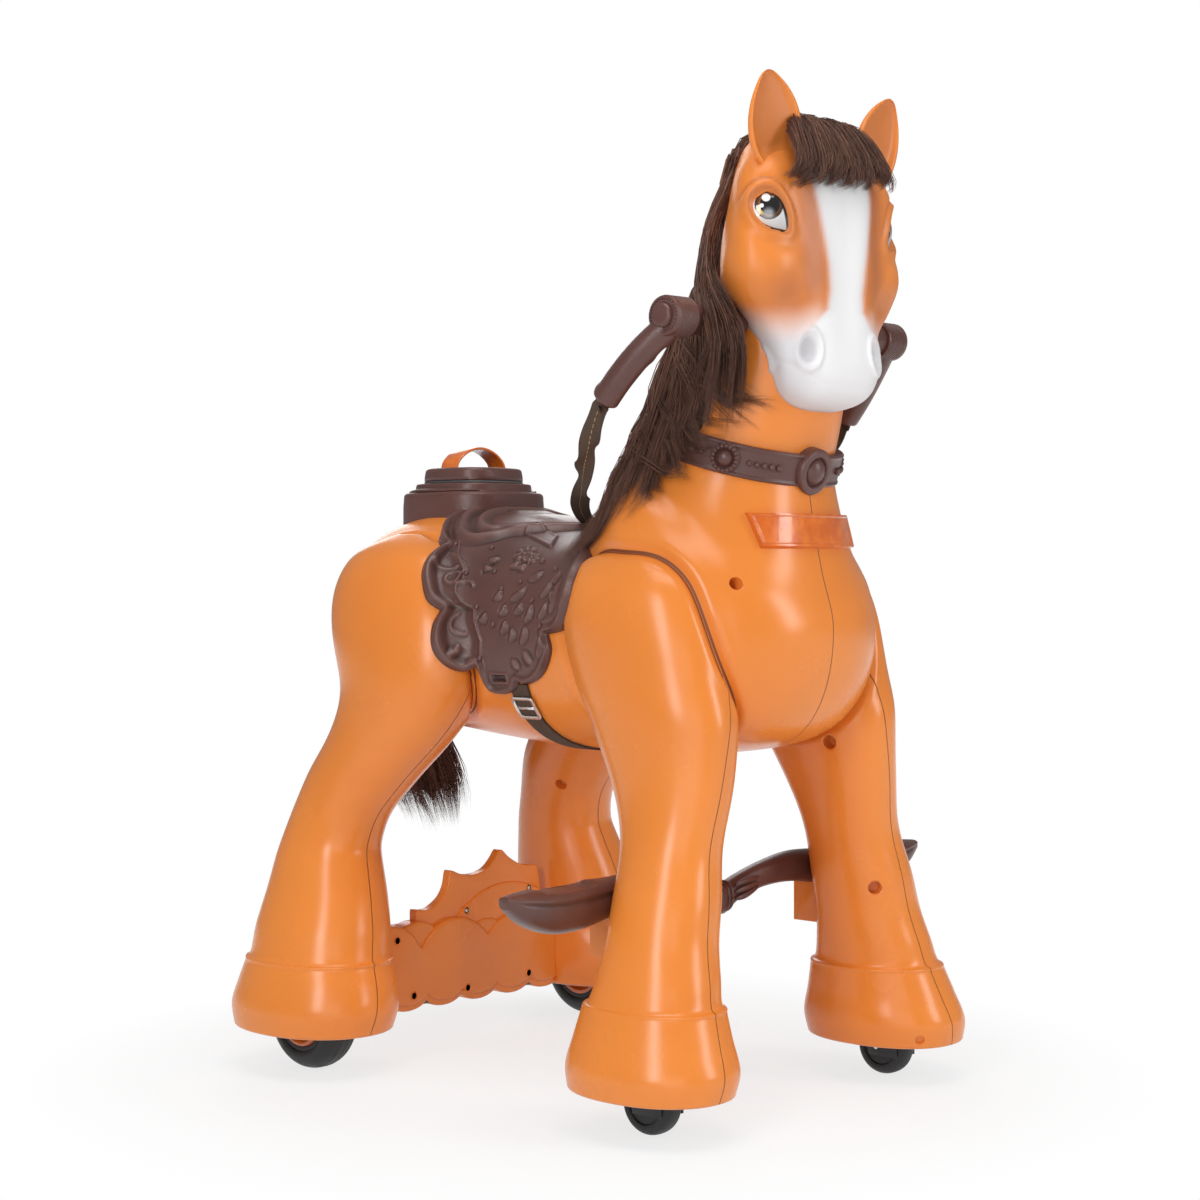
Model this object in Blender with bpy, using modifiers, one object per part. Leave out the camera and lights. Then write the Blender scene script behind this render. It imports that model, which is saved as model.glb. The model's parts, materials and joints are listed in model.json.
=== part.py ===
"""Ride-on toy horse that drives on wheels hidden in its hooves.

The shells are hollow plastic mouldings with their seams on show: body halves meet on the
mid-plane, and each leg is an outer and an inner half. +X is forward, +Y is the horse's left and
+Z is up. The floor is z = 0 and sizes are metres.
"""
import math

import bmesh
import bpy
from mathutils import Matrix, Vector

# Fits and walls
FIT = 0.0004            # gap between pieces that touch
RUN = 0.0003            # radial gap of a turning shaft
WALL = 0.004            # moulded wall
SEAM = 0.0006           # gap between two moulded halves
HAIR_FIT = 0.0012       # gap under the mane

# Body
RUMP_X = -0.3198        # rear end of the rump
BODY_LENGTH = 0.665     # rump to chest
BODY_WIDTH = 0.326      # across the barrel
BODY_DEPTH = 0.260      # belly to back
BELLY_Z = 0.362         # floor to belly
BODY_POWER = 2.4        # 2 is an ellipse, more is squarer

# Head and neck
HEAD_LENGTH = 0.200     # back of the skull to the face
HEAD_WIDTH = 0.234
HEAD_HEIGHT = 0.300     # chin to poll
HEAD_POWER = 2.5
FACE_AHEAD = 0.1405     # face in front of the collar's centre
CHIN_ABOVE = 0.0215     # chin above the collar's centre
EAR_HEIGHT = 0.102
EAR_WIDTH = 0.076
EYE_WIDTH = 0.046
EYE_HEIGHT = 0.040
EYE_DEPTH = 0.018

# Legs
HOOF_LENGTH = 0.186     # front hoof; the rear one is longer
HOOF_WIDTH = 0.146
REAR_HOOF_LENGTH = 0.206
REAR_HOOF_WIDTH = 0.162
HOOF_Z = 0.040          # floor to the hoof's rim
REAR_HOOF_Z = 0.044
FRONT_HOOF_BEHIND = 0.079    # hoof's centre behind the chest
REAR_HOOF_AHEAD = 0.101      # hoof's centre ahead of the rump
FRONT_SPLAY = 0.031     # hoof's centre outside the barrel
REAR_SPLAY = 0.061
SHOULDER_ABOVE = 0.224  # top of the shoulder above the belly
HIP_ABOVE = 0.232

# Running gear
REAR_WHEEL_RADIUS = 0.062
REAR_WHEEL_WIDTH = 0.045
HUB_RADIUS = 0.036
AXLE_RADIUS = 0.006
FRONT_WHEEL_RADIUS = 0.032
FRONT_WHEEL_WIDTH = 0.028
PIN_RADIUS = 0.003
STEM_RADIUS = 0.006
TRAIL = 0.014           # castor wheel behind its swivel axis
SWIVEL_AHEAD = 0.016    # swivel axis ahead of the hoof's centre
FORK_PLATE = 0.003
DRIVE_FRONT_AHEAD = 0.022    # front of the drive housing ahead of the axle
DRIVE_DEPTH = 0.062
DRIVE_Z = 0.046         # floor to the housing
DRIVE_HEIGHT = 0.106
GEARBOX_LENGTH = 0.066
MOTOR_RADIUS = 0.0175
MOTOR_LENGTH = 0.048

# Saddle, cantle and lid
SADDLE_T = 0.008
SADDLE_SHARE = 0.516    # middle of the flap along the body
FLAP_BELOW = 0.087      # middle of the flap below the back
GIRTH_WIDTH = 0.026
GIRTH_T = 0.0025
CANTLE_AHEAD = 0.127    # middle of the cantle ahead of the rump
CANTLE_HALF = 0.074     # half size of the cantle's base
LID_HALF = 0.052
CANTLE_ABOVE = 0.004    # cantle's base line above the back
CANTLE_BASE = 0.025
CANTLE_STEP = 0.010
LID_T = 0.015
LID_LIP = 0.010
BOX_HALF = 0.043        # half size of the battery box inside
BOX_DEPTH = 0.150
BATTERY = (0.070, 0.047, 0.101)
STRAP_SPAN = 0.084
STRAP_RISE = 0.023
STRAP_WIDTH = 0.028
STRAP_T = 0.003

# Hands and feet
GRIP_AHEAD = 0.0595     # grips ahead of the collar's centre
GRIP_ABOVE = 0.1205
GRIP_OUT = 0.074        # end of the grip's drum outside the head
DRUM_RADIUS = 0.0205
DRUM_LENGTH = 0.034
ARM_RADIUS = 0.0165
GRIP_RADIUS = 0.0145
TUBE_RADIUS = 0.009
BUTTON_RADIUS = 0.0125
BUTTON_OUT = 0.0045
BUTTON_IN = 0.008
BUTTON_POCKET = 0.0135
REIN_WIDTH = 0.022
REIN_T = 0.0016
FOOTREST_BEHIND = 0.083      # footrest behind the front hoof's centre
FOOTREST_Z = 0.217
FOOTREST_SPAN = 0.668
FOOTREST_BOW = 0.019    # ends ahead of the middle

# Collar and chest plate
COLLAR_T = 0.009
COLLAR_HEIGHT = 0.034
MEDAL_RADIUS = 0.0215
ROSETTE_RADIUS = 0.0155
PLATE_T = 0.006
PLATE_HALF = 0.080

CHEST_X = RUMP_X + BODY_LENGTH
FRONT_HOOF = Vector((CHEST_X - FRONT_HOOF_BEHIND, BODY_WIDTH / 2 + FRONT_SPLAY, HOOF_Z))
REAR_HOOF = Vector((RUMP_X + REAR_HOOF_AHEAD, BODY_WIDTH / 2 + REAR_SPLAY, REAR_HOOF_Z))
BACK_Z = BELLY_Z + BODY_DEPTH
SADDLE_X = RUMP_X + SADDLE_SHARE * BODY_LENGTH
FLAP_Z = BACK_Z - FLAP_BELOW
CANTLE_X = RUMP_X + CANTLE_AHEAD
CANTLE_Z = BACK_Z + CANTLE_ABOVE
FOOTREST_X = FRONT_HOOF.x - FOOTREST_BEHIND

# Girth sections from the rump to the collar, each through a point on the back line and one on
# the belly and chest line: back x and z, belly x and z, half width, as shares of the body.
TORSO = (
    (0.000, 0.530, 0.000, 0.415, 0.18),
    (0.027, 0.760, 0.020, 0.240, 0.61),
    (0.095, 0.935, 0.080, 0.127, 0.89),
    (0.208, 1.000, 0.192, 0.070, 1.00),
    (0.358, 0.960, 0.358, 0.023, 0.99),
    (0.508, 0.915, 0.508, 0.000, 0.97),
    (0.606, 0.930, 0.659, 0.000, 0.98),
    (0.641, 1.010, 0.809, 0.015, 1.01),
    (0.656, 1.108, 0.922, 0.085, 1.02),
    (0.662, 1.190, 0.980, 0.270, 0.99),
    (0.665, 1.260, 0.998, 0.530, 0.87),
    (0.668, 1.310, 0.976, 0.742, 0.71),
    (0.672, 1.342, 0.956, 0.973, 0.62),
    (0.676, 1.365, 0.946, 1.160, 0.575),
)

# Neck sections above the collar, from its centre: back x and z, front x and z, half width.
NECK = (
    (-0.0725, 0.0745, 0.1045, 0.0245, 0.090),
    (-0.0440, 0.1245, 0.1175, 0.0845, 0.079),
    (-0.0190, 0.1745, 0.1225, 0.1395, 0.070),
    (0.0100, 0.2195, 0.1175, 0.1995, 0.052),
)

# Level head sections from the chin to the poll: height, front, back and half width as shares
# of the head, and how much wider the front is than the back.
HEAD = (
    (0.000, 0.820, 0.695, 0.17, 0.20),
    (0.033, 0.925, 0.635, 0.37, 0.35),
    (0.087, 0.985, 0.585, 0.50, 0.40),
    (0.167, 1.010, 0.550, 0.56, 0.45),
    (0.243, 1.000, 0.485, 0.59, 0.48),
    (0.310, 0.990, 0.360, 0.68, 0.48),
    (0.393, 0.990, 0.250, 0.80, 0.55),
    (0.493, 0.995, 0.230, 0.85, 0.60),
    (0.627, 0.995, 0.250, 0.85, 0.60),
    (0.760, 0.980, 0.310, 0.81, 0.58),
    (0.877, 0.925, 0.360, 0.69, 0.50),
    (0.960, 0.800, 0.420, 0.48, 0.35),
    (1.000, 0.660, 0.520, 0.19, 0.10),
)

# Level leg sections from the hoof's rim to the top: height as a share of the leg, forward and
# outward from the hoof's centre, half length and half width as shares of the hoof.
FRONT_LEG = (
    (0.000, 0.000, 0.000, 0.97, 0.96),
    (0.040, 0.000, -0.002, 1.00, 1.00),
    (0.092, -0.002, -0.005, 0.91, 0.92),
    (0.141, -0.004, -0.009, 0.82, 0.84),
    (0.148, -0.004, -0.010, 0.85, 0.86),
    (0.157, -0.004, -0.011, 0.75, 0.78),
    (0.201, -0.004, -0.016, 0.69, 0.75),
    (0.266, -0.006, -0.024, 0.61, 0.71),
    (0.339, -0.008, -0.033, 0.60, 0.70),
    (0.430, -0.013, -0.043, 0.56, 0.64),
    (0.522, -0.019, -0.052, 0.69, 0.66),
    (0.604, -0.030, -0.057, 0.83, 0.73),
    (0.678, -0.040, -0.058, 0.94, 0.77),
    (0.751, -0.056, -0.056, 0.99, 0.75),
    (0.842, -0.068, -0.054, 0.99, 0.71),
    (0.916, -0.074, -0.055, 0.88, 0.63),
    (0.961, -0.078, -0.058, 0.69, 0.49),
    (0.989, -0.080, -0.061, 0.43, 0.30),
    (1.000, -0.081, -0.062, 0.13, 0.11),
)
REAR_LEG = (
    (0.000, 0.000, 0.000, 0.95, 0.96),
    (0.040, 0.000, -0.002, 1.00, 1.00),
    (0.084, 0.001, -0.005, 0.95, 0.96),
    (0.125, 0.000, -0.008, 0.86, 0.90),
    (0.133, 0.000, -0.009, 0.89, 0.93),
    (0.142, 0.000, -0.010, 0.82, 0.86),
    (0.202, -0.002, -0.016, 0.78, 0.83),
    (0.269, -0.005, -0.024, 0.70, 0.75),
    (0.333, -0.009, -0.030, 0.61, 0.68),
    (0.367, -0.009, -0.034, 0.58, 0.64),
    (0.422, 0.000, -0.040, 0.58, 0.62),
    (0.466, 0.014, -0.046, 0.64, 0.64),
    (0.520, 0.034, -0.053, 0.72, 0.67),
    (0.587, 0.066, -0.059, 0.80, 0.69),
    (0.678, 0.093, -0.064, 0.89, 0.74),
    (0.775, 0.090, -0.066, 0.97, 0.74),
    (0.866, 0.078, -0.072, 0.95, 0.69),
    (0.938, 0.072, -0.079, 0.78, 0.56),
    (0.975, 0.071, -0.084, 0.53, 0.37),
    (1.000, 0.071, -0.088, 0.15, 0.12),
)
LIP_ROWS = (3, 4)       # rows of the raised lip above the hoof

# Discs whose union, seen from the flap's middle, is the scalloped flap: x, z and radius.
FLAP_LOBES = (
    (-0.100, 0.090, 0.050),
    (-0.063, 0.025, 0.036),
    (-0.041, -0.031, 0.039),
    (-0.010, -0.073, 0.026),
    (0.009, -0.083, 0.026),
    (0.037, -0.065, 0.030),
    (0.067, -0.035, 0.032),
    (0.080, 0.015, 0.038),
    (0.040, 0.070, 0.045),
    (-0.010, 0.110, 0.080),
)

# Mane: height and centre from the collar's centre, inner radius, thickness, and the arc it
# covers in degrees round the neck, where 180 is the back and 270 is the horse's right.
MANE = (
    (0.308, 0.054, 0.024, 0.014, 150, 262),
    (0.282, 0.056, 0.042, 0.018, 160, 262),
    (0.240, 0.060, 0.052, 0.018, 168, 258),
    (0.190, 0.060, 0.062, 0.018, 168, 258),
    (0.140, 0.046, 0.072, 0.019, 168, 262),
    (0.090, 0.031, 0.083, 0.020, 168, 285),
    (0.045, 0.016, 0.092, 0.022, 168, 292),
    (0.000, 0.004, 0.102, 0.022, 172, 290),
    (-0.035, 0.000, 0.108, 0.022, 185, 280),
    (-0.062, -0.002, 0.118, 0.023, 203, 268),
    (-0.088, -0.006, 0.130, 0.023, 216, 256),
)
# Tail: height below its root, behind the rump, to the left, half depth and half width.
TAIL = (
    (0.000, -0.003, 0.000, 0.012, 0.015),
    (0.018, 0.017, 0.005, 0.020, 0.022),
    (0.070, 0.025, 0.012, 0.022, 0.030),
    (0.130, 0.025, 0.026, 0.022, 0.044),
    (0.180, 0.022, 0.042, 0.022, 0.056),
    (0.215, 0.017, 0.054, 0.018, 0.050),
    (0.240, 0.012, 0.060, 0.008, 0.022),
)
TAIL_ROOT = 0.116       # root of the tail below the back

# Left half of the footrest, from the middle out: y, rise from its middle, half depth, half height.
FOOTREST = (
    (0.000, 0.000, 0.013, 0.017),
    (0.012, 0.001, 0.012, 0.015),
    (0.040, 0.010, 0.011, 0.013),
    (0.080, 0.014, 0.012, 0.014),
    (0.125, 0.013, 0.014, 0.017),
    (0.175, 0.009, 0.016, 0.020),
    (0.225, 0.006, 0.021, 0.024),
    (0.270, 0.006, 0.023, 0.023),
    (0.308, 0.012, 0.018, 0.016),
    (0.334, 0.020, 0.008, 0.006),
)

# Left half of the rein between the grip and the middle of the saddle: shares of the way back
# to the grip along x, y and z.
REIN = (
    (0.907, 0.990, 0.764),
    (0.765, 0.900, 0.527),
    (0.519, 0.680, 0.308),
    (0.251, 0.434, 0.156),
    (0.076, 0.200, 0.030),
)

GRIP_PATH = (
    (0.000, -0.016, -0.006),
    (-0.016, -0.008, -0.020),
    (-0.036, 0.000, -0.040),
    (-0.056, 0.005, -0.062),
    (-0.074, 0.007, -0.083),
)


def new_collection(name):
    """Collection linked to the scene."""
    collection = bpy.data.collections.new(name)
    bpy.context.scene.collection.children.link(collection)
    return collection


def finish(name, colour, roughness, metallic=0.0):
    """Principled material in one colour."""
    material = bpy.data.materials.new(name)
    material.use_nodes = True
    shader = material.node_tree.nodes["Principled BSDF"]
    shader.inputs["Base Color"].default_value = (*colour, 1.0)
    shader.inputs["Roughness"].default_value = roughness
    shader.inputs["Metallic"].default_value = metallic
    return material


for old in list(bpy.data.objects):
    bpy.data.objects.remove(old, do_unlink=True)

PARTS = new_collection("ride_on_horse")
CUTTERS = new_collection("cutters")
ORANGE = finish("orange_plastic", (0.86, 0.33, 0.07), 0.28)
BROWN = finish("brown_plastic", (0.075, 0.030, 0.020), 0.38)
TRIM = finish("orange_trim", (0.55, 0.12, 0.02), 0.22)
BLACK = finish("black_rubber", (0.015, 0.015, 0.016), 0.60)
HAIR = finish("brown_hair", (0.045, 0.022, 0.014), 0.55)
WEB = finish("brown_webbing", (0.055, 0.030, 0.016), 0.75)
STEEL = finish("steel", (0.62, 0.62, 0.63), 0.32, 1.0)
EYE = finish("eye_plastic", (0.80, 0.78, 0.74), 0.12)
GREY = finish("grey_plastic", (0.12, 0.12, 0.13), 0.50)
BOARD = finish("green_board", (0.03, 0.16, 0.06), 0.45)


def place(obj, material):
    """Put an object with the parts, or with the cutters when it has no material."""
    if material is None:
        CUTTERS.objects.link(obj)
        obj.hide_render = True
        obj.display_type = "WIRE"
    else:
        PARTS.objects.link(obj)
        obj.data.materials.clear()
        obj.data.materials.append(material)
        obj.data.shade_smooth()
        obj.data.set_sharp_from_angle(angle=math.radians(38))
    return obj


def from_bmesh(name, shape, material=None):
    """Object made of a closed bmesh with its faces pointing out."""
    shape.normal_update()
    bmesh.ops.recalc_face_normals(shape, faces=shape.faces)
    mesh = bpy.data.meshes.new(name)
    shape.to_mesh(mesh)
    shape.free()
    return place(bpy.data.objects.new(name, mesh), material)


def loft(name, rings, material=None):
    """Closed solid through rings of equal point count, split alike so that grown copies nest."""
    shape = bmesh.new()
    loops = [[shape.verts.new(point) for point in ring] for ring in rings]
    for low, high in zip(loops, loops[1:]):
        for i in range(len(low)):
            j = (i + 1) % len(low)
            shape.faces.new((low[i], low[j], high[j]))
            shape.faces.new((low[i], high[j], high[i]))
    shape.faces.new(loops[0])
    shape.faces.new(loops[-1])
    return from_bmesh(name, shape, material)


def box(name, low, high, material=None):
    """Box between two corners."""
    shape = bmesh.new()
    bmesh.ops.create_cube(shape, size=1.0)
    low = Vector(low)
    high = Vector(high)
    for vert in shape.verts:
        vert.co = (low + high) / 2 + Vector(a * b for a, b in zip(vert.co, high - low))
    return from_bmesh(name, shape, material)


def rod(name, start, end, radius, material=None, segments=16, end_radius=None):
    """Straight round rod or cone between two points."""
    start = Vector(start)
    end = Vector(end)
    shape = bmesh.new()
    bmesh.ops.create_cone(shape, cap_ends=True, segments=segments, radius1=radius,
                          radius2=radius if end_radius is None else end_radius,
                          depth=(end - start).length)
    turn = (end - start).to_track_quat("Z", "Y").to_matrix().to_4x4()
    bmesh.ops.transform(shape, matrix=Matrix.Translation((start + end) / 2) @ turn, verts=shape.verts)
    return from_bmesh(name, shape, material)


def ball(name, centre, size, material=None, segments=16):
    """Ellipsoid with the three given half sizes."""
    shape = bmesh.new()
    bmesh.ops.create_uvsphere(shape, u_segments=segments, v_segments=segments // 2, radius=1.0)
    bmesh.ops.transform(shape, matrix=Matrix.Translation(centre) @ Matrix.Diagonal((*size, 1)),
                        verts=shape.verts)
    return from_bmesh(name, shape, material)


def prism(name, outline, start, end, axis, material=None):
    """Outline of pairs pushed along axis 0, 1 or 2 from start to end."""
    def at(pair, depth):
        point = list(pair)
        point.insert(axis, depth)
        return point
    return loft(name, [[at(p, start) for p in outline], [at(p, end) for p in outline]], material)


def turned(name, profile, centre, axis, material, steps=24):
    """Profile of radius and height pairs, outer side from top to bottom, turned round an axis."""
    mesh = bpy.data.meshes.new(name)
    points = [(radius, 0.0, height) for radius, height in profile]
    edges = [(i, i + 1) for i in range(len(points) - 1)]
    closed = profile[0][0] > 0
    if closed:
        edges.append((len(points) - 1, 0))
    mesh.from_pydata(points, edges, [])
    obj = bpy.data.objects.new(name, mesh)
    PARTS.objects.link(obj)
    mesh.materials.append(material)
    screw = obj.modifiers.new("turn", "SCREW")
    screw.steps = steps
    screw.render_steps = steps
    screw.use_merge_vertices = True
    screw.merge_threshold = 0.00001
    screw.use_smooth_shade = True
    obj.location = centre
    obj.rotation_euler = Vector(axis).to_track_quat("Z", "Y").to_euler()
    return obj


def boolean(obj, other, operation="DIFFERENCE"):
    """Cut, join or keep what two solids share."""
    modifier = obj.modifiers.new(operation.lower(), "BOOLEAN")
    modifier.operation = operation
    modifier.object = other
    modifier.solver = "EXACT"
    return obj


def pivot(obj, point):
    """Move an object's origin to a point and leave its shape in place."""
    obj.data.transform(Matrix.Translation(-Vector(point)))
    obj.location = point
    return obj


def cut(obj, *others):
    """Take several solids off one."""
    for other in others:
        boolean(obj, other)
    return obj


def eased(rows, steps):
    """Rows of numbers with smooth rows added between them."""
    result = []
    last = len(rows) - 1
    for i in range(last):
        near = (rows[max(i - 1, 0)], rows[i], rows[i + 1], rows[min(i + 2, last)])
        for k in range(steps):
            t = k / steps
            row = []
            for a, b, c, d in zip(*near):
                bend = 2 * a - 5 * b + 4 * c - d + t * (3 * (b - c) + d - a)
                row.append(b + 0.5 * t * (c - a + t * bend))
            result.append(tuple(row))
    result.append(tuple(rows[-1]))
    return result


def squared(angle, power):
    """Cosine and sine of a superellipse."""
    c = math.cos(angle)
    s = math.sin(angle)
    return (math.copysign(abs(c) ** (2 / power), c), math.copysign(abs(s) ** (2 / power), s))


def girth(top, bottom, half_width, power, count, grow=0.0, egg=0.0):
    """Ring through two points on the mid-plane, wider towards the first point by egg."""
    middle = (top + bottom) / 2
    reach = (top - bottom) / 2
    along = reach.normalized() * (reach.length + grow)
    ring = []
    for i in range(count):
        u, v = squared(math.tau * i / count, power)
        ring.append(middle + along * u + Vector((0, (half_width * (1 + egg * u) + grow) * v, 0)))
    return ring


def torso_point(x, z):
    """Point on the mid-plane from shares of the body."""
    return Vector((RUMP_X + x * BODY_LENGTH, 0, BELLY_Z + z * BODY_DEPTH))


COLLAR_BACK = torso_point(*TORSO[-1][0:2])
COLLAR_FRONT = torso_point(*TORSO[-1][2:4])
COLLAR_MID = (COLLAR_BACK + COLLAR_FRONT) / 2
COLLAR_UP = Vector((0, 1, 0)).cross(COLLAR_BACK - COLLAR_FRONT).normalized()
COLLAR_HALF_WIDTH = TORSO[-1][4] * BODY_WIDTH / 2
GRIP_X = COLLAR_MID.x + GRIP_AHEAD
GRIP_Y = HEAD_WIDTH / 2 + GRIP_OUT
GRIP_Z = COLLAR_MID.z + GRIP_ABOVE


def torso(name, grow=0.0, material=None, steps=2, count=20, rise=0.0):
    """Barrel, chest and lower neck, grown outward, with its neck end raised."""
    rings = []
    for row in eased(TORSO, steps):
        ring = girth(torso_point(row[0], row[1]), torso_point(row[2], row[3]),
                     row[4] * BODY_WIDTH / 2, BODY_POWER, count, grow)
        rings.append(ring)
    rings[0] = [point - Vector((grow, 0, 0)) for point in rings[0]]
    if rise:
        rings.append([point + COLLAR_UP * rise for point in rings[-1]])
    return loft(name, rings, material)


def neck(name, grow=0.0, material=None, drop=0.0, count=20):
    """Upper neck from the collar into the head, with its lower end dropped."""
    rows = [girth(COLLAR_BACK, COLLAR_FRONT, COLLAR_HALF_WIDTH, BODY_POWER, count, grow)]
    rows[0] = [point + COLLAR_UP * (FIT - drop) for point in rows[0]]
    for back_x, back_z, front_x, front_z, half_width in NECK:
        back = COLLAR_MID + Vector((back_x, 0, back_z))
        front = COLLAR_MID + Vector((front_x, 0, front_z))
        rows.append(girth(back, front, half_width, BODY_POWER, count, grow))
    return loft(name, rows, material)


def head(name, grow=0.0, material=None, steps=2, count=18):
    """Head from the chin to the poll, grown outward."""
    face = COLLAR_MID.x + FACE_AHEAD
    chin = COLLAR_MID.z + CHIN_ABOVE
    rings = []
    for height, front, back, half_width, egg in eased(HEAD, steps):
        z = chin + height * HEAD_HEIGHT
        rings.append(girth(Vector((face - HEAD_LENGTH * (1 - front), 0, z)),
                           Vector((face - HEAD_LENGTH * (1 - back), 0, z)),
                           half_width * HEAD_WIDTH / 2, HEAD_POWER, count, grow, egg))
    rings[0] = [point - Vector((0, 0, grow)) for point in rings[0]]
    rings[-1] = [point + Vector((0, 0, grow)) for point in rings[-1]]
    return loft(name, rings, material)


class Leg:
    """Sizes of one kind of leg."""

    def __init__(self, kind, rows, hoof, length, width, top):
        self.kind = kind
        self.rows = rows
        self.hoof = hoof
        self.half_length = length / 2
        self.half_width = width / 2
        self.rise = top - hoof.z
        knee = rows[11]
        self.tilt = math.atan2(-knee[2], knee[0] * self.rise)

    def section(self, row, side, count, grow):
        """Ring of one level section."""
        height, forward, outward, half_length, half_width = row
        ring = []
        for i in range(count):
            u, v = squared(math.tau * i / count, 2.2)
            ring.append(Vector((
                self.hoof.x + forward + (half_length * self.half_length + grow) * u,
                side * (self.hoof.y + outward + (half_width * self.half_width + grow) * v),
                self.hoof.z + height * self.rise)))
        return ring

    def solid(self, name, side, grow=0.0, material=None, count=14, drop=0.0):
        """Whole leg, grown outward, with its rim dropped."""
        rings = [self.section(row, side, count, grow) for row in self.rows]
        if drop:
            rings[0] = [point - Vector((0, 0, drop)) for point in rings[0]]
        rings[-1] = [point + Vector((0, 0, grow)) for point in rings[-1]]
        return loft(name, rings, material)

    def hollow(self, name, side, play=0.0, material=None):
        """Space inside the moulded wall, less some play, open under the hoof."""
        kept = [row for i, row in enumerate(self.rows[:-1]) if i not in LIP_ROWS]
        rings = [self.section(row, side, 8, -WALL - play) for row in kept]
        rings[0] = [point - Vector((0, 0, WALL)) for point in rings[0]]
        rings[-1] = [point - Vector((0, 0, WALL + play)) for point in rings[-1]]
        return loft(name, rings, material)

    def seam_side(self, name, side, outer):
        """Half space on one side of the seam, which leans with the leg."""
        reach = 0.4
        start = -reach if outer else -SEAM / 2
        shape = bmesh.new()
        bmesh.ops.create_cube(shape, size=1.0)
        for vert in shape.verts:
            vert.co = Vector((vert.co.x * 2 * reach, start + (vert.co.y + 0.5) * (reach + SEAM / 2),
                              vert.co.z * 4 * reach))
        lean = Matrix.Rotation(self.tilt, 4, "X")
        mirror = Matrix.Diagonal((1, side, 1, 1))
        bmesh.ops.transform(shape, matrix=mirror @ Matrix.Translation(self.hoof) @ lean, verts=shape.verts)
        return from_bmesh(name, shape)


FRONT = Leg("front", FRONT_LEG, FRONT_HOOF, HOOF_LENGTH, HOOF_WIDTH, BELLY_Z + SHOULDER_ABOVE)
REAR = Leg("rear", REAR_LEG, REAR_HOOF, REAR_HOOF_LENGTH, REAR_HOOF_WIDTH, BELLY_Z + HIP_ABOVE)
SIDES = (("right", -1), ("left", 1))
AXLE_Z = REAR_WHEEL_RADIUS
AXLE_X = REAR_HOOF.x
BODY_SKIN = torso("body_skin", FIT, rise=WALL)
NECK_SKIN = neck("neck_skin", FIT, drop=WALL)
HEAD_SKIN = head("head_skin", FIT)
HORSE_SKIN = torso("horse_skin", HAIR_FIT)
boolean(HORSE_SKIN, neck("horse_neck_skin", HAIR_FIT, drop=WALL), "UNION")
boolean(HORSE_SKIN, head("horse_head_skin", HAIR_FIT), "UNION")
LEG_SKINS = {(leg.kind, side): leg.solid(f"{leg.kind}_{word}_leg_skin", side, FIT, drop=FIT)
             for leg in (FRONT, REAR) for word, side in SIDES}


def rounded_square(centre_x, half, count=24, power=3.0):
    """Level outline of a square with round corners."""
    return [(centre_x + half * u, half * v)
            for u, v in (squared(math.tau * i / count, power) for i in range(count))]


def make_body():
    """Two moulded halves that meet on the mid-plane."""
    hollow = torso("body_hollow", -WALL, steps=1, count=10, rise=4 * WALL)
    hatch_half = BOX_HALF + WALL + FIT
    hatch = prism("hatch_cut", rounded_square(CANTLE_X, hatch_half), BACK_Z - 0.060, BACK_Z + 0.030, 2)
    for word, side in SIDES:
        far = box(f"body_{word}_far_side", (-1, -side * 1.0, -1), (1, side * SEAM / 2, 2))
        half = torso(f"body_shell_{word}", 0, ORANGE)
        cut(half, far, hollow, LEG_SKINS["front", side], LEG_SKINS["rear", side], hatch)


def make_head():
    """Head and upper neck in one moulding, with eyes and ears."""
    shell = head("head_shell", 0, ORANGE)
    boolean(shell, neck("neck_core"), "UNION")
    cut(shell, neck("neck_hollow", -WALL, drop=3 * WALL, count=10))
    cut(shell, head("head_hollow", -WALL, steps=1, count=10))
    cut(shell, rod("jaw_hole", (GRIP_X, -GRIP_Y, GRIP_Z), (GRIP_X, GRIP_Y, GRIP_Z), TUBE_RADIUS + RUN))
    face = COLLAR_MID.x + FACE_AHEAD
    for word, side in SIDES:
        centre = Vector((face - 0.017, side * 0.096, COLLAR_MID.z + CHIN_ABOVE + 0.200))
        look = Vector((0.70, side * 0.71, 0.05)).normalized()
        turn = look.to_track_quat("X", "Z").to_matrix().to_4x4()
        for name, grow, material in ((f"eye_{word}_socket", FIT, None), (f"eye_{word}", 0, EYE)):
            piece = ball(name, (0, 0, 0), (EYE_DEPTH / 2 + grow, EYE_WIDTH / 2 + grow, EYE_HEIGHT / 2 + grow),
                         material)
            piece.matrix_world = Matrix.Translation(centre) @ turn
            if material is None:
                cut(shell, piece)
        make_ear(word, side, face)


def make_ear(word, side, face):
    """Leaf-shaped ear, hollowed on its front, seated on the head."""
    rows = ((0.00, 0.62, 0.016), (0.16, 0.86, 0.015), (0.36, 1.00, 0.013), (0.58, 0.88, 0.011),
            (0.78, 0.56, 0.008), (0.92, 0.26, 0.005), (1.00, 0.06, 0.002))
    root = Vector((face - 0.030, side * 0.066, COLLAR_MID.z + CHIN_ABOVE + HEAD_HEIGHT - 0.060))
    rise = Vector((0.10, side * 0.36, 1.0)).normalized()
    look = Vector((1.00, side * 0.10, 0.0))
    look = (look - rise * look.dot(rise)).normalized()
    across = rise.cross(look)
    height = EAR_HEIGHT + 0.010
    rings = []
    for share, width, depth in rows:
        centre = root + rise * share * height
        ring = []
        for i in range(12):
            c = math.cos(math.tau * i / 12)
            s = math.sin(math.tau * i / 12)
            dish = -0.25 * s if s > 0 else s
            ring.append(centre + across * c * width * EAR_WIDTH / 2 + look * dish * depth)
        rings.append(ring)
    cut(loft(f"ear_{word}", rings, ORANGE), HEAD_SKIN)


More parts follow.
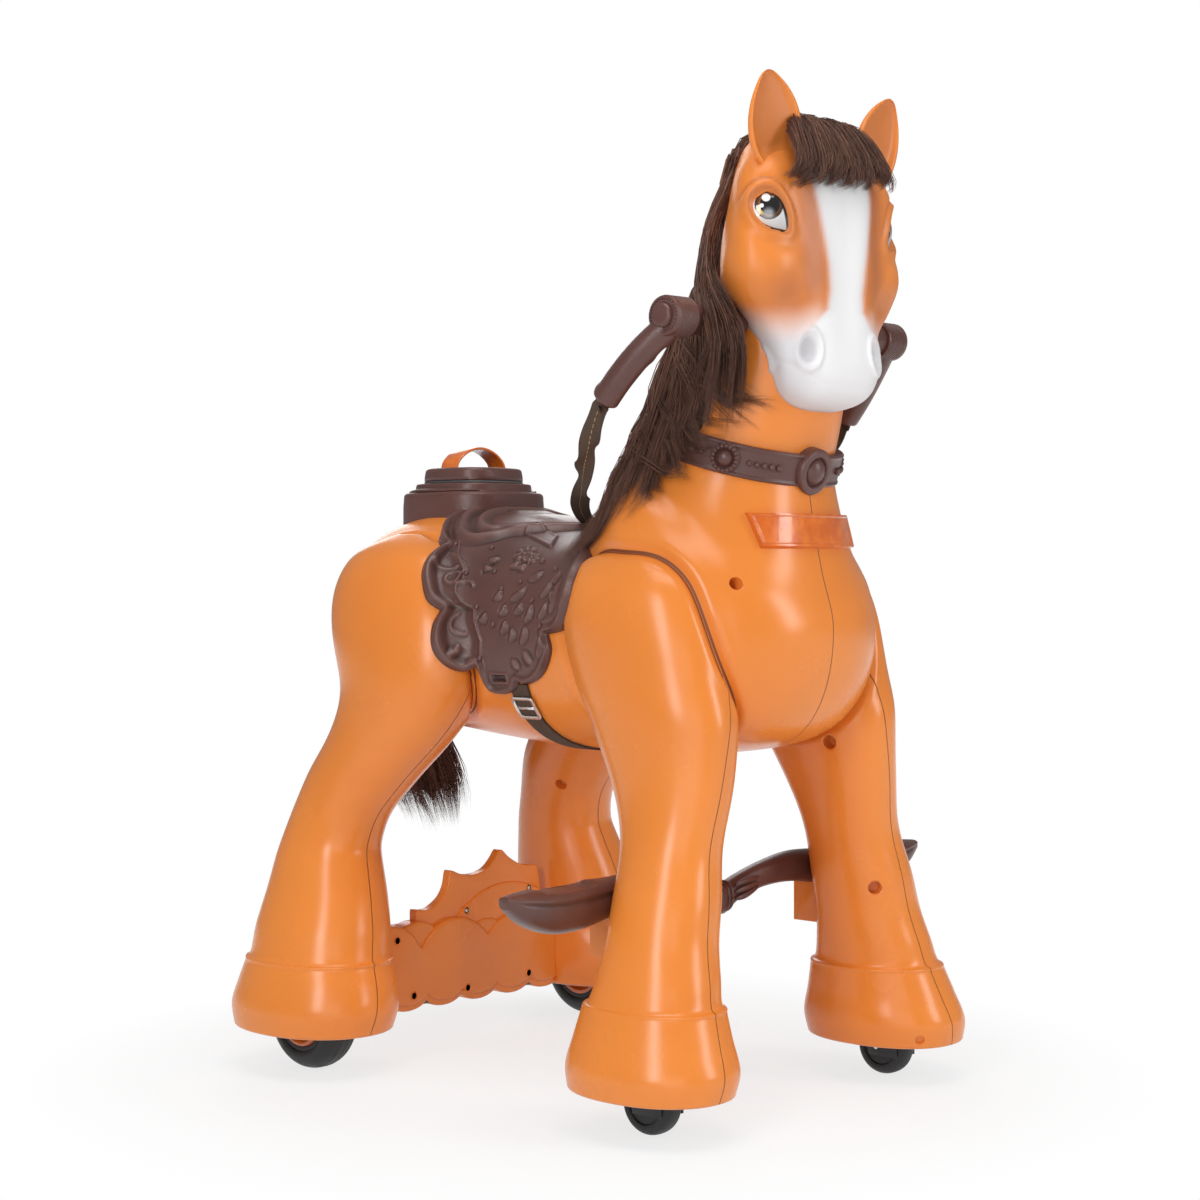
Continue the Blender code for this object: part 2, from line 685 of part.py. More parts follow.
def make_hair():
    """Mane, forelock and tail as plain lumps."""
    rings = []
    for rise, ahead, radius, thick, start, end in MANE:
        z = COLLAR_MID.z + rise
        centre_x = COLLAR_MID.x + ahead
        outer = []
        inner = []
        for i in range(8):
            angle = math.radians(start + (end - start) * i / 7)
            swell = radius + thick * math.sin(math.pi * (i + 0.7) / 8.4) ** 0.5
            outer.append(Vector((centre_x + swell * math.cos(angle), swell * math.sin(angle), z)))
            core = 0.6 * radius
            inner.append(Vector((centre_x + core * math.cos(angle), core * math.sin(angle), z)))
        rings.append(outer + inner[::-1])
    mane = loft("mane", rings, HAIR)
    arm_skin = rod("arm_skin", (GRIP_X, -GRIP_Y, GRIP_Z), (GRIP_X, 0, GRIP_Z), ARM_RADIUS + FIT)
    cut(mane, HORSE_SKIN, collar_form("collar_skin", FIT), arm_skin, SADDLE_SKIN)
    top = COLLAR_MID.z + CHIN_ABOVE + HEAD_HEIGHT
    brow = (COLLAR_MID.x + FACE_AHEAD - 0.040, 0, top - 0.022)
    forelock = ball("forelock", brow, (0.046, 0.044, 0.036), HAIR)
    cut(forelock, HEAD_SKIN)
    rings = []
    for drop, behind, y, half_x, half_y in eased(TAIL, 2):
        ring = []
        for i in range(12):
            angle = math.tau * i / 12
            ring.append(Vector((RUMP_X - behind + half_x * math.cos(angle), y + half_y * math.sin(angle),
                                BACK_Z - TAIL_ROOT - drop)))
        rings.append(ring)
    cut(loft("tail", rings, HAIR), BODY_SKIN)


def collar_form(name, grow=0.0, material=None):
    """Band round the neck with a medallion in front and a rosette on each side."""
    band = girth(COLLAR_BACK, COLLAR_FRONT, COLLAR_HALF_WIDTH, BODY_POWER, 24, COLLAR_T + grow)
    half = COLLAR_UP * (COLLAR_HEIGHT / 2 + grow)
    collar = loft(name, [[p - half for p in band], [p + half for p in band]], material)
    outward = (COLLAR_FRONT - COLLAR_BACK).normalized()
    reach = (COLLAR_FRONT - COLLAR_BACK).length / 2 + COLLAR_T
    studs = [("medallion", 0.0, MEDAL_RADIUS, 0.006)]
    studs += [(f"rosette_{word}", side * math.radians(66), ROSETTE_RADIUS, 0.004) for word, side in SIDES]
    for stud, angle, radius, proud in studs:
        u, v = squared(math.pi + angle, BODY_POWER)
        seat = COLLAR_MID - outward * reach * u - Vector((0, (COLLAR_HALF_WIDTH + COLLAR_T) * v, 0))
        normal = Matrix.Rotation(angle, 3, COLLAR_UP) @ outward
        boolean(collar, rod(f"{name}_{stud}", seat - normal * 2 * COLLAR_T, seat + normal * (proud + grow),
                            radius + grow, None, 20, radius * 0.8 + grow), "UNION")
    return collar


def make_collar():
    """Bridle collar and a plain chest plate."""
    cut(collar_form("neck_collar", 0, BROWN), BODY_SKIN, NECK_SKIN, HEAD_SKIN)
    plate = torso("chest_plate", PLATE_T, TRIM, rise=WALL)
    low = COLLAR_FRONT.z - 0.082
    slant = 0.16
    window = prism("plate_window", ((-PLATE_HALF, low + 0.036), (PLATE_HALF, low + 0.036),
                                    (PLATE_HALF - slant * 0.036, low), (slant * 0.036 - PLATE_HALF, low)),
                   COLLAR_MID.x, CHEST_X + 0.1, 0)
    boolean(plate, window, "INTERSECT")
    cut(plate, BODY_SKIN)


def make_legs():
    """Outer and inner half of each leg."""
    for leg in (FRONT, REAR):
        for word, side in SIDES:
            hollow = leg.hollow(f"{leg.kind}_{word}_leg_hollow", side)
            for half, outer in (("outer", True), ("inner", False)):
                name = f"{leg.kind}_{word}_leg_{half}"
                shell = leg.solid(name, side, 0, ORANGE)
                cut(shell, leg.seam_side(f"{name}_other_side", side, outer), hollow)
                if leg is REAR and not outer:
                    cut(shell, rod(f"{name}_axle_hole", (AXLE_X, 0, AXLE_Z),
                                   (AXLE_X, side * REAR_HOOF.y, AXLE_Z), AXLE_RADIUS + RUN))


def make_castors():
    """Swivelling castor in each front hoof."""
    swivel_x = FRONT_HOOF.x + SWIVEL_AHEAD
    wheel_x = swivel_x - TRAIL
    half = FRONT_WHEEL_WIDTH / 2
    fork_in = half + 2 * FIT
    fork_out = fork_in + FORK_PLATE
    crown_z = 2 * FRONT_WHEEL_RADIUS + 0.006
    plate_z = crown_z + FORK_PLATE + FIT
    plate_t = 0.006
    boss = 0.024
    for word, side in SIDES:
        y = side * FRONT_HOOF.y
        plate = FRONT.hollow(f"castor_plate_{word}", side, FIT, GREY)
        slab = box(f"castor_slab_{word}", (-1, -1, plate_z), (1, 1, plate_z + plate_t))
        boolean(plate, slab, "INTERSECT")
        boolean(plate, rod(f"castor_boss_{word}", (swivel_x, y, plate_z + plate_t / 2),
                           (swivel_x, y, plate_z + boss), STEM_RADIUS + 0.005), "UNION")
        cut(plate, rod(f"castor_bore_{word}", (swivel_x, y, plate_z - 0.01),
                       (swivel_x, y, plate_z + 2 * boss), STEM_RADIUS + RUN))
        fork = box(f"castor_fork_{word}", (wheel_x - 0.011, y - fork_out, FRONT_WHEEL_RADIUS - 0.010),
                   (swivel_x + 0.012, y + fork_out, crown_z + FORK_PLATE), STEEL)
        cut(fork, box(f"fork_gap_{word}", (wheel_x - 0.1, y - fork_in, 0),
                      (swivel_x + 0.1, y + fork_in, crown_z)))
        cut(fork, rod(f"fork_hole_{word}", (wheel_x, y - 0.1, FRONT_WHEEL_RADIUS),
                      (wheel_x, y + 0.1, FRONT_WHEEL_RADIUS), PIN_RADIUS + RUN, None, 12))
        boolean(fork, rod(f"fork_stem_{word}", (swivel_x, y, crown_z + FORK_PLATE / 2),
                          (swivel_x, y, plate_z + boss), STEM_RADIUS), "UNION")
        pivot(fork, (swivel_x, y, plate_z))
        axle = rod(f"castor_axle_{word}", (wheel_x, y - fork_out - 0.002, FRONT_WHEEL_RADIUS),
                   (wheel_x, y + fork_out + 0.002, FRONT_WHEEL_RADIUS), PIN_RADIUS, STEEL, 12)
        pivot(axle, (wheel_x, y, FRONT_WHEEL_RADIUS))
        bore = PIN_RADIUS + RUN
        r = FRONT_WHEEL_RADIUS
        turned(f"castor_wheel_{word}",
               ((bore, half), (r * 0.32, half), (r * 0.36, half - 0.003), (r * 0.66, half - 0.003),
                (r * 0.88, half - 0.001), (r, half - 0.010), (r, 0.010 - half), (r * 0.88, 0.001 - half),
                (r * 0.66, 0.003 - half), (r * 0.36, 0.003 - half), (r * 0.32, -half), (bore, -half)),
               (wheel_x, y, r), (0, 1, 0), BLACK, 24)


def make_rear_wheels():
    """Driven wheel in each rear hoof, on an axle from its gearbox."""
    half = REAR_WHEEL_WIDTH / 2
    r = REAR_WHEEL_RADIUS
    inner = HUB_RADIUS + FIT
    for word, side in SIDES:
        y = side * REAR_HOOF.y
        turned(f"rear_tyre_{word}",
               ((inner, half - 0.002), (r * 0.80, half), (r * 0.92, half - 0.003), (r * 0.985, half - 0.010),
                (r, half - 0.016), (r, 0.016 - half), (r * 0.985, 0.010 - half), (r * 0.92, 0.003 - half),
                (r * 0.80, -half), (inner, 0.002 - half)),
               (AXLE_X, y, AXLE_Z), (0, 1, 0), BLACK, 28)
        bore = AXLE_RADIUS + FIT
        turned(f"rear_hub_{word}",
               ((bore, half + 0.002), (0.014, half + 0.002), (0.016, half - 0.004), (0.028, half - 0.006),
                (0.032, half - 0.001), (HUB_RADIUS, half - 0.003), (HUB_RADIUS, 0.003 - half),
                (0.032, 0.003 - half), (0.028, 0.010 - half), (0.016, 0.010 - half), (0.014, 0.002 - half),
                (bore, 0.002 - half)),
               (AXLE_X, y, AXLE_Z), (0, side, 0), TRIM, 22)
        gear_y = side * (GEARBOX_LENGTH + 0.018)
        axle = rod(f"drive_axle_{word}", (AXLE_X, gear_y - side * 0.030, AXLE_Z),
                   (AXLE_X, y + side * (half + 0.004), AXLE_Z), AXLE_RADIUS, STEEL, 16)
        pivot(axle, (AXLE_X, y, AXLE_Z))


def scallops(lobes, low):
    """Outline of a row of discs on a level base: y and radius of each disc, z of their centres."""
    points = []
    for y, z, radius in lobes:
        for k in range(7):
            angle = math.pi * (1 - k / 6)
            point = (y + radius * math.cos(angle), z + radius * math.sin(angle))
            inside = any((point[0] - a) ** 2 + (point[1] - b) ** 2 < (c - 0.0005) ** 2 for a, b, c in lobes)
            if not inside and point[1] > low:
                points.append(point)
    return points


def make_drive():
    """Housing between the rear hooves, with a cloud and sun front, gearboxes and motors."""
    front = AXLE_X + DRIVE_FRONT_AHEAD
    rear = front - DRIVE_DEPTH
    split = AXLE_X - FIT
    half = REAR_HOOF.y - REAR_HOOF_WIDTH / 2 + 0.030
    top = DRIVE_Z + DRIVE_HEIGHT
    lobe = 2 * half / 6
    lobes = [(-half + lobe * (i + 0.5), top - 0.030 + 0.010 * (i % 2), lobe * 0.62) for i in range(6)]
    outline = [(-half, DRIVE_Z + 0.006), (-half, top - 0.030)] + scallops(lobes, top - 0.030)
    outline += [(half, top - 0.030), (half, DRIVE_Z + 0.006)]
    feet = 8
    for i in range(feet):
        y = half - (i + 0.5) * 2 * half / feet
        outline.append((y, DRIVE_Z - 0.004 * (i % 2)))
    cover = prism("drive_cover_front", outline, split, front, 0, ORANGE)
    sun = []
    sun_y = 0.20 * half
    sun_z = top - 0.036
    rays = 6
    for i in range(2 * rays + 1):
        angle = math.radians(180 - 180 * i / (2 * rays))
        radius = 0.108 if i % 2 else 0.080
        sun.append((sun_y + radius * math.cos(angle), sun_z + radius * math.sin(angle)))
    boolean(cover, prism("drive_sun", sun, split + 0.002, split + 0.010, 0), "UNION")
    back = box("drive_cover_rear", (rear, -half, DRIVE_Z + 0.002), (split - SEAM, half, top - 0.012), ORANGE)
    room = box("drive_room", (rear + WALL, -half - 0.1, DRIVE_Z + 0.002 + WALL), (front - WALL, half + 0.1,
                                                                              top - 0.012 - WALL))
    skins = [LEG_SKINS["rear", side] for _, side in SIDES]
    cut(cover, room, *skins)
    cut(back, room, *skins)
    gear_low = DRIVE_Z + 0.002 + WALL + FIT
    gear_high = top - 0.012 - WALL - FIT
    for word, side in SIDES:
        ends = sorted((side * 0.052, side * (0.052 + GEARBOX_LENGTH)))
        gearbox = box(f"gearbox_{word}", (rear + WALL + FIT, ends[0], gear_low),
                      (front - WALL - FIT, ends[1], gear_high), GREY)
        cut(gearbox, rod(f"gearbox_bore_{word}", (AXLE_X, side * 0.050, AXLE_Z), (AXLE_X, side * 0.2, AXLE_Z),
                         AXLE_RADIUS + RUN))
        cut(gearbox, LEG_SKINS["rear", side])
        motor_z = gear_high - MOTOR_RADIUS - 0.004
        rod(f"motor_{word}", (AXLE_X - 0.008, side * (0.052 - FIT), motor_z),
            (AXLE_X - 0.008, side * (0.052 - MOTOR_LENGTH), motor_z), MOTOR_RADIUS, STEEL, 20)


def flap_outline(grow=0.0):
    """Scalloped flap outline: the union of its lobes seen from its middle, grown outward."""
    points = []
    count = 44
    for i in range(count):
        angle = math.tau * i / count
        ray = (math.cos(angle), math.sin(angle))
        reach = 0.0
        for x, z, radius in FLAP_LOBES:
            along = x * ray[0] + z * ray[1]
            inside = radius ** 2 - (x * ray[1] - z * ray[0]) ** 2
            if inside > 0:
                reach = max(reach, along + math.sqrt(inside))
        reach += grow
        points.append((SADDLE_X + reach * ray[0], FLAP_Z + reach * ray[1]))
    return points


def saddle_form(name, grow=0.0, material=None):
    """Skin over the back and the tops of the legs, inside the flap's outline."""
    form = torso(name, SADDLE_T + grow, material, rise=WALL)
    for leg in (FRONT, REAR):
        for word, side in SIDES:
            boolean(form, leg.solid(f"{name}_over_{leg.kind}_{word}", side, SADDLE_T + grow), "UNION")
    return boolean(form, prism(f"{name}_window", flap_outline(grow), -0.4, 0.4, 1), "INTERSECT")


def make_saddle():
    """Moulded saddle over the back, its girth strap and buckles."""
    outline = flap_outline()
    cut(saddle_form("saddle", 0, BROWN), BODY_SKIN, *LEG_SKINS.values())
    flap_low = min(z for _, z in outline)
    middle = min(outline, key=lambda point: point[1])[0]
    girth_strap = torso("girth_strap", GIRTH_T + FIT, WEB)
    window = box("girth_window", (middle - GIRTH_WIDTH / 2, -0.4, 0),
                 (middle + GIRTH_WIDTH / 2, 0.4, flap_low - FIT))
    boolean(girth_strap, window, "INTERSECT")
    cut(girth_strap, BODY_SKIN)
    strap_skin = torso("strap_skin", GIRTH_T + 2 * FIT)
    for word, side in SIDES:
        buckle = torso(f"girth_buckle_{word}", GIRTH_T + 0.004, STEEL)
        low = flap_low - 0.026
        frame = box(f"buckle_window_{word}", (middle - GIRTH_WIDTH / 2 - 0.004, side * 0.05, low),
                    (middle + GIRTH_WIDTH / 2 + 0.004, side * 0.4, flap_low - 2 * FIT))
        boolean(buckle, frame, "INTERSECT")
        cut(buckle, box(f"buckle_hole_{word}", (middle - GIRTH_WIDTH / 2, side * 0.05, low + 0.005),
                        (middle + GIRTH_WIDTH / 2, side * 0.4, flap_low - 0.006)), strap_skin)


def make_cantle():
    """Stepped cantle, lid with its strap, battery box and what it holds."""
    base_top = CANTLE_Z + CANTLE_BASE
    seat_top = base_top + CANTLE_STEP
    inside = BOX_HALF + WALL + FIT
    cantle = loft("cantle", [[(*p, CANTLE_Z - 0.060) for p in rounded_square(CANTLE_X, CANTLE_HALF)],
                             [(*p, base_top - 0.006) for p in rounded_square(CANTLE_X, CANTLE_HALF)],
                             [(*p, base_top) for p in rounded_square(CANTLE_X, CANTLE_HALF - 0.006)],
                             [(*p, base_top) for p in rounded_square(CANTLE_X, CANTLE_HALF - 0.013)],
                             [(*p, seat_top) for p in rounded_square(CANTLE_X, CANTLE_HALF - 0.015)]], BROWN)
    cut(cantle, BODY_SKIN, prism("cantle_bore", rounded_square(CANTLE_X, inside), 0, 1, 2))
    cut(cantle, SADDLE_SKIN, *(LEG_SKINS["rear", side] for _, side in SIDES))
    flange = seat_top + 0.003
    floor = flange - BOX_DEPTH
    tub = loft("battery_box", [[(*p, floor) for p in rounded_square(CANTLE_X, BOX_HALF + WALL)],
                               [(*p, seat_top + FIT) for p in rounded_square(CANTLE_X, BOX_HALF + WALL)],
                               [(*p, seat_top + FIT) for p in rounded_square(CANTLE_X, LID_HALF)],
                               [(*p, flange) for p in rounded_square(CANTLE_X, LID_HALF)]], GREY)
    cut(tub, prism("box_room", rounded_square(CANTLE_X, BOX_HALF), floor + WALL, flange + 1, 2))
    length, width, height = BATTERY
    low = floor + WALL + FIT
    box("battery", (CANTLE_X - length / 2, -width / 2, low),
        (CANTLE_X + length / 2, width / 2, low + height), GREY)
    lid_low = flange + FIT
    lid_top = lid_low + LID_T
    levels = ((lid_low - LID_LIP, BOX_HALF - FIT), (lid_low, BOX_HALF - FIT), (lid_low, LID_HALF),
              (lid_top - 0.004, LID_HALF - 0.002), (lid_top, LID_HALF - 0.006))
    lid = loft("cantle_lid", [[(*p, z) for p in rounded_square(CANTLE_X, half)] for z, half in levels], BROWN)
    room = rounded_square(CANTLE_X, BOX_HALF - 0.006)
    cut(lid, prism("lid_room", room, lid_low - 0.1, lid_top - WALL, 2))
    pivot(lid, (CANTLE_X, 0, lid_low))
    make_strap(lid_low + LID_T + FIT)
    front = CANTLE_X + BOX_HALF + WALL + FIT
    box("control_board", (front, -0.035, floor + 0.010), (front + 0.016, 0.035, floor + 0.062), BOARD)
    rear = CANTLE_X - BOX_HALF - WALL - FIT
    rod("speaker", (rear, 0, floor + 0.030), (rear - 0.016, 0, floor + 0.030), 0.020, GREY, 20, 0.026)


def make_strap(seat):
    """Strap handle arched across the lid, with a flat foot at each end."""
    foot = 0.012
    half = STRAP_SPAN / 2
    path = [(-half, 0.0)]
    steps = 12
    for i in range(steps + 1):
        t = i / steps
        y = (foot - half) + (2 * half - 2 * foot) * t
        path.append((y, STRAP_RISE * math.sin(math.pi * t) ** 0.6))
    path.append((half, 0.0))
    rings = []
    for i, (y, z) in enumerate(path):
        before = Vector(path[max(i - 1, 0)])
        after = Vector(path[min(i + 1, len(path) - 1)])
        along = (after - before).normalized()
        out = Vector((-along.y, along.x)) * STRAP_T
        width = STRAP_WIDTH / 2
        inner = (y, seat + z)
        outer = (y + out.x, seat + z + out.y)
        rings.append([Vector((CANTLE_X + dx, *pair)) for dx, pair in
                      ((-width, inner), (width, inner), (width, outer), (-width, outer))])
    pivot(loft("lid_strap", rings, TRIM), (CANTLE_X, 0, seat))


def make_handles():
    """Cross tube through the jaw, with a grip and a thumb button on each end."""
    socket = 0.030
    root = 0.086
    rod("handle_tube", (GRIP_X, -(root + socket - FIT), GRIP_Z), (GRIP_X, root + socket - FIT, GRIP_Z),
        TUBE_RADIUS, STEEL)
    for word, side in SIDES:
        def at(x, y, z):
            return Vector((GRIP_X + x, side * (GRIP_Y + y), GRIP_Z + z))
        rows = eased(GRIP_PATH, 3)
        rings = []
        for i, row in enumerate(rows):
            along = (at(*rows[min(i + 1, len(rows) - 1)]) - at(*rows[max(i - 1, 0)])).normalized()
            across = along.cross(Vector((0, 1, 0))).normalized()
            other = along.cross(across)
            radius = GRIP_RADIUS + (0.0012 if i % 3 < 2 else -0.0010)
            rings.append([at(*row) + across * radius * math.cos(math.tau * k / 10)
                          + other * radius * math.sin(math.tau * k / 10) for k in range(10)])
        grip = loft(f"grip_{word}", rings, BROWN)
        drum = rod(f"grip_drum_{word}", at(0, -DRUM_LENGTH, 0), at(0, 0, 0), DRUM_RADIUS, None, 20)
        boolean(grip, drum, "UNION")
        boolean(grip, rod(f"grip_arm_{word}", (GRIP_X, side * root * 0.6, GRIP_Z), at(0, -DRUM_LENGTH / 2, 0),
                          ARM_RADIUS, None, 16), "UNION")
        cut(grip, NECK_SKIN, HEAD_SKIN)
        cut(grip, rod(f"grip_bore_{word}", (GRIP_X, 0, GRIP_Z), (GRIP_X, side * (root + socket), GRIP_Z),
                      TUBE_RADIUS + RUN))
        cut(grip, rod(f"button_pocket_{word}", at(0, -BUTTON_POCKET, 0), at(0, 0.01, 0),
                      BUTTON_RADIUS + RUN, None, 20))
        button = turned(f"thumb_button_{word}",
                        ((0, BUTTON_OUT), (BUTTON_RADIUS * 0.6, BUTTON_OUT - 0.0006),
                         (BUTTON_RADIUS * 0.9, BUTTON_OUT - 0.002), (BUTTON_RADIUS, BUTTON_OUT - 0.0035),
                         (BUTTON_RADIUS, -BUTTON_IN), (0, -BUTTON_IN)),
                        at(0, 0, 0), (0, side, 0), BROWN, 20)
        button.location = at(0, 0, 0)
    make_rein()


def make_rein():
    """Flat rein from grip to grip, resting on the saddle."""
    grip_end = Vector(GRIP_PATH[-1])
    lean = (grip_end - Vector(eased(GRIP_PATH, 3)[-2])).normalized()
    start = Vector((GRIP_X, GRIP_Y, GRIP_Z)) + grip_end + lean * FIT
    rest = torso_point(*TORSO[5][0:2]) + Vector((0, 0, SADDLE_T + 4 * FIT + REIN_T / 2))
    half = [tuple(start), tuple(start + lean * 0.004), tuple(start + lean * 0.008)]
    half += [tuple(a + (b - a) * share for a, b, share in zip(rest, start, row)) for row in REIN]
    half.append(tuple(rest))
    path = half + [(x, -y, z) for x, y, z in half[-2::-1]]
    points = [Vector(p) for p in eased(path, 2)]
    rings = []
    for i, point in enumerate(points):
        along = (points[min(i + 1, len(points) - 1)] - points[max(i - 1, 0)]).normalized()
        across = (Vector((1, 0, 0)) - along * along.x).normalized() * REIN_WIDTH / 2
        flat = along.cross(across).normalized() * REIN_T / 2
        rings.append([point - across - flat, point + across - flat,
                      point + across + flat, point - across + flat])
    loft("rein_strap", rings, WEB)


def footrest_form(name, grow=0.0, material=None):
    """Bar that swells into a foot pad at each end."""
    rows = [(-y, rise, depth, height) for y, rise, depth, height in FOOTREST[:0:-1]] + list(FOOTREST)
    share = FOOTREST_SPAN / 2 / FOOTREST[-1][0]
    rings = []
    for y, rise, half_depth, half_height in rows:
        bow = FOOTREST_BOW * (y / rows[-1][0]) ** 2
        ring = []
        for i in range(12):
            u, v = squared(math.tau * i / 12, 2.6)
            ring.append(Vector((FOOTREST_X + bow + (half_depth + grow) * u, y * share,
                                FOOTREST_Z + rise + (half_height + grow) * v)))
        rings.append(ring)
    return loft(name, rings, material)


def make_footrest():
    """Footrest bar behind the front legs, with a bracket under it on each leg."""
    bar = footrest_form("footrest_bar", 0, BROWN)
    cut(bar, LEG_SKINS["front", -1], LEG_SKINS["front", 1])
    bar_skin = footrest_form("footrest_skin", FIT)
    tread = FOOTREST_Z + FOOTREST[6][1] + 0.8 * FOOTREST[6][3]
    for word, side in SIDES:
        pad = FOOTREST_SPAN / 2
        cut(bar, box(f"tread_{word}", (FOOTREST_X - 0.1, side * 0.62 * pad, tread),
                     (FOOTREST_X + 0.1, side * 0.86 * pad, tread + 0.1)))
        y = side * (FRONT_HOOF.y - 0.034)
        bracket = box(f"footrest_bracket_{word}", (FOOTREST_X - 0.016, y - 0.018, FOOTREST_Z - 0.052),
                      (FOOTREST_X + 0.045, y + 0.018, FOOTREST_Z), ORANGE)
        cut(bracket, LEG_SKINS["front", side], bar_skin)


SADDLE_SKIN = saddle_form("saddle_skin", FIT)
make_body()
make_head()
make_hair()
make_collar()
make_legs()
make_castors()
make_rear_wheels()
make_drive()
make_saddle()
make_cantle()
make_handles()
make_footrest()
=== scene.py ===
# %% [markdown]
# # A ride-on toy horse, from its solids to its looks
#
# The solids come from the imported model: they say where every piece sits and how it moves. This
# lesson gives them their surfaces: smooth glossy mouldings with partings and an airbrushed face,
# a tooled saddle, a beaded collar, hair, webbing, rubber and screws.

# %% Open the frame
import json
import math
from contextlib import contextmanager

import bmesh
import bpy
import numpy as np
from mathutils import Matrix, Vector
from mathutils.bvhtree import BVHTree

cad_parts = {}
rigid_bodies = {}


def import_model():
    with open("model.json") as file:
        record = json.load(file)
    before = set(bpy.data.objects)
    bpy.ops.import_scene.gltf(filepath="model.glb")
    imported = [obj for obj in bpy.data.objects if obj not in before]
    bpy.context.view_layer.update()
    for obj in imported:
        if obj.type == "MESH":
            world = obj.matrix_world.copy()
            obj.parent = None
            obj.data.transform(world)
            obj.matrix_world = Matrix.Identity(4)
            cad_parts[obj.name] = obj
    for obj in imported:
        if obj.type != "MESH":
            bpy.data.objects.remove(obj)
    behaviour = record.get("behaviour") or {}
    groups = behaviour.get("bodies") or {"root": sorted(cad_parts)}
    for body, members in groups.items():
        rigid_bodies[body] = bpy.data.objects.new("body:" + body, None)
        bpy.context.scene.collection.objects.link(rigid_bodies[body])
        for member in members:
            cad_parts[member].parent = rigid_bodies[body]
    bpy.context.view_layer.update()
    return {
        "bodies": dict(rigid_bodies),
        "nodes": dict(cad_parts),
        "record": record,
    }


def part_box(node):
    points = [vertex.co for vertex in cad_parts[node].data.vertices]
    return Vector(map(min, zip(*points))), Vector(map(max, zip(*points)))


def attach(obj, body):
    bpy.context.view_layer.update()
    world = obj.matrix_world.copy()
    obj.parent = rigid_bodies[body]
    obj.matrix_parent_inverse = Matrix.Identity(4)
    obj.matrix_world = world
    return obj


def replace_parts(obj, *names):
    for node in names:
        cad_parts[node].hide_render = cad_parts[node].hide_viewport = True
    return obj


for old in list(bpy.data.objects):
    bpy.data.objects.remove(old, do_unlink=True)
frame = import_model()
NODES = frame["nodes"]
SIDES = (("right", -1), ("left", 1))


def added(name, data):
    """New object in the scene."""
    made = bpy.data.objects.new(name, data)
    bpy.context.scene.collection.objects.link(made)
    return made


# %% [markdown]
# ## Camera
#
# The photograph was taken with a long lens, almost level, from the front right of the horse. The
# camera's place was solved from points that can be told apart in the picture, so an upright frame
# with no shift repeats its perspective.

# %% Camera
AZIMUTH = math.radians(46.5917)
ELEVATION = math.radians(0.7376)
CAMERA_PLACE = (1.80735, -1.89665, 0.55947)
PHOTO_WIDTH = 1200
FOCAL_PIXELS = 2320.18
SENSOR_WIDTH = 36.0
toward = Vector((math.cos(ELEVATION) * math.cos(AZIMUTH), -math.cos(ELEVATION) * math.sin(AZIMUTH),
                 math.sin(ELEVATION)))
lens = bpy.data.cameras.new("photo_camera")
lens.sensor_width = SENSOR_WIDTH
lens.sensor_fit = "HORIZONTAL"
lens.lens = SENSOR_WIDTH * FOCAL_PIXELS / PHOTO_WIDTH
lens.clip_end = 50.0
camera = added("photo_camera", lens)
camera.location = CAMERA_PLACE
camera.rotation_euler = toward.to_track_quat("Z", "Y").to_euler()
bpy.context.scene.camera = camera
bpy.context.scene.view_settings.view_transform = "Standard"
print("lens", round(lens.lens, 2), "mm")

# %% [markdown]
# ## Shader maths
#
# A finish is easier to read as an expression than as a web of nodes. `Wire` wraps one socket and
# gives it Python's operators; `Finish` owns a material and adds any other node by its type.


# %% Wires
class Wire:
    """One output socket of a material, with arithmetic."""

    def __init__(self, finish, socket):
        self.finish = finish
        self.socket = socket

    def math(self, operation, *values):
        return self.finish.node("ShaderNodeMath", {"operation": operation}, values)

    def __add__(self, other):
        return self.math("ADD", self, other)

    def __sub__(self, other):
        return self.math("SUBTRACT", self, other)

    def __rsub__(self, other):
        return self.math("SUBTRACT", other, self)

    def __mul__(self, other):
        return self.math("MULTIPLY", self, other)

    def __truediv__(self, other):
        return self.math("DIVIDE", self, other)

    def __pow__(self, other):
        return self.math("POWER", self, other)

    def __abs__(self):
        return self.math("ABSOLUTE", self)

    __radd__ = __add__
    __rmul__ = __mul__

    def least(self, other):
        return self.math("MINIMUM", self, other)

    def most(self, other):
        return self.math("MAXIMUM", self, other)

    def sine(self):
        return self.math("SINE", self)

    def rise(self, low, high):
        """0 below low, 1 above high, smooth between."""
        return self.finish.node("ShaderNodeMapRange", {"interpolation_type": "SMOOTHSTEP"},
                                {"Value": self, "From Min": low, "From Max": high})

    def parts(self):
        """The three numbers of a vector."""
        split = self.finish.node("ShaderNodeSeparateXYZ", {}, [self]).socket.node
        return [Wire(self.finish, socket) for socket in split.outputs]


print("wires ready")


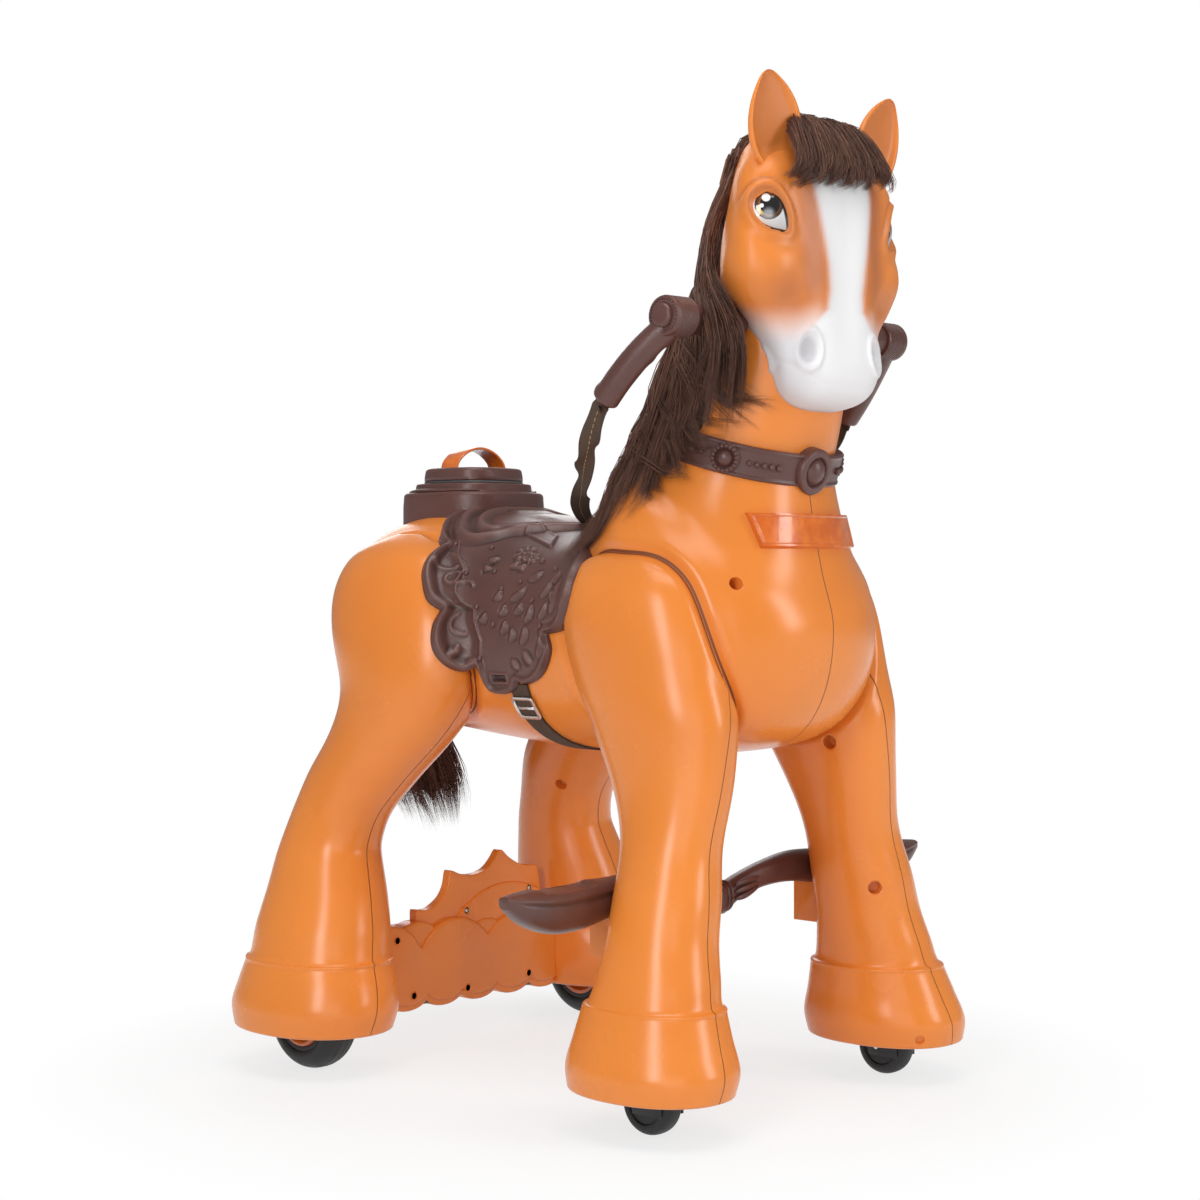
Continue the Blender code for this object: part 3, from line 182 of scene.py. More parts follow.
# %% Finishes
class Finish:
    """A Principled material whose varying inputs are fed by wires."""

    def __init__(self, name, **constants):
        self.material = bpy.data.materials.new(name)
        self.material.use_nodes = True
        self.tree = self.material.node_tree
        self.shader = self.tree.nodes["Principled BSDF"]
        for socket, value in constants.items():
            self.shader.inputs[socket.replace("_", " ")].default_value = value

    def node(self, kind, settings, inputs, output=0):
        made = self.tree.nodes.new(kind)
        for key, value in settings.items():
            setattr(made, key, value)
        for key, value in (inputs.items() if isinstance(inputs, dict) else enumerate(inputs)):
            if isinstance(value, Wire):
                self.tree.links.new(value.socket, made.inputs[key])
            else:
                made.inputs[key].default_value = value
        return Wire(self, made.outputs[output])

    def place(self):
        """The point on the piece, in metres."""
        return self.node("ShaderNodeTexCoord", {}, {}, "Object")

    def flat(self):
        """The piece's own map."""
        return self.node("ShaderNodeUVMap", {"uv_map": "flat"}, {})

    def mark(self, name):
        """A number painted on the piece's points."""
        return self.node("ShaderNodeAttribute", {"attribute_name": name}, {}, "Fac")

    def painted(self, name):
        """A mark kept between 0 and 1."""
        return self.mark(name).most(0.0).least(1.0)

    def noise(self, scale, detail=2.0):
        """Noise of so many waves to the metre."""
        return self.node("ShaderNodeTexNoise", {}, {"Vector": self.place(), "Scale": scale, "Detail": detail})

    def mix(self, share, low, high):
        """Colour between two colours."""
        ends = [colour if isinstance(colour, Wire) else (*colour, 1.0) for colour in (low, high)]
        return self.node("ShaderNodeMix", {"data_type": "RGBA"}, {0: share, 6: ends[0], 7: ends[1]}, 2)

    def feed(self, **wires):
        for socket, wire in wires.items():
            self.tree.links.new(wire.socket, self.shader.inputs[socket.replace("_", " ")])

    def bump(self, height, depth):
        """Relief of the given depth in metres."""
        sockets = {"Height": height, "Distance": depth, "Strength": 1.0}
        self.feed(Normal=self.node("ShaderNodeBump", {}, sockets))


print("shader maths ready")

# %% [markdown]
# ## Orange moulding
#
# The shells are blow-moulded in orange and left glossy. Close by they show a faint orange-peel
# skin and slight changes of tone. Partings are drawn by a number on the points, `seam`, that says how
# far a point is from the parting plane, which stays sharp at any mesh size. It is 50 on the plane and
# changes by 1 for each millimetre, so that a piece without it, which reads 0, has no parting. `joint`
# does the same for the joints between mouldings. `paint_white` and `paint_brown` are the airbrush on
# the face. The grey mark is grey airbrush along the blaze and the top of the muzzle, and painted
# shade on the muzzle's sides, under the chin and in the nostrils. One more mark is painted shade
# only: it darkens the crease under the jaw and the floors of the screw wells.

# %% Orange moulding
ON_LINE = 50.0


def line_mark(distance):
    """Mark that draws a line where a distance is nothing."""
    return ON_LINE + 1000 * distance


def make_orange():
    finish = Finish("orange_moulding")
    tone = finish.noise(6.0, 3.0).rise(0.3, 0.7)
    colour = finish.mix(tone, (0.79, 0.232, 0.034), (0.85, 0.262, 0.043))
    brown = finish.painted("paint_brown")
    colour = finish.mix(brown, colour, (0.43, 0.130, 0.045))
    white = finish.painted("paint_white")
    # Grey on the face: partly airbrush, partly painted shade on the muzzle's sides, chin and nostrils.
    grey = finish.painted("grey_airbrush_and_shade")
    pale = finish.mix(grey, (0.90, 0.895, 0.90), (0.50, 0.475, 0.51))
    colour = finish.mix(white, colour, pale)
    seam = 1.0 - abs(finish.mark("seam") - ON_LINE).rise(0.25, 0.75)
    joint = 1.0 - abs(finish.mark("joint") - ON_LINE).rise(0.7, 1.7)
    # Dark partings and joints, plus painted shade in the crease under the jaw and on screw-well floors.
    dark = (seam * 0.85).most(joint * 0.9).most(finish.mark("painted_shade"))
    colour = finish.mix(dark.least(1.0), colour, (0.13, 0.026, 0.006))
    rough = finish.noise(18.0, 3.0) * 0.10 + 0.21 + finish.mark("matte") * 0.14
    finish.feed(Base_Color=colour, Roughness=rough + white * 0.06 + dark * 0.3)
    finish.bump(finish.noise(260.0, 2.0) * 0.07 - seam * 3.0, 0.0004)
    return finish.material


ORANGE = make_orange()
print("made", ORANGE.name)

# %% [markdown]
# ## Surfaces as grids
#
# A moulding such as a barrel, a leg or a head is a row of rings. `eased` puts smooth rows between
# the few that were measured, `blurred` takes the last kinks out so that long highlights run clean,
# and `Skin` keeps the ring points as one array. An array can be pushed along its own normals, which
# is how lips, lids, nostrils and grooves are worked into it.


# %% Grid tools
def eased(rows, steps):
    """Smooth rows between the given rows of numbers."""
    rows = np.asarray(rows, float)
    padded = np.vstack([rows[:1], rows, rows[-1:]])
    result = []
    for a, b, c, d in zip(padded, padded[1:], padded[2:], padded[3:]):
        for t in np.arange(steps) / steps:
            result.append(b + 0.5 * t * (c - a + t * (2 * a - 5 * b + 4 * c - d + t * (3 * (b - c) + d - a))))
    return np.array(result + [rows[-1]])


def blurred(rows, times, start=0):
    """Rows averaged with their neighbours, first and last row kept."""
    rows = rows.copy()
    for _ in range(times):
        rows[start + 1:-1] = 0.25 * rows[start:-2] + 0.5 * rows[start + 1:-1] + 0.25 * rows[start + 2:]
    return rows


def full_turn(count):
    """Even angles round a circle."""
    return math.tau * np.arange(count) / count


def squared(count, power):
    """Cosines and sines of a superellipse."""
    angle = full_turn(count)
    c, s = np.cos(angle), np.sin(angle)
    return np.sign(c) * np.abs(c) ** (2 / power), np.sign(s) * np.abs(s) ** (2 / power)


def smooth(value, low, high):
    """0 below low, 1 above high, smooth between."""
    t = np.clip((value - low) / (high - low), 0, 1)
    return t * t * (3 - 2 * t)


def hump(distance, width):
    """Bell curve of a distance."""
    return np.exp(-(distance / width) ** 2)


def unit(vectors):
    """Vectors of length 1 in the same directions."""
    vectors = np.asarray(vectors, float)
    return vectors / np.linalg.norm(vectors, axis=-1, keepdims=True)


def run_along(line):
    """Distance covered at each point of a line."""
    return np.concatenate([[0], np.cumsum(np.linalg.norm(np.diff(line, axis=0), axis=1))])


def read_off(table, at):
    """A table's columns at a value of its first one."""
    return [np.interp(at, table[:, 0], column) for column in table[:, 1:].T]


print("halfway up a step of 0 to 1:", smooth(0.5, 0, 1))


# %% Meshes and skins
def number_points(mesh, key, values):
    """Give every point of a mesh a number."""
    layer = mesh.attributes.new(key, "FLOAT", "POINT")
    layer.data.foreach_set("value", np.asarray(values, np.float32).ravel())


def lay_flat(piece, flats):
    """Give a piece its own map, one place for each point."""
    chart = piece.data.uv_layers.new(name="flat")
    for loop in piece.data.loops:
        chart.data[loop.index].uv = flats[loop.vertex_index]


def mesh_piece(name, points, faces, finish, body="horse", marks=None, sharp=None):
    """Object from points and faces, smooth, with numbers on its points."""
    mesh = bpy.data.meshes.new(name)
    mesh.from_pydata(np.asarray(points, float).reshape(-1, 3).tolist(), [], faces)
    mesh.materials.append(finish)
    mesh.shade_smooth()
    if sharp:
        mesh.set_sharp_from_angle(angle=math.radians(sharp))
    for key, values in (marks or {}).items():
        number_points(mesh, key, values)
    piece = added(name, mesh)
    if body:
        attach(piece, body)
    return piece


class Skin:
    """Rings of points that close on themselves."""

    def __init__(self, rings):
        self.points = np.asarray(rings, float)
        self.marks = {}

    def faces(self, ends=True):
        rows, count = self.points.shape[:2]
        low = np.arange(rows - 1)[:, None] * count + np.arange(count)[None, :]
        high = np.arange(rows - 1)[:, None] * count + (np.arange(count)[None, :] + 1) % count
        quads = np.stack([low, high, high + count, low + count], -1).reshape(-1, 4).tolist()
        if ends:
            quads.append(list(range(count))[::-1])
            quads.append(list(range((rows - 1) * count, rows * count)))
        return quads

    def normals(self):
        along = np.gradient(self.points, axis=0)
        around = np.roll(self.points, -1, 1) - np.roll(self.points, 1, 1)
        normal = np.cross(around, along)
        return normal / np.maximum(np.linalg.norm(normal, axis=2, keepdims=True), 1e-9)

    def outward(self):
        """Normals that point away from each ring's middle."""
        normal = self.normals()
        away = self.points - self.points.mean(axis=1, keepdims=True)
        return normal * np.sign((normal * away).sum(axis=(1, 2)).sum())

    def push(self, amount):
        self.points = self.points + self.outward() * amount[..., None]

    def mark(self, key, values):
        self.marks[key] = np.maximum(self.marks.get(key, -1000.0), values)

    def tree(self):
        return BVHTree.FromPolygons(self.points.reshape(-1, 3).tolist(), self.faces())

    def piece(self, name, finish, body="horse", sharp=None):
        return tidy(mesh_piece(name, self.points, self.faces(), finish, body, self.marks, sharp))


@contextmanager
def edited(mesh):
    """A mesh opened for edits, which are then written back."""
    shape = bmesh.new()
    shape.from_mesh(mesh)
    yield shape
    shape.to_mesh(mesh)
    shape.free()


def tidy(piece):
    """Merge doubled points and turn every face outward."""
    with edited(piece.data) as shape:
        bmesh.ops.remove_doubles(shape, verts=shape.verts, dist=1e-6)
        bmesh.ops.recalc_face_normals(shape, faces=shape.faces)
    return piece


def crisp(piece, angle):
    """Tidy piece whose edges past an angle stay sharp."""
    tidy(piece).data.set_sharp_from_angle(angle=math.radians(angle))
    return piece


def distance_to(skin, points, near=0.022):
    """Distance of points to another skin, whose sign tells its two sides apart, up to near."""
    tree = skin.tree()

    def signed(point):
        hit, normal, _, away = tree.find_nearest(Vector(point))
        return math.copysign(away, (Vector(point) - hit).dot(normal))

    flat = points.reshape(-1, 3)
    low = skin.points.min(axis=(0, 1)) - near
    high = skin.points.max(axis=(0, 1)) + near
    result = np.full(len(flat), math.copysign(near, signed(high + 1.0)))
    for i in np.flatnonzero(((flat > low) & (flat < high)).all(axis=1)):
        result[i] = signed(flat[i])
    return np.clip(result, -near, near).reshape(points.shape[:-1])


def girth(top, bottom, half_width, power, count, grow=0.0, egg=0.0):
    """Ring through two points on the mid-plane, wider towards the first by egg."""
    u, v = squared(count, power)
    middle = (top + bottom) / 2
    reach = (top - bottom) / 2
    length = np.linalg.norm(reach)
    ring = middle + reach / length * (length + grow) * u[:, None]
    ring[:, 1] += (half_width * (1 + egg * u) + grow) * v
    return ring


print("grid tools ready")

# %% [markdown]
# ## Barrel, chest and neck
#
# The body is one long form from the rump to the collar: its rings start upright at the rump and
# fan round the withers until they lie across the neck. The rows are shares of the body's length,
# width and depth. On the real toy two mouldings meet on the mid-plane, so the skin carries its
# distance from that plane as a parting.

# %% Barrel
RUMP_X = -0.3198
BODY_LENGTH = 0.665
BODY_WIDTH = 0.326
BODY_DEPTH = 0.260
BELLY_Z = 0.362
BACK_Z = BELLY_Z + BODY_DEPTH
BODY_POWER = 2.4
# Back's place ahead and up, belly's or chest's place ahead and up, and width.
TORSO = ((0.000, 0.530, 0.000, 0.415, 0.18), (0.024, 0.770, 0.020, 0.240, 0.61),
         (0.091, 0.958, 0.080, 0.127, 0.89), (0.206, 1.026, 0.192, 0.070, 1.00),
         (0.358, 0.975, 0.358, 0.023, 0.99), (0.508, 0.915, 0.508, 0.000, 0.97),
         (0.606, 0.930, 0.659, 0.000, 0.97), (0.641, 1.010, 0.809, 0.015, 0.99),
         (0.656, 1.108, 0.922, 0.085, 0.99), (0.662, 1.190, 0.980, 0.270, 0.96),
         (0.665, 1.260, 0.998, 0.530, 0.85), (0.668, 1.310, 0.976, 0.742, 0.70),
         (0.672, 1.342, 0.956, 0.973, 0.62), (0.676, 1.365, 0.946, 1.160, 0.575))


def torso_point(x, z):
    return np.array([RUMP_X + x * BODY_LENGTH, 0.0, BELLY_Z + z * BODY_DEPTH])


def torso(steps=22, count=288):
    """Barrel, chest and lower neck, with a rounded rump."""
    rings = [girth(torso_point(a, b), torso_point(c, d), w * BODY_WIDTH / 2, BODY_POWER, count)
             for a, b, c, d, w in blurred(eased(TORSO, steps), 18)]
    middle = rings[0].mean(axis=0)
    rump = [middle + (rings[0] - middle) * share + (share - 1) * np.array([0.008, 0, 0])
            for share in (0.05, 0.5, 0.8)]
    return Skin(rump + rings)


COLLAR_ROW = TORSO[-1]
COLLAR_BACK = torso_point(*COLLAR_ROW[:2])
COLLAR_FRONT = torso_point(*COLLAR_ROW[2:4])
COLLAR_MID = (COLLAR_BACK + COLLAR_FRONT) / 2
COLLAR_HALF_WIDTH = COLLAR_ROW[4] * BODY_WIDTH / 2
COLLAR_UP = unit(np.cross((0, 1, 0), COLLAR_BACK - COLLAR_FRONT))
barrel = torso()
print("barrel of", barrel.points.shape[0], "rings, collar at", np.round(COLLAR_MID, 4))

# %% [markdown]
# ## Legs
#
# Each leg is a stack of level rings from the hoof's rim to the shoulder or hip. Below the rim the
# rings turn in and run up inside the hoof again, because the wheel sits in a hollow there. The rows
# give the height, how far forward and out the ring lies, and its half sizes.

# %% Legs
FRONT_LEG = ((0.000, 0.000, 0.000, 0.97, 0.96), (0.040, 0.000, -0.002, 1.00, 1.00),
             (0.092, -0.002, -0.005, 0.91, 0.92), (0.139, -0.004, -0.009, 0.83, 0.85),
             (0.148, -0.004, -0.010, 0.82, 0.84), (0.158, -0.004, -0.011, 0.75, 0.78),
             (0.201, -0.004, -0.016, 0.69, 0.75), (0.266, -0.006, -0.024, 0.61, 0.71),
             (0.339, -0.008, -0.033, 0.60, 0.70), (0.430, -0.013, -0.045, 0.56, 0.63),
             (0.522, -0.019, -0.055, 0.69, 0.65), (0.604, -0.030, -0.060, 0.83, 0.71),
             (0.678, -0.040, -0.061, 0.94, 0.75), (0.751, -0.056, -0.059, 0.99, 0.73),
             (0.842, -0.068, -0.056, 0.99, 0.70), (0.916, -0.074, -0.055, 0.88, 0.63),
             (0.961, -0.078, -0.058, 0.69, 0.49), (0.989, -0.080, -0.061, 0.43, 0.30),
             (1.000, -0.081, -0.062, 0.13, 0.11))
REAR_LEG = ((0.000, 0.000, 0.000, 0.95, 0.96), (0.040, 0.000, -0.002, 1.00, 1.00),
            (0.084, 0.001, -0.005, 0.95, 0.96), (0.124, 0.000, -0.008, 0.87, 0.91),
            (0.133, 0.000, -0.009, 0.87, 0.91), (0.143, 0.000, -0.010, 0.82, 0.86),
            (0.202, -0.002, -0.016, 0.78, 0.83), (0.269, -0.005, -0.024, 0.70, 0.75),
            (0.333, -0.009, -0.030, 0.61, 0.68), (0.367, -0.009, -0.034, 0.58, 0.64),
            (0.422, 0.000, -0.040, 0.58, 0.62), (0.466, 0.014, -0.046, 0.64, 0.64),
            (0.520, 0.034, -0.053, 0.72, 0.67), (0.587, 0.066, -0.059, 0.80, 0.69),
            (0.678, 0.093, -0.064, 0.89, 0.74), (0.775, 0.085, -0.065, 0.99, 0.74),
            (0.866, 0.072, -0.071, 0.97, 0.70), (0.938, 0.065, -0.079, 0.81, 0.58),
            (0.975, 0.064, -0.084, 0.56, 0.39), (1.000, 0.064, -0.088, 0.15, 0.12))
FRONT_HOOF = np.array([0.2662, 0.194, 0.046])
REAR_HOOF = np.array([-0.2188, 0.224, 0.051])
ROW_STEPS = 10
FETLOCK_ROW = 6
PARTING_ROW = 11
RIM_TURN = 0.005
RIM_DROP = 0.004
HOOF_WALL = 0.0045
HOLLOW_HEIGHTS = (0.004, 0.03, 0.06, 0.088)


class Leg:
    """One kind of leg, with its parting plane."""

    def __init__(self, rows, hoof, half_length, half_width, top):
        self.hoof = hoof
        self.half = (half_length, half_width)
        self.rise = top - hoof[2]
        self.rows = blurred(eased(rows, ROW_STEPS), 20, start=ROW_STEPS * FETLOCK_ROW)
        self.tilt = math.atan2(-rows[PARTING_ROW][2], rows[PARTING_ROW][0] * self.rise)

    def ring(self, row, side, count, grow=0.0):
        height, forward, outward, half_length, half_width = row
        u, v = squared(count, 2.2)
        x = self.hoof[0] + forward + (half_length * self.half[0] + grow) * u
        y = side * (self.hoof[1] + outward + (half_width * self.half[1] + grow) * v)
        return np.stack([x, y, np.full(count, self.hoof[2] + height * self.rise)], -1)

    def skin(self, side, count=160):
        """Outside, rounded rim and hollow of the hoof."""
        turn = []
        for angle in np.linspace(0, math.pi / 2, 5)[1:]:
            ring = self.ring(self.rows[0], side, count, -RIM_TURN * (1 - math.cos(angle)))
            turn.append(ring - (0, 0, RIM_DROP * math.sin(angle)))
        inside = []
        for height in HOLLOW_HEIGHTS:
            row = self.rows[np.argmin(np.abs(self.rows[:, 0] * self.rise - height))]
            inside.append(self.ring(row, side, count, -HOOF_WALL))
        middle = inside[-1].mean(axis=0)
        inside.append(middle + (inside[-1] - middle) * 0.02)
        return Skin(inside[::-1] + turn[::-1] + [self.ring(row, side, count) for row in self.rows])

    def parting(self, side, points):
        """Distance from the parting plane, which leans with the leg."""
        return (math.cos(self.tilt) * (side * points[..., 1] - self.hoof[1])
                + math.sin(self.tilt) * (points[..., 2] - self.hoof[2]))


LEG_KINDS = {"front": Leg(FRONT_LEG, FRONT_HOOF, 0.093, 0.073, BELLY_Z + 0.224),
             "rear": Leg(REAR_LEG, REAR_HOOF, 0.103, 0.081, BELLY_Z + 0.238)}
LEGS = {(kind, side): leg.skin(side) for kind, leg in LEG_KINDS.items() for _, side in SIDES}
print("leg rings", {key: skin.points.shape[0] for key, skin in LEGS.items()})

# %% [markdown]
# ## Deep joints
#
# Where a leg's moulding meets the barrel there is a rounded step with a dark joint. Both skins know
# how far each of their points lies from the other, so both are drawn in along that line and a little
# swollen beside it, as a rolled edge.

# %% Deep joints between barrel and legs
def roll_in(skin, distance, depth=0.0036, width=0.0050):
    """Draw a skin in where another one comes through it."""
    near = np.abs(distance)
    skin.mark("joint", line_mark(distance))
    skin.push(-depth * hump(near, width) + 0.0008 * hump(near - 2.2 * width, width))


barrel_tree = barrel.tree()
leg_trees = {key: skin.tree() for key, skin in LEGS.items()}
gaps = np.array([distance_to(skin, barrel.points) for skin in LEGS.values()])
barrel_gap = np.take_along_axis(gaps, np.abs(gaps).argmin(axis=0)[None], axis=0)[0]
leg_gaps = {key: distance_to(barrel, skin.points) for key, skin in LEGS.items()}
for (kind, side), skin in LEGS.items():
    skin.mark("seam", line_mark(LEG_KINDS[kind].parting(side, skin.points)))
    roll_in(skin, leg_gaps[kind, side])
barrel.mark("seam", line_mark(barrel.points[..., 1]))
roll_in(barrel, barrel_gap)
print("joint points on the barrel:", int((np.abs(barrel_gap) < 0.004).sum()))

# %% [markdown]
# ## Head and face
#
# The head is a stack of level rings from the chin to the poll, and the upper neck runs up into it.
# The face is then worked in like clay: brows and lids round the eyes, a soft hollow under the
# cheekbone, raised nostrils with a dip in each, and a mouth line. Paint goes on as numbers on the
# points: a white blaze that opens into a white muzzle, and brown airbrush beside it.

# %% Head and neck skins
NECK = ((-0.0725, 0.0745, 0.1045, 0.0245, 0.090), (-0.0440, 0.1245, 0.1175, 0.0845, 0.079),
        (-0.0190, 0.1745, 0.1225, 0.1395, 0.070), (0.0100, 0.2195, 0.1175, 0.1995, 0.052))
HEAD = (
    (0.034, 0.820, 0.695, 0.17, 0.20), (0.060, 0.925, 0.635, 0.37, 0.35), (0.104, 0.985, 0.585, 0.50, 0.40),
    (0.172, 1.010, 0.550, 0.56, 0.45), (0.243, 1.000, 0.485, 0.59, 0.48), (0.310, 0.990, 0.360, 0.68, 0.48),
    (0.393, 0.990, 0.250, 0.80, 0.55), (0.493, 0.995, 0.230, 0.85, 0.60), (0.627, 0.995, 0.250, 0.85, 0.60),
    (0.760, 0.980, 0.310, 0.81, 0.58), (0.877, 0.925, 0.360, 0.69, 0.50), (0.960, 0.800, 0.420, 0.48, 0.35),
    (1.000, 0.660, 0.520, 0.19, 0.10))
FACE_X = COLLAR_MID[0] + 0.1405
CHIN_Z = COLLAR_MID[2] + 0.0215
HEAD_LENGTH = 0.200
HEAD_WIDTH = 0.234
HEAD_HEIGHT = 0.300
HEAD_POWER = 2.5
NECK_SUNK = 0.012


def make_neck(count=120):
    back, front, sunk = [way[[0, 2]] for way in (COLLAR_BACK - COLLAR_MID, COLLAR_FRONT - COLLAR_MID,
                                                 COLLAR_UP * NECK_SUNK)]
    rows = [(*(back - sunk), *(front - sunk), COLLAR_HALF_WIDTH), (*back, *front, COLLAR_HALF_WIDTH), *NECK]
    rings = [girth(COLLAR_MID + (a, 0, b), COLLAR_MID + (c, 0, d), w, BODY_POWER, count)
             for a, b, c, d, w in blurred(eased(rows, 10), 8)]
    return Skin(rings)


def make_head(steps=16, count=240):
    rings = []
    for height, front, back, half_width, egg in blurred(eased(HEAD, steps), 10):
        z = CHIN_Z + height * HEAD_HEIGHT
        top = np.array([FACE_X - HEAD_LENGTH * (1 - front), 0, z])
        low = np.array([FACE_X - HEAD_LENGTH * (1 - back), 0, z])
        rings.append(girth(top, low, half_width * HEAD_WIDTH / 2, HEAD_POWER, count, egg=egg))
    ends = []
    for ring, lift in ((rings[0], -1), (rings[-1], 1)):
        middle = ring.mean(axis=0)
        ends.append([middle + (ring - middle) * share + (0, 0, lift * 0.004 * (1 - share ** 2))
                     for share in (0.03, 0.4, 0.7, 0.88)])
    return Skin(ends[0] + rings + ends[1][::-1])


neck = make_neck()
head = make_head()
print("head points", head.points.shape, "neck points", neck.points.shape)

# %% Eyes: where they look and how they are cut
EYE_CENTRE = np.array([0.343, 0.096, 0.912])
EYE_LOOK = unit((0.70, 0.71, 0.05))
EYE_AHEAD = np.array([0.7121, -0.7021, 0.0])
EYE_UP = np.cross(EYE_AHEAD, EYE_LOOK)
ALMOND = ((13.5, -13.5), (12.8, -4.0), (10.6, 5.0), (6.6, 14.5), (0.5, 22.5), (-6.5, 26.0), (-14.0, 25.0),
          (-20.5, 20.0), (-24.0, 12.3), (-22.4, 3.5), (-17.1, -4.0), (-9.5, -9.5), (-1.6, -12.4),
          (6.5, -13.6))


def closed_curve(points, steps):
    """Smooth closed line through points."""
    points = list(points)
    return eased(points[-2:] + points + points[:3], steps)[2 * steps:-2 * steps - 1]


ALMOND_LINE = closed_curve(ALMOND, 6) / 1000


def eye_flat(points, side):
    """Ahead, up and outward distance from the eye's middle."""
    away = points * (1, side, 1) - EYE_CENTRE
    return away @ EYE_AHEAD, away @ EYE_UP, away @ EYE_LOOK


def inside_line(u, v, line):
    """Distance into a closed outline, negative outside it."""
    flat = np.stack([np.ravel(u), np.ravel(v)], -1)
    nearest = np.full(len(flat), 1e9)
    crossings = np.zeros(len(flat), int)
    for (ax, ay), (bx, by) in zip(line, np.roll(line, -1, axis=0)):
        edge = np.array([bx - ax, by - ay])
        t = np.clip(((flat - (ax, ay)) @ edge) / max(edge @ edge, 1e-18), 0, 1)
        nearest = np.minimum(nearest, np.linalg.norm(flat - (ax, ay) - t[:, None] * edge, axis=1))
        crosses = (ay > flat[:, 1]) != (by > flat[:, 1])
        at = ax + (flat[:, 1] - ay) * (bx - ax) / (by - ay if by != ay else 1e-12)
        crossings += crosses & (flat[:, 0] < at)
    return np.where(crossings % 2 == 1, nearest, -nearest).reshape(np.shape(u))


print("eye outline of", len(ALMOND_LINE), "points, up", np.round(EYE_UP, 3))

# %% Work the face
# Height of each rise or hollow, its place and spread across, and its place and spread upright.
FACE_FORMS = ((0.0022, 0.036, 0.026, 0.860, 0.085), (-0.0060, 0.076, 0.024, 0.825, 0.030),
              (0.0050, 0.092, 0.028, 0.862, 0.020), (-0.0030, 0.060, 0.018, 0.900, 0.032))
NOSTRIL_Y = 0.0545
NOSTRIL_Z = 0.7815
MOUTH_Z = 0.748


def work_face(skin):
    """Push the head's skin into a face, and paint it."""
    x, y, z = np.moveaxis(skin.points, -1, 0)
    front = smooth(x, 0.24, 0.30)
    width = np.abs(y)
    amount = np.zeros_like(x)
    for tall, across, wide, upright, high in FACE_FORMS:
        amount += tall * front * hump(width - across, wide) * hump(z - upright, high)
    amount += 0.0034 * hump(width - 0.098, 0.030) * hump(z - 0.958, 0.018) * smooth(x, 0.25, 0.31)
    skin.push(amount)
    amount = np.zeros_like(x)
    brown = 0.80 * front * hump(width - 0.050, 0.022) * smooth(z, 0.790, 0.86) * (1 - smooth(z, 0.955, 0.990))
    brown = np.maximum(brown, 0.62 * front * hump(width - 0.078, 0.034) * hump(z - 0.832, 0.030))
    for _, side in SIDES:
        ahead, up, out = eye_flat(skin.points, side)
        facing = (side * y > 0.03) & (np.abs(out) < 0.05)
        depth = np.where(facing, inside_line(ahead, up, ALMOND_LINE), -1.0)
        above = smooth(up + 0.35 * ahead, -0.004, 0.012)
        amount += (0.0007 + 0.0019 * above) * hump(depth + 0.0058, 0.0040)
        amount -= 0.0013 * hump(depth + 0.0118, 0.0024) * above
        amount -= 0.0012 * hump(depth + 0.0140, 0.0060) * (1 - above)
        amount -= 0.0075 * smooth(depth, -0.0032, 0.0006)
        brown = np.maximum(brown, 0.62 * hump(depth + 0.0025, 0.0022))
        brown = np.maximum(brown, 0.66 * hump(depth + 0.0118, 0.0018) * above)
        brown = np.maximum(brown, 0.36 * smooth(depth, -0.034, -0.006) * smooth(ahead, -0.03, 0.02))
        across = side * y - NOSTRIL_Y
        rise = z - NOSTRIL_Z
        nostril = np.sqrt((across / 0.92) ** 2 + ((rise + 0.25 * across) / 1.30) ** 2)
        near = smooth(x, 0.28, 0.32)
        amount += near * (0.0040 * hump(nostril - 0.0152, 0.0034) - 0.0085 * hump(nostril, 0.0105))
        # Painted shade: grey inside each nostril's dip.
        skin.mark("grey_airbrush_and_shade", 0.75 * near * (1 - smooth(nostril, 0.0080, 0.0142)))
    smile = z - (MOUTH_Z + 2.0 * np.maximum(width - 0.030, 0) ** 1.5)
    amount -= 0.0009 * hump(smile, 0.0034) * smooth(x, 0.30, 0.33)
    skin.push(amount)
    blaze = np.interp(z, (0.800, 0.824, 0.843, 0.867, 0.890, 0.914, 0.938, 0.965, 1.0),
                      (0.060, 0.030, 0.027, 0.030, 0.035, 0.040, 0.045, 0.048, 0.046))
    white = (1 - smooth(width, blaze - 0.007, blaze + 0.006)) * smooth(x, 0.305, 0.335)
    edge = 0.806 + 0.010 * hump(width - 0.045, 0.02) + 0.16 * np.maximum(0.335 - x, 0)
    muzzle = (1 - smooth(z, edge - 0.024, edge + 0.020)) * smooth(x, 0.240, 0.262)
    skin.mark("matte", np.ones_like(x))
    skin.mark("paint_white", np.maximum(white, muzzle))
    skin.mark("paint_brown", brown)
    chin = smooth(0.760 - z, 0.0, 0.04)
    # Painted shade: grey on the muzzle's sides and under the chin; grey airbrush along its top edge and the
    # blaze.
    skin.mark("grey_airbrush_and_shade", muzzle * (0.04 + 0.52 * smooth(width, 0.030, 0.080) + 0.30 * chin))
    skin.mark("grey_airbrush_and_shade", 0.34 * muzzle * hump(z - 0.802, 0.016) * smooth(width, 0.030, 0.050))
    skin.mark("grey_airbrush_and_shade", 0.22 * white * hump(width - blaze + 0.002, 0.010))


work_face(head)
# Painted shade: the head is darkened where it meets the neck, in the crease under the jaw.
head.mark("painted_shade", 0.35 * hump(distance_to(neck, head.points), 0.004))
print("white points on the face:", int((head.marks["paint_white"] > 0.5).sum()))

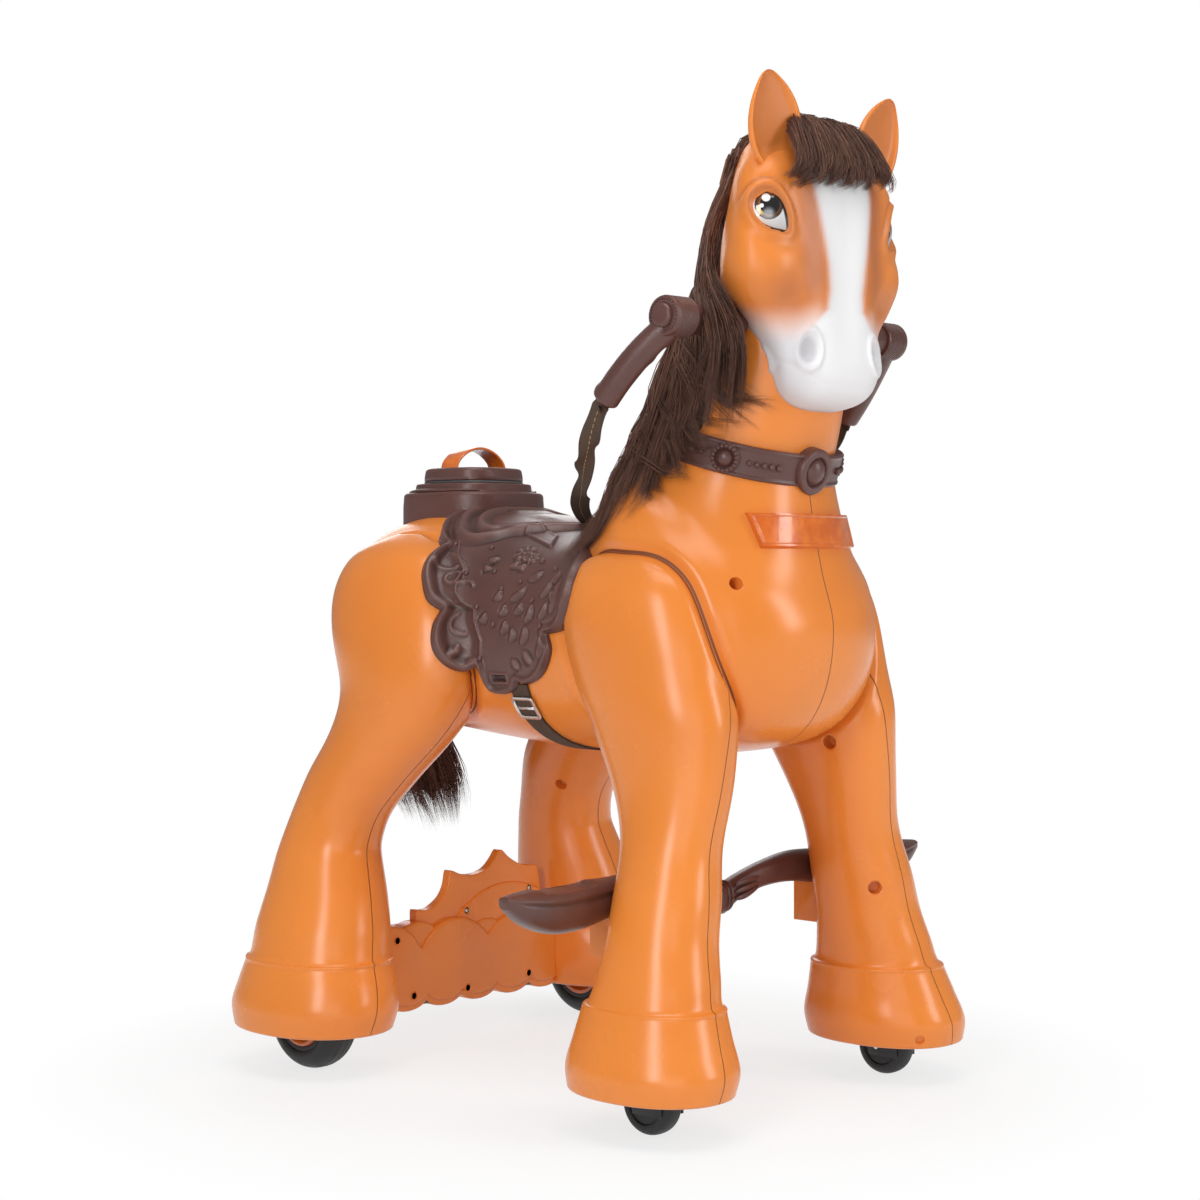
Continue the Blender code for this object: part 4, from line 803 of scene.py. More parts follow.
# %% Holes for the screws of the shells
def dig(piece, holes, radius, depth):
    """Drill blind screw wells into a piece, each along a direction into it."""
    mesh = bpy.data.meshes.new("screw_wells")
    with edited(mesh) as shape:
        for point, into in holes:
            into = Vector(into).normalized()
            turn = Matrix.Translation(Vector(point)) @ into.to_track_quat("Z", "Y").to_matrix().to_4x4()
            bmesh.ops.create_cone(shape, cap_ends=True, segments=28, radius1=radius * 1.25, radius2=radius,
                                  depth=2 * depth, matrix=turn)
    cutter = added("screw_wells", mesh)
    modifier = piece.modifiers.new("wells", "BOOLEAN")
    modifier.object = cutter
    modifier.solver = "EXACT"
    apply_modifiers(piece)
    bpy.data.objects.remove(cutter, do_unlink=True)


def apply_modifiers(piece):
    """Keep what the modifiers make as the piece's own mesh."""
    depsgraph = bpy.context.evaluated_depsgraph_get()
    depsgraph.update()
    made = bpy.data.meshes.new_from_object(piece.evaluated_get(depsgraph))
    piece.modifiers.clear()
    piece.data = made
    return piece


def on_skin(tree, start, direction):
    """First point of a skin on a ray."""
    hit = tree.ray_cast(Vector(start), Vector(direction).normalized())
    return hit[0] if hit[0] is not None else Vector(start)


print("drill ready")

# %% Shells as pieces
CANTLE_X = -0.1928
HATCH_HALF = 0.054
HATCH_FLOOR = 0.58
CHEST_WELLS = (((0.3055, 0.1087, 0.5465), (-0.90, -0.20, -0.28)),)
LEG_WELLS = {"front": (((0.2712, 0.0879, 0.3743), (-0.27, 0.96, 0.12)),
                       ((0.3017, 0.1280, 0.2157), (-0.74, 0.67, 0.06))),
             "rear": (((-0.1792, 0.1322, 0.2951), (-0.28, 0.83, 0.48)),)}
HOOF_WELLS = (((0.3441, 0.1520, 0.0527), (-0.74, 0.61, 0.28)),)
CHEST_BORE = {"radius": 0.0062, "depth": 0.020}
LEG_BORE = {"radius": 0.0066, "depth": 0.014}
HOOF_BORE = {"radius": 0.0046, "depth": 0.0034}


def mirrored(wells, side):
    """Wells of one side of the horse, given for its left."""
    return [(np.array(point) * (1, side, 1), np.array(into) * (1, side, 1)) for point, into in wells]


def open_hatch(piece):
    """Cut the opening over the battery box."""
    with edited(piece.data) as shape:
        middles = [(face, face.calc_center_median()) for face in shape.faces]
        hatch = [face for face, at in middles
                 if at.z > HATCH_FLOOR and max(abs(at.x - CANTLE_X), abs(at.y)) < HATCH_HALF]
        bmesh.ops.delete(shape, geom=hatch, context="FACES")


body = barrel.piece("body_moulding", ORANGE)
dig(body, mirrored(CHEST_WELLS, -1) + mirrored(CHEST_WELLS, 1), **CHEST_BORE)
open_hatch(body)
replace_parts(body, "body_shell_right", "body_shell_left")
for (kind, side), skin in LEGS.items():
    word = "right" if side < 0 else "left"
    leg = skin.piece(f"{kind}_{word}_leg", ORANGE)
    dig(leg, mirrored(LEG_WELLS[kind], side), **LEG_BORE)
    if kind == "front":
        dig(leg, mirrored(HOOF_WELLS, side), **HOOF_BORE)
    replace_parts(leg, f"{kind}_{word}_leg_outer", f"{kind}_{word}_leg_inner")
face = head.piece("head_moulding", ORANGE)
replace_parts(face, "head_shell")
throat = neck.piece("neck_moulding", ORANGE)
print("shell faces", len(body.data.polygons), len(leg.data.polygons), len(face.data.polygons))

# %% [markdown]
# ## The other finishes
#
# Saddle, collar, grips and footrest are a dark brown plastic with a fine leather grain. The high
# places of the tooling carry a painted highlight, and its low places and creases carry painted shade.
# The lid strap and the chest plate are a deeper, clearer orange. Tyres are rubber, the rein is woven,
# and the metal is plated steel, painted black on the castors.

# %% Brown, trim, rubber, steel and the rest
def make_brown():
    finish = Finish("brown_grained_plastic")
    tone = finish.noise(9.0, 3.0).rise(0.3, 0.7)
    colour = finish.mix(tone, (0.094, 0.038, 0.031), (0.126, 0.053, 0.044))
    # Painted highlight: lighter brown on the high places of the tooling.
    painted_highlight = finish.painted("high")
    colour = finish.mix(painted_highlight * 0.55, colour, (0.200, 0.105, 0.090))
    # Painted shade: darker brown in the low places of the tooling and in creases.
    low = finish.painted("low")
    colour = finish.mix(low * 0.65, colour, (0.020, 0.008, 0.006))
    grain = finish.node("ShaderNodeTexVoronoi", {"feature": "DISTANCE_TO_EDGE"},
                        {"Vector": finish.place(), "Scale": 420.0})
    rough = finish.noise(30.0, 3.0) * 0.14 + 0.25
    finish.feed(Base_Color=colour, Roughness=rough + low * 0.15)
    finish.bump(grain.rise(0.0, 0.25) * 0.22 + finish.noise(900.0) * 0.10, 0.00035)
    return finish.material


def make_trim():
    finish = Finish("clear_orange_trim", Coat_Roughness=0.06)
    tone = finish.noise(60.0, 4.0).rise(0.35, 0.7)
    finish.feed(Base_Color=finish.mix(tone, (0.66, 0.125, 0.010), (0.78, 0.185, 0.018)),
                Roughness=finish.noise(35.0) * 0.12 + 0.16)
    finish.shader.inputs["Coat Weight"].default_value = 0.5
    finish.bump(finish.noise(220.0, 3.0), 0.00035)
    return finish.material


def make_rubber():
    finish = Finish("black_rubber")
    dust = finish.noise(55.0, 4.0).rise(0.45, 0.75)
    finish.feed(Base_Color=finish.mix(dust, (0.011, 0.011, 0.012), (0.030, 0.029, 0.029)),
                Roughness=dust * 0.22 + 0.48)
    finish.bump(finish.noise(500.0, 3.0), 0.0003)
    return finish.material


def make_steel():
    finish = Finish("plated_steel", Metallic=1.0)
    brushed = finish.noise(90.0, 4.0)
    finish.feed(Base_Color=finish.mix(brushed.rise(0.3, 0.7), (0.55, 0.55, 0.56), (0.72, 0.72, 0.71)),
                Roughness=brushed * 0.2 + 0.18)
    finish.bump(finish.noise(700.0), 0.00008)
    return finish.material


def make_plain(name, dark, light, rough, grain):
    """Moulded plastic or board with a slight change of tone."""
    finish = Finish(name)
    finish.feed(Base_Color=finish.mix(finish.noise(22.0, 3.0).rise(0.35, 0.65), dark, light),
                Roughness=finish.noise(40.0) * 0.16 + rough)
    finish.bump(finish.noise(grain, 2.0), 0.00025)
    return finish.material


BROWN = make_brown()
TRIM = make_trim()
RUBBER = make_rubber()
STEEL = make_steel()
GREY = make_plain("grey_moulding", (0.085, 0.085, 0.092), (0.125, 0.125, 0.13), 0.42, 300.0)
CASTOR_BLACK = make_plain("black_painted_steel", (0.012, 0.012, 0.013), (0.022, 0.022, 0.023), 0.36, 240.0)
BOARD = make_plain("green_board", (0.018, 0.13, 0.045), (0.03, 0.19, 0.07), 0.30, 120.0)
FINISH_OF_SLOT = {"orange_plastic": ORANGE, "brown_plastic": BROWN, "orange_trim": TRIM,
                  "black_rubber": RUBBER, "steel": STEEL, "grey_plastic": GREY, "green_board": BOARD}
print("finishes", sorted(FINISH_OF_SLOT))

# %% [markdown]
# ## Ears
#
# An ear is a leaf: its rings narrow to the tip, round behind and dished in front, with a rolled rim
# round the dish. The dish is airbrushed darker.

# %% Ears
EAR_LENGTH = 0.112
EAR_HALF_WIDTH = 0.038


def make_ear(word, side):
    rows = np.array(((0.00, 0.34, 0.014), (0.14, 0.62, 0.015), (0.32, 0.92, 0.014), (0.48, 1.00, 0.013),
                     (0.64, 0.93, 0.011), (0.79, 0.72, 0.009), (0.91, 0.43, 0.007), (0.98, 0.20, 0.004),
                     (1.00, 0.03, 0.001)))
    root = np.array([FACE_X - 0.030, side * 0.066, CHIN_Z + HEAD_HEIGHT - 0.060])
    rise = unit((0.10, side * 0.36, 1.0))
    look = np.array([1.0, side * 0.10, 0.0])
    look = unit(look - rise * look.dot(rise))
    across = np.cross(rise, look)
    angle = full_turn(72)
    c, s = np.cos(angle), np.sin(angle)
    rim = hump(np.abs(c) - 0.90, 0.10)
    dish = np.where(s > 0, -0.42 * (1 - c ** 2) ** 0.7 + 0.34 * rim * s ** 0.3, s)
    rings = []
    hollow = []
    for share, width, depth in blurred(eased(rows, 8), 3):
        centre = root + rise * share * EAR_LENGTH
        sink = smooth(share, 0.12, 0.35)
        front = np.where(s > 0, dish * sink + 0.5 * s * (1 - sink), s)
        wide = across * (c * width * EAR_HALF_WIDTH)[:, None]
        rings.append(centre + wide + look * (front * depth)[:, None])
        hollow.append(np.where(s > 0.05, (1 - smooth(np.abs(c), 0.60, 0.92)) * sink, 0.0))
    skin = Skin(rings)
    skin.mark("paint_brown", 0.42 * np.array(hollow))
    skin.mark("matte", np.ones(skin.points.shape[:2]))
    ear = skin.piece(f"ear_{word}_leaf", ORANGE)
    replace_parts(ear, f"ear_{word}")


for word, side in SIDES:
    make_ear(word, side)
print("ears made")

# %% [markdown]
# ## Eyes
#
# The eyes are printed under a clear dome: white, an amber ring, a black pupil and two painted lights,
# with a dark line all round. The dome is cut to the eye's outline and tucked under the lids. Its map
# holds millimetres ahead and up from the eye's middle, so the print is a few circles.

# %% Eyes
def make_eye_print():
    finish = Finish("printed_eye", Roughness=0.09, Coat_Weight=1.0, Coat_Roughness=0.03)
    ahead, up, _ = finish.flat().parts()

    def ring(centre_ahead, centre_up, stretch=1.0):
        return (((ahead - centre_ahead) * stretch) ** 2.0 + (up - centre_up) ** 2.0) ** 0.5

    def disc(away, radius, soft=0.35):
        return 1.0 - away.rise(radius - soft, radius + soft)

    edge = finish.mark("edge")
    white = finish.mix((up * 0.05 - ahead * 0.03).rise(-0.9, 0.9), (0.52, 0.53, 0.55), (0.86, 0.86, 0.86))
    away = ring(-5.4, 11.4, 1.06)
    iris = finish.mix((up * -1.0).rise(-20.0, -2.0), (0.20, 0.055, 0.010), (0.62, 0.30, 0.035))
    iris = finish.mix(away.rise(10.2, 12.4), iris, (0.09, 0.030, 0.010))
    iris = finish.mix(disc(ring(-15.0, 4.6), 4.6, 1.6) * 0.75, iris, (0.78, 0.52, 0.10))
    colour = finish.mix(disc(away, 14.4), white, iris)
    colour = finish.mix(disc(away, 15.2, 0.5) * away.rise(13.4, 14.4), colour, (0.022, 0.012, 0.010))
    colour = finish.mix(disc(ring(-4.6, 11.0, 1.05), 10.6), colour, (0.006, 0.006, 0.007))
    colour = finish.mix(disc(ring(-6.0, 2.2), 5.0, 3.0) * 0.55, colour, (0.42, 0.44, 0.47))
    colour = finish.mix(disc(ring(-8.4, 18.4), 4.3, 0.5), colour, (0.93, 0.93, 0.94))
    colour = finish.mix(disc(ring(-12.9, 10.0), 2.2, 0.4), colour, (0.90, 0.90, 0.91))
    colour = finish.mix(1.0 - edge.rise(0.9, 1.9), colour, (0.010, 0.006, 0.005))
    finish.feed(Base_Color=colour)
    return finish.material


EYE_SUNK = 0.0010


def make_eye(word, side, finish):
    middle = np.array([-0.0052, 0.0065])
    shares = np.linspace(0.0, 1.06, 26)[1:]
    flat = np.vstack([middle[None]] + [middle + (ALMOND_LINE - middle) * share for share in shares])
    count = len(ALMOND_LINE)
    bulge = 0.0045 - 0.0060 * ((flat - middle) ** 2).sum(axis=1) / 0.020 ** 2
    place = (EYE_CENTRE + np.outer(flat[:, 0], EYE_AHEAD) + np.outer(flat[:, 1], EYE_UP)
             + np.outer(bulge - EYE_SUNK, EYE_LOOK)) * (1, side, 1)
    faces = [[0, 1 + i, 1 + (i + 1) % count] for i in range(count)]
    for row in range(len(shares) - 1):
        low = 1 + row * count
        faces += [[low + i, low + count + i, low + count + (i + 1) % count, low + (i + 1) % count]
                  for i in range(count)]
    depth = 1000 * inside_line(flat[:, 0], flat[:, 1], ALMOND_LINE)
    eye = mesh_piece(f"eye_{word}_dome", place, faces, finish, "horse", {"edge": depth})
    lay_flat(eye, flat * 1000)
    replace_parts(eye, f"eye_{word}")
    return place


EYE_PRINT = make_eye_print()
for word, side in SIDES:
    domes = make_eye(word, side, EYE_PRINT)
print("eyes made, front of the dome at", np.round(domes[0], 4))

# %% [markdown]
# ## Turned, swept and repeated pieces
#
# Wheels, studs and buttons are profiles turned on an axis. Straps and grips are a section carried
# along a path. Whatever repeats (beads, studs, screws, hair) is grown by a geometry node tree from
# points or guide lines, then kept as a plain mesh.

# %% Turning and sweeping
def frame_of(axis):
    """Two directions across an axis."""
    turn = Vector(axis).to_track_quat("Z", "Y")
    return np.array(turn @ Vector((1, 0, 0))), np.array(turn @ Vector((0, 1, 0)))


def turned_rings(profile, centre, axis, steps=32):
    """Skin of a profile of radius and height pairs turned round an axis."""
    axis = unit(axis)
    first, second = frame_of(axis)
    angle = full_turn(steps)
    spoke = np.cos(angle)[:, None] * first + np.sin(angle)[:, None] * second
    return Skin([np.array(centre) + axis * height + spoke * max(radius, 1e-7) for radius, height in profile])


def turned(name, profile, centre, axis, finish, body="horse", steps=96, sharp=32):
    """Turned profile as a piece."""
    skin = turned_rings(profile, centre, axis, steps)
    return crisp(mesh_piece(name, skin.points, skin.faces(False), finish, body), sharp)


def swept(path, section, up, turns=None, scale=None):
    """Rings of a section (across, up) carried along a path."""
    path = np.asarray(path, float)
    along = unit(np.gradient(path, axis=0))
    rings = []
    for i, point in enumerate(path):
        across = unit(np.cross(along[i], up if np.ndim(up) == 1 else up[i]))
        rise = np.cross(across, along[i])
        turn = 0.0 if turns is None else turns[i]
        side = across * math.cos(turn) + rise * math.sin(turn)
        lift = rise * math.cos(turn) - across * math.sin(turn)
        flat = np.asarray(section[i] if np.ndim(section) == 3 else section)
        flat = flat * (1.0 if scale is None else scale[i])
        rings.append(point + flat[:, :1] * side + flat[:, 1:] * lift)
    return Skin(rings)


def round_box(half_width, half_height, radius, corner=5):
    """Section of a bar with round edges."""
    points = []
    for cx, cy, start in ((1, 1, 0), (-1, 1, 90), (-1, -1, 180), (1, -1, 270)):
        for angle in np.radians(start + np.linspace(0, 90, corner)):
            points.append((cx * (half_width - radius) + radius * math.cos(angle),
                           cy * (half_height - radius) + radius * math.sin(angle)))
    return np.array(points)


print("section of a bar:", len(round_box(0.002, 0.001, 0.0005)), "points")


# %% Growing by nodes
class Graph:
    """A geometry node tree written as calls."""

    node = Finish.node

    def __init__(self, name, **inputs):
        self.tree = bpy.data.node_groups.new(name, "GeometryNodeTree")
        face = self.tree.interface
        face.new_socket("Geometry", in_out="OUTPUT", socket_type="NodeSocketGeometry")
        face.new_socket("Geometry", in_out="INPUT", socket_type="NodeSocketGeometry")
        for key, kind in inputs.items():
            face.new_socket(key, in_out="INPUT", socket_type="NodeSocket" + kind)
        start = self.tree.nodes.new("NodeGroupInput")
        self.given = {socket.name: Wire(self, socket) for socket in start.outputs if socket.name}

    def vector(self, operation, *values):
        return self.node("ShaderNodeVectorMath", {"operation": operation}, values)

    def scaled(self, vector, factor):
        return self.node("ShaderNodeVectorMath", {"operation": "SCALE"}, {0: vector, 3: factor})

    def named(self, name, kind="FLOAT"):
        return self.node("GeometryNodeInputNamedAttribute", {"data_type": kind}, {0: name})

    def chance(self, low, high, number, seed):
        """A random number for each ID."""
        return self.node("FunctionNodeRandomValue", {"data_type": "FLOAT"},
                         {2: low, 3: high, 7: number, 8: seed}, 1)

    def aim(self):
        """Turn that lays Z along each point's aim."""
        return self.node("FunctionNodeAlignRotationToVector", {"axis": "Z"},
                         {2: self.named("aim", "FLOAT_VECTOR")})

    def on_points(self, shape, turn, size):
        """One shape on every point, made real at the tree's end."""
        copies = self.node("GeometryNodeInstanceOnPoints", {},
                           {0: self.given["Geometry"], 2: shape, 5: turn, 6: size})
        return self.finish(self.node("GeometryNodeRealizeInstances", {}, [copies]), self.given["Finish"])

    def finish(self, geometry, finish):
        """Smooth, finished geometry at the tree's end."""
        smooth_one = self.node("GeometryNodeSetShadeSmooth", {}, {0: geometry})
        last = self.node("GeometryNodeSetMaterial", {}, {0: smooth_one, 2: finish})
        self.tree.links.new(last.socket, self.tree.nodes.new("NodeGroupOutput").inputs[0])
        return self

    def grow(self, piece, **values):
        """Run the tree on a piece and keep what it makes."""
        modifier = piece.modifiers.new("grow", "NODES")
        modifier.node_group = self.tree
        for item in self.tree.interface.items_tree:
            if item.in_out == "INPUT" and item.name in values:
                modifier[item.identifier] = values[item.name]
        return apply_modifiers(piece)


print("node trees can be written as calls")


# %% Beads and screws
def make_bead_tree():
    """A ball on every point, as large as the point's size."""
    graph = Graph("balls_on_points", Finish="Material", Flat="Float")
    ball = graph.node("GeometryNodeMeshUVSphere", {}, {0: 16, 1: 9, 2: 1.0})
    size = graph.named("size")
    flat = graph.node("ShaderNodeCombineXYZ", {}, [size, size, size * graph.given["Flat"]])
    return graph.on_points(ball, graph.aim(), flat)


def make_screw_tree():
    """A cross-head screw on every point, turned by chance."""
    graph = Graph("screws_on_points", Finish="Material", Seed="Int")
    head = graph.node("GeometryNodeMeshCylinder", {}, {"Vertices": 24, "Radius": 1.0, "Depth": 0.5})
    dome = graph.node("GeometryNodeMeshUVSphere", {}, {0: 24, 1: 12, 2: 1.0})
    dome = graph.node("GeometryNodeTransform", {}, {"Geometry": dome, "Scale": (0.98, 0.98, 0.42)})
    slot = graph.node("GeometryNodeMeshCube", {}, {"Size": (1.2, 0.26, 0.8)})
    cross = graph.node("GeometryNodeTransform", {}, {"Geometry": slot, "Rotation": (0, 0, math.pi / 2)})
    whole = graph.node("GeometryNodeJoinGeometry", {}, {})
    for part in (head, dome):
        graph.tree.links.new(part.socket, whole.socket.node.inputs[0])
    cut = whole
    for bar in (slot, cross):
        bar = graph.node("GeometryNodeTransform", {}, {"Geometry": bar, "Translation": (0, 0, 0.55)})
        cut = graph.node("GeometryNodeMeshBoolean", {"operation": "DIFFERENCE"}, {0: cut, 1: bar})
    angle = graph.chance(0.0, 3.0, graph.node("GeometryNodeInputIndex", {}, {}), graph.given["Seed"])
    spin = graph.node("FunctionNodeAxisAngleToRotation", {}, {0: (0.0, 0.0, 1.0), 1: angle})
    turn = graph.node("FunctionNodeRotateRotation", {"rotation_space": "LOCAL"}, {0: graph.aim(), 1: spin})
    return graph.on_points(cut, turn, graph.named("size"))


def point_piece(name, spots):
    """Loose points, each of a place, a size and an aim."""
    places, sizes, aims = zip(*spots)
    piece = mesh_piece(name, places, [], BROWN, None, {"size": sizes})
    aim = piece.data.attributes.new("aim", "FLOAT_VECTOR", "POINT")
    aim.data.foreach_set("vector", np.array(aims, np.float32).ravel())
    return piece


BEADS = make_bead_tree()
SCREWS = make_screw_tree()


def beads(name, spots, flat=0.9):
    """Brown balls at (place, radius, aim)."""
    piece = BEADS.grow(point_piece(name, spots), Finish=BROWN, Flat=flat)
    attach(piece, "horse")


print("made", BEADS.tree.name, "and", SCREWS.tree.name)

# %% [markdown]
# ## Wheels
#
# The driven wheels have soft round tyres on orange hubs; the castors in the front hooves are small
# solid rollers. All are turned profiles, each riding on the body that turns.

# %% Wheels
AXLE = np.array([-0.2188, 0.224, 0.062])
CASTOR = np.array([0.2682, 0.194, 0.032])


def round_tyre(radius, drop, half, power, reach, steps):
    """Radius and height pairs over a tyre, from one shoulder to the other."""
    return [(radius - drop * (1 - math.cos(a)), math.copysign(half * abs(math.sin(a)) ** power, a))
            for a in np.linspace(reach, -reach, steps)]


def make_rear_wheel(word, side):
    half = 0.0225
    around = round_tyre(AXLE[2], 0.017, half - 0.001, 0.8, 1.45, 35)
    tread = [(r - (0.0009 if 10 <= i <= 24 and i % 4 == 1 else 0.0), h) for i, (r, h) in enumerate(around)]
    wall = [(0.0362, half - 0.004), (0.0395, half - 0.003), (0.041, half - 0.0035), (0.0425, half - 0.0022)]
    profile = wall + tread + [(r, -h) for r, h in wall[::-1]]
    body_name = f"rear_wheel_{word}"
    tyre = turned(f"tyre_{word}", profile, AXLE * (1, side, 1), (0, side, 0), RUBBER, body_name, 120, 50)
    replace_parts(tyre, f"rear_tyre_{word}")
    face = [(0.0001, half + 0.0035), (0.004, half + 0.0034), (0.0105, half + 0.0026), (0.0135, half + 0.0014),
            (0.0145, half - 0.001), (0.0160, half - 0.0045), (0.0185, half - 0.0056),
            (0.0270, half - 0.0056), (0.0290, half - 0.0046), (0.0310, half - 0.0016),
            (0.0330, half - 0.0010), (0.0352, half - 0.0016), (0.0360, half - 0.0030)]
    back = [(0.0360, 0.003 - half), (0.032, 0.003 - half), (0.028, 0.010 - half), (0.016, 0.010 - half),
            (0.014, 0.002 - half), (0.0064, 0.002 - half)]
    hub = turned(f"hub_{word}", face + back, AXLE * (1, side, 1), (0, side, 0), TRIM, body_name, 96, 40)
    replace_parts(hub, f"rear_hub_{word}")


def make_castor_wheel(word, side):
    half = 0.014
    wall = [(0.0034, half), (0.0095, half), (0.0105, half - 0.0006), (0.0115, half - 0.003),
            (0.0200, half - 0.003), (0.0212, half - 0.0012)]
    around = round_tyre(CASTOR[2], 0.0085, half - 0.0005, 0.75, 1.5, 25)
    profile = wall + around + [(r, -h) for r, h in wall[::-1]]
    roller = turned(f"roller_{word}", profile, CASTOR * (1, side, 1), (0, 1, 0), RUBBER,
                    f"castor_roller_{word}", 96, 40)
    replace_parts(roller, f"castor_wheel_{word}")


for word, side in SIDES:
    make_rear_wheel(word, side)
    make_castor_wheel(word, side)
print("wheels made")

# %% [markdown]
# ## Collar and chest plate
#
# The collar is a moulded strap with low rims, a domed medallion in front and a beaded rosette on each
# side. The beads between them grow and shrink along the strap. The chest plate is a bare bevelled
# plate that follows the chest.

# %% Collar
COLLAR_OUT = unit(COLLAR_FRONT - COLLAR_BACK)
COLLAR_RING = ((-0.002, -0.0165), (0.0060, -0.0170), (0.0082, -0.0164), (0.0090, -0.0150), (0.0089, -0.0138),
               (0.0080, -0.0126), (0.0078, -0.0110), (0.0079, 0.0), (0.0078, 0.0110), (0.0080, 0.0126),
               (0.0089, 0.0138), (0.0090, 0.0150), (0.0082, 0.0164), (0.0060, 0.0170), (-0.002, 0.0165))
MEDALLION = ((0.0, 0.0092), (0.0034, 0.0090), (0.0074, 0.0079), (0.0108, 0.0058), (0.0131, 0.0033),
             (0.0141, 0.0012), (0.0148, 0.0010), (0.0156, 0.0031), (0.0169, 0.0044), (0.0217, 0.0044),
             (0.0235, 0.0037), (0.0244, 0.0022), (0.0246, 0.0), (0.0246, -0.010))
ROSETTE = ((0.0, 0.0064), (0.0030, 0.0061), (0.0058, 0.0048), (0.0078, 0.0028), (0.0088, 0.0008),
           (0.0094, 0.0004), (0.0104, 0.0014), (0.0146, 0.0014), (0.0154, 0.0006), (0.0156, -0.008))
ROSETTE_ANGLE = math.radians(60)
ROSETTE_BEADS = 18
# Beads in a row, its first angle from the rosette and the step, and the beads' seat, size and growth.
BEAD_ROWS = ((5, -0.275, -0.090, 0.0090, 0.0029, 0.00020), (5, 0.275, 0.105, 0.0090, 0.0027, 0.00030),
             (18, 0.80, 0.062, 0.0082, 0.0021, 0.0))


def collar_place(angle, out=0.009):
    """Point on the strap and the way it faces, by angle from the front."""
    def at(a):
        c, s = math.cos(math.pi + a), math.sin(math.pi + a)
        u = math.copysign(abs(c) ** (2 / BODY_POWER), c)
        v = math.copysign(abs(s) ** (2 / BODY_POWER), s)
        reach = np.linalg.norm(COLLAR_FRONT - COLLAR_BACK) / 2 + out
        return COLLAR_MID - COLLAR_OUT * reach * u - np.array([0, (COLLAR_HALF_WIDTH + out) * v, 0])
    tangent = at(angle + 0.01) - at(angle - 0.01)
    return at(angle), unit(np.cross(tangent, COLLAR_UP))


def make_collar():
    ends = (COLLAR_BACK, COLLAR_FRONT, COLLAR_HALF_WIDTH, BODY_POWER, 220)
    skin = Skin([girth(*ends, out) + COLLAR_UP * height for out, height in COLLAR_RING])
    strap = mesh_piece("collar_strap", skin.points, skin.faces(False), BROWN)
    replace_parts(tidy(strap), "neck_collar")
    medal = turned("collar_medallion", MEDALLION, *collar_place(0.0), BROWN)
    spots = []
    for word, side in SIDES:
        angle = side * ROSETTE_ANGLE
        place, normal = collar_place(angle)
        rosette = turned(f"collar_rosette_{word}", ROSETTE, place, normal, BROWN)
        first, second = frame_of(normal)
        for turn in full_turn(ROSETTE_BEADS):
            at = place + 0.0126 * (math.cos(turn) * first + math.sin(turn) * second) + normal * 0.0022
            spots.append((at, 0.0026, normal))
        for count, begin, step, seat, size, growth in BEAD_ROWS:
            for k in range(count):
                at, out = collar_place(angle + side * (begin + step * k), seat)
                spots.append((at, size + growth * k, out))
    beads("collar_beads", spots)
    return len(spots)


print("collar with", make_collar(), "beads")

# %% Chest plate
CHEST_PLATE_LOW = COLLAR_FRONT[2] - 0.082
CHEST_PLATE_HEIGHT = 0.036
CHEST_PLATE_HALF = 0.080
CHEST_PLATE_TAPER = 0.16


def make_chest_plate():
    columns = np.linspace(-1, 1, 121)
    rows = np.linspace(0, 1, 34)
    points = np.zeros((len(rows), len(columns), 3))
    edge = np.zeros((len(rows), len(columns)))
    for i, row in enumerate(rows):
        half = CHEST_PLATE_HALF - CHEST_PLATE_TAPER * CHEST_PLATE_HEIGHT * (1 - row)
        z = CHEST_PLATE_LOW + row * CHEST_PLATE_HEIGHT
        upright = min(row * CHEST_PLATE_HEIGHT, (1 - row) * CHEST_PLATE_HEIGHT)
        for j, column in enumerate(columns):
            points[i, j] = on_skin(barrel_tree, (0.6, column * half, z), (-1, 0, 0))
            edge[i, j] = min((1 - abs(column)) * half, upright)
    normal = unit(np.cross(np.gradient(points, axis=1), np.gradient(points, axis=0)))
    height = 0.0012 + 0.0046 * smooth(edge, 0.0, 0.0012) - 0.0014 * smooth(edge, 0.0034, 0.0046)
    front = points + normal * height[..., None]
    grid = np.arange(edge.size).reshape(edge.shape)
    faces = np.stack([grid[:-1, :-1], grid[:-1, 1:], grid[1:, 1:], grid[1:, :-1]], -1).reshape(-1, 4).tolist()
    rim = np.concatenate([grid[0], grid[1:, -1], grid[-1, -2::-1], grid[-2:0:-1, 0]])
    under = (points - normal * 0.002).reshape(-1, 3)[rim]
    back = edge.size + np.arange(len(rim))
    faces += np.stack([rim, back, np.roll(back, -1), np.roll(rim, -1)], -1).tolist()
    plate = mesh_piece("bare_chest_plate", np.vstack([front.reshape(-1, 3), under]), faces, TRIM)
    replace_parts(crisp(plate, 40), "chest_plate")


make_chest_plate()
print("chest plate made")

# %% [markdown]
# ## Cantle, lid and strap
#
# Behind the saddle a stepped cantle frames the battery hatch. Its steps are rounded squares with soft
# edges, drawn in towards the top, and a leafy ridge runs over the lower step. The lid lifts off by a
# clear orange strap.

# %% Cantle and lid
LID_TOP = 0.6798
STRAP_RISE = 0.0245
STRAP_LENGTH = 0.0785


def square_ring(half, z, count=200, power=3.0):
    u, v = squared(count, power)
    return np.stack([CANTLE_X + half * u, half * v, np.full(count, z)], -1)


def stacked(name, rows, finish, body):
    """Rounded squares of half size and height, joined from the first to the last."""
    skin = Skin([square_ring(half, z) for half, z in rows])
    return crisp(mesh_piece(name, skin.points, skin.faces(False), finish, body), 48)


def edge_round(half, z, radius, steps=5):
    """Quarter round from an upright side onto a level top."""
    return [(half - radius * (1 - math.cos(a)), z - radius * (1 - math.sin(a)))
            for a in np.linspace(0, math.pi / 2, steps)]


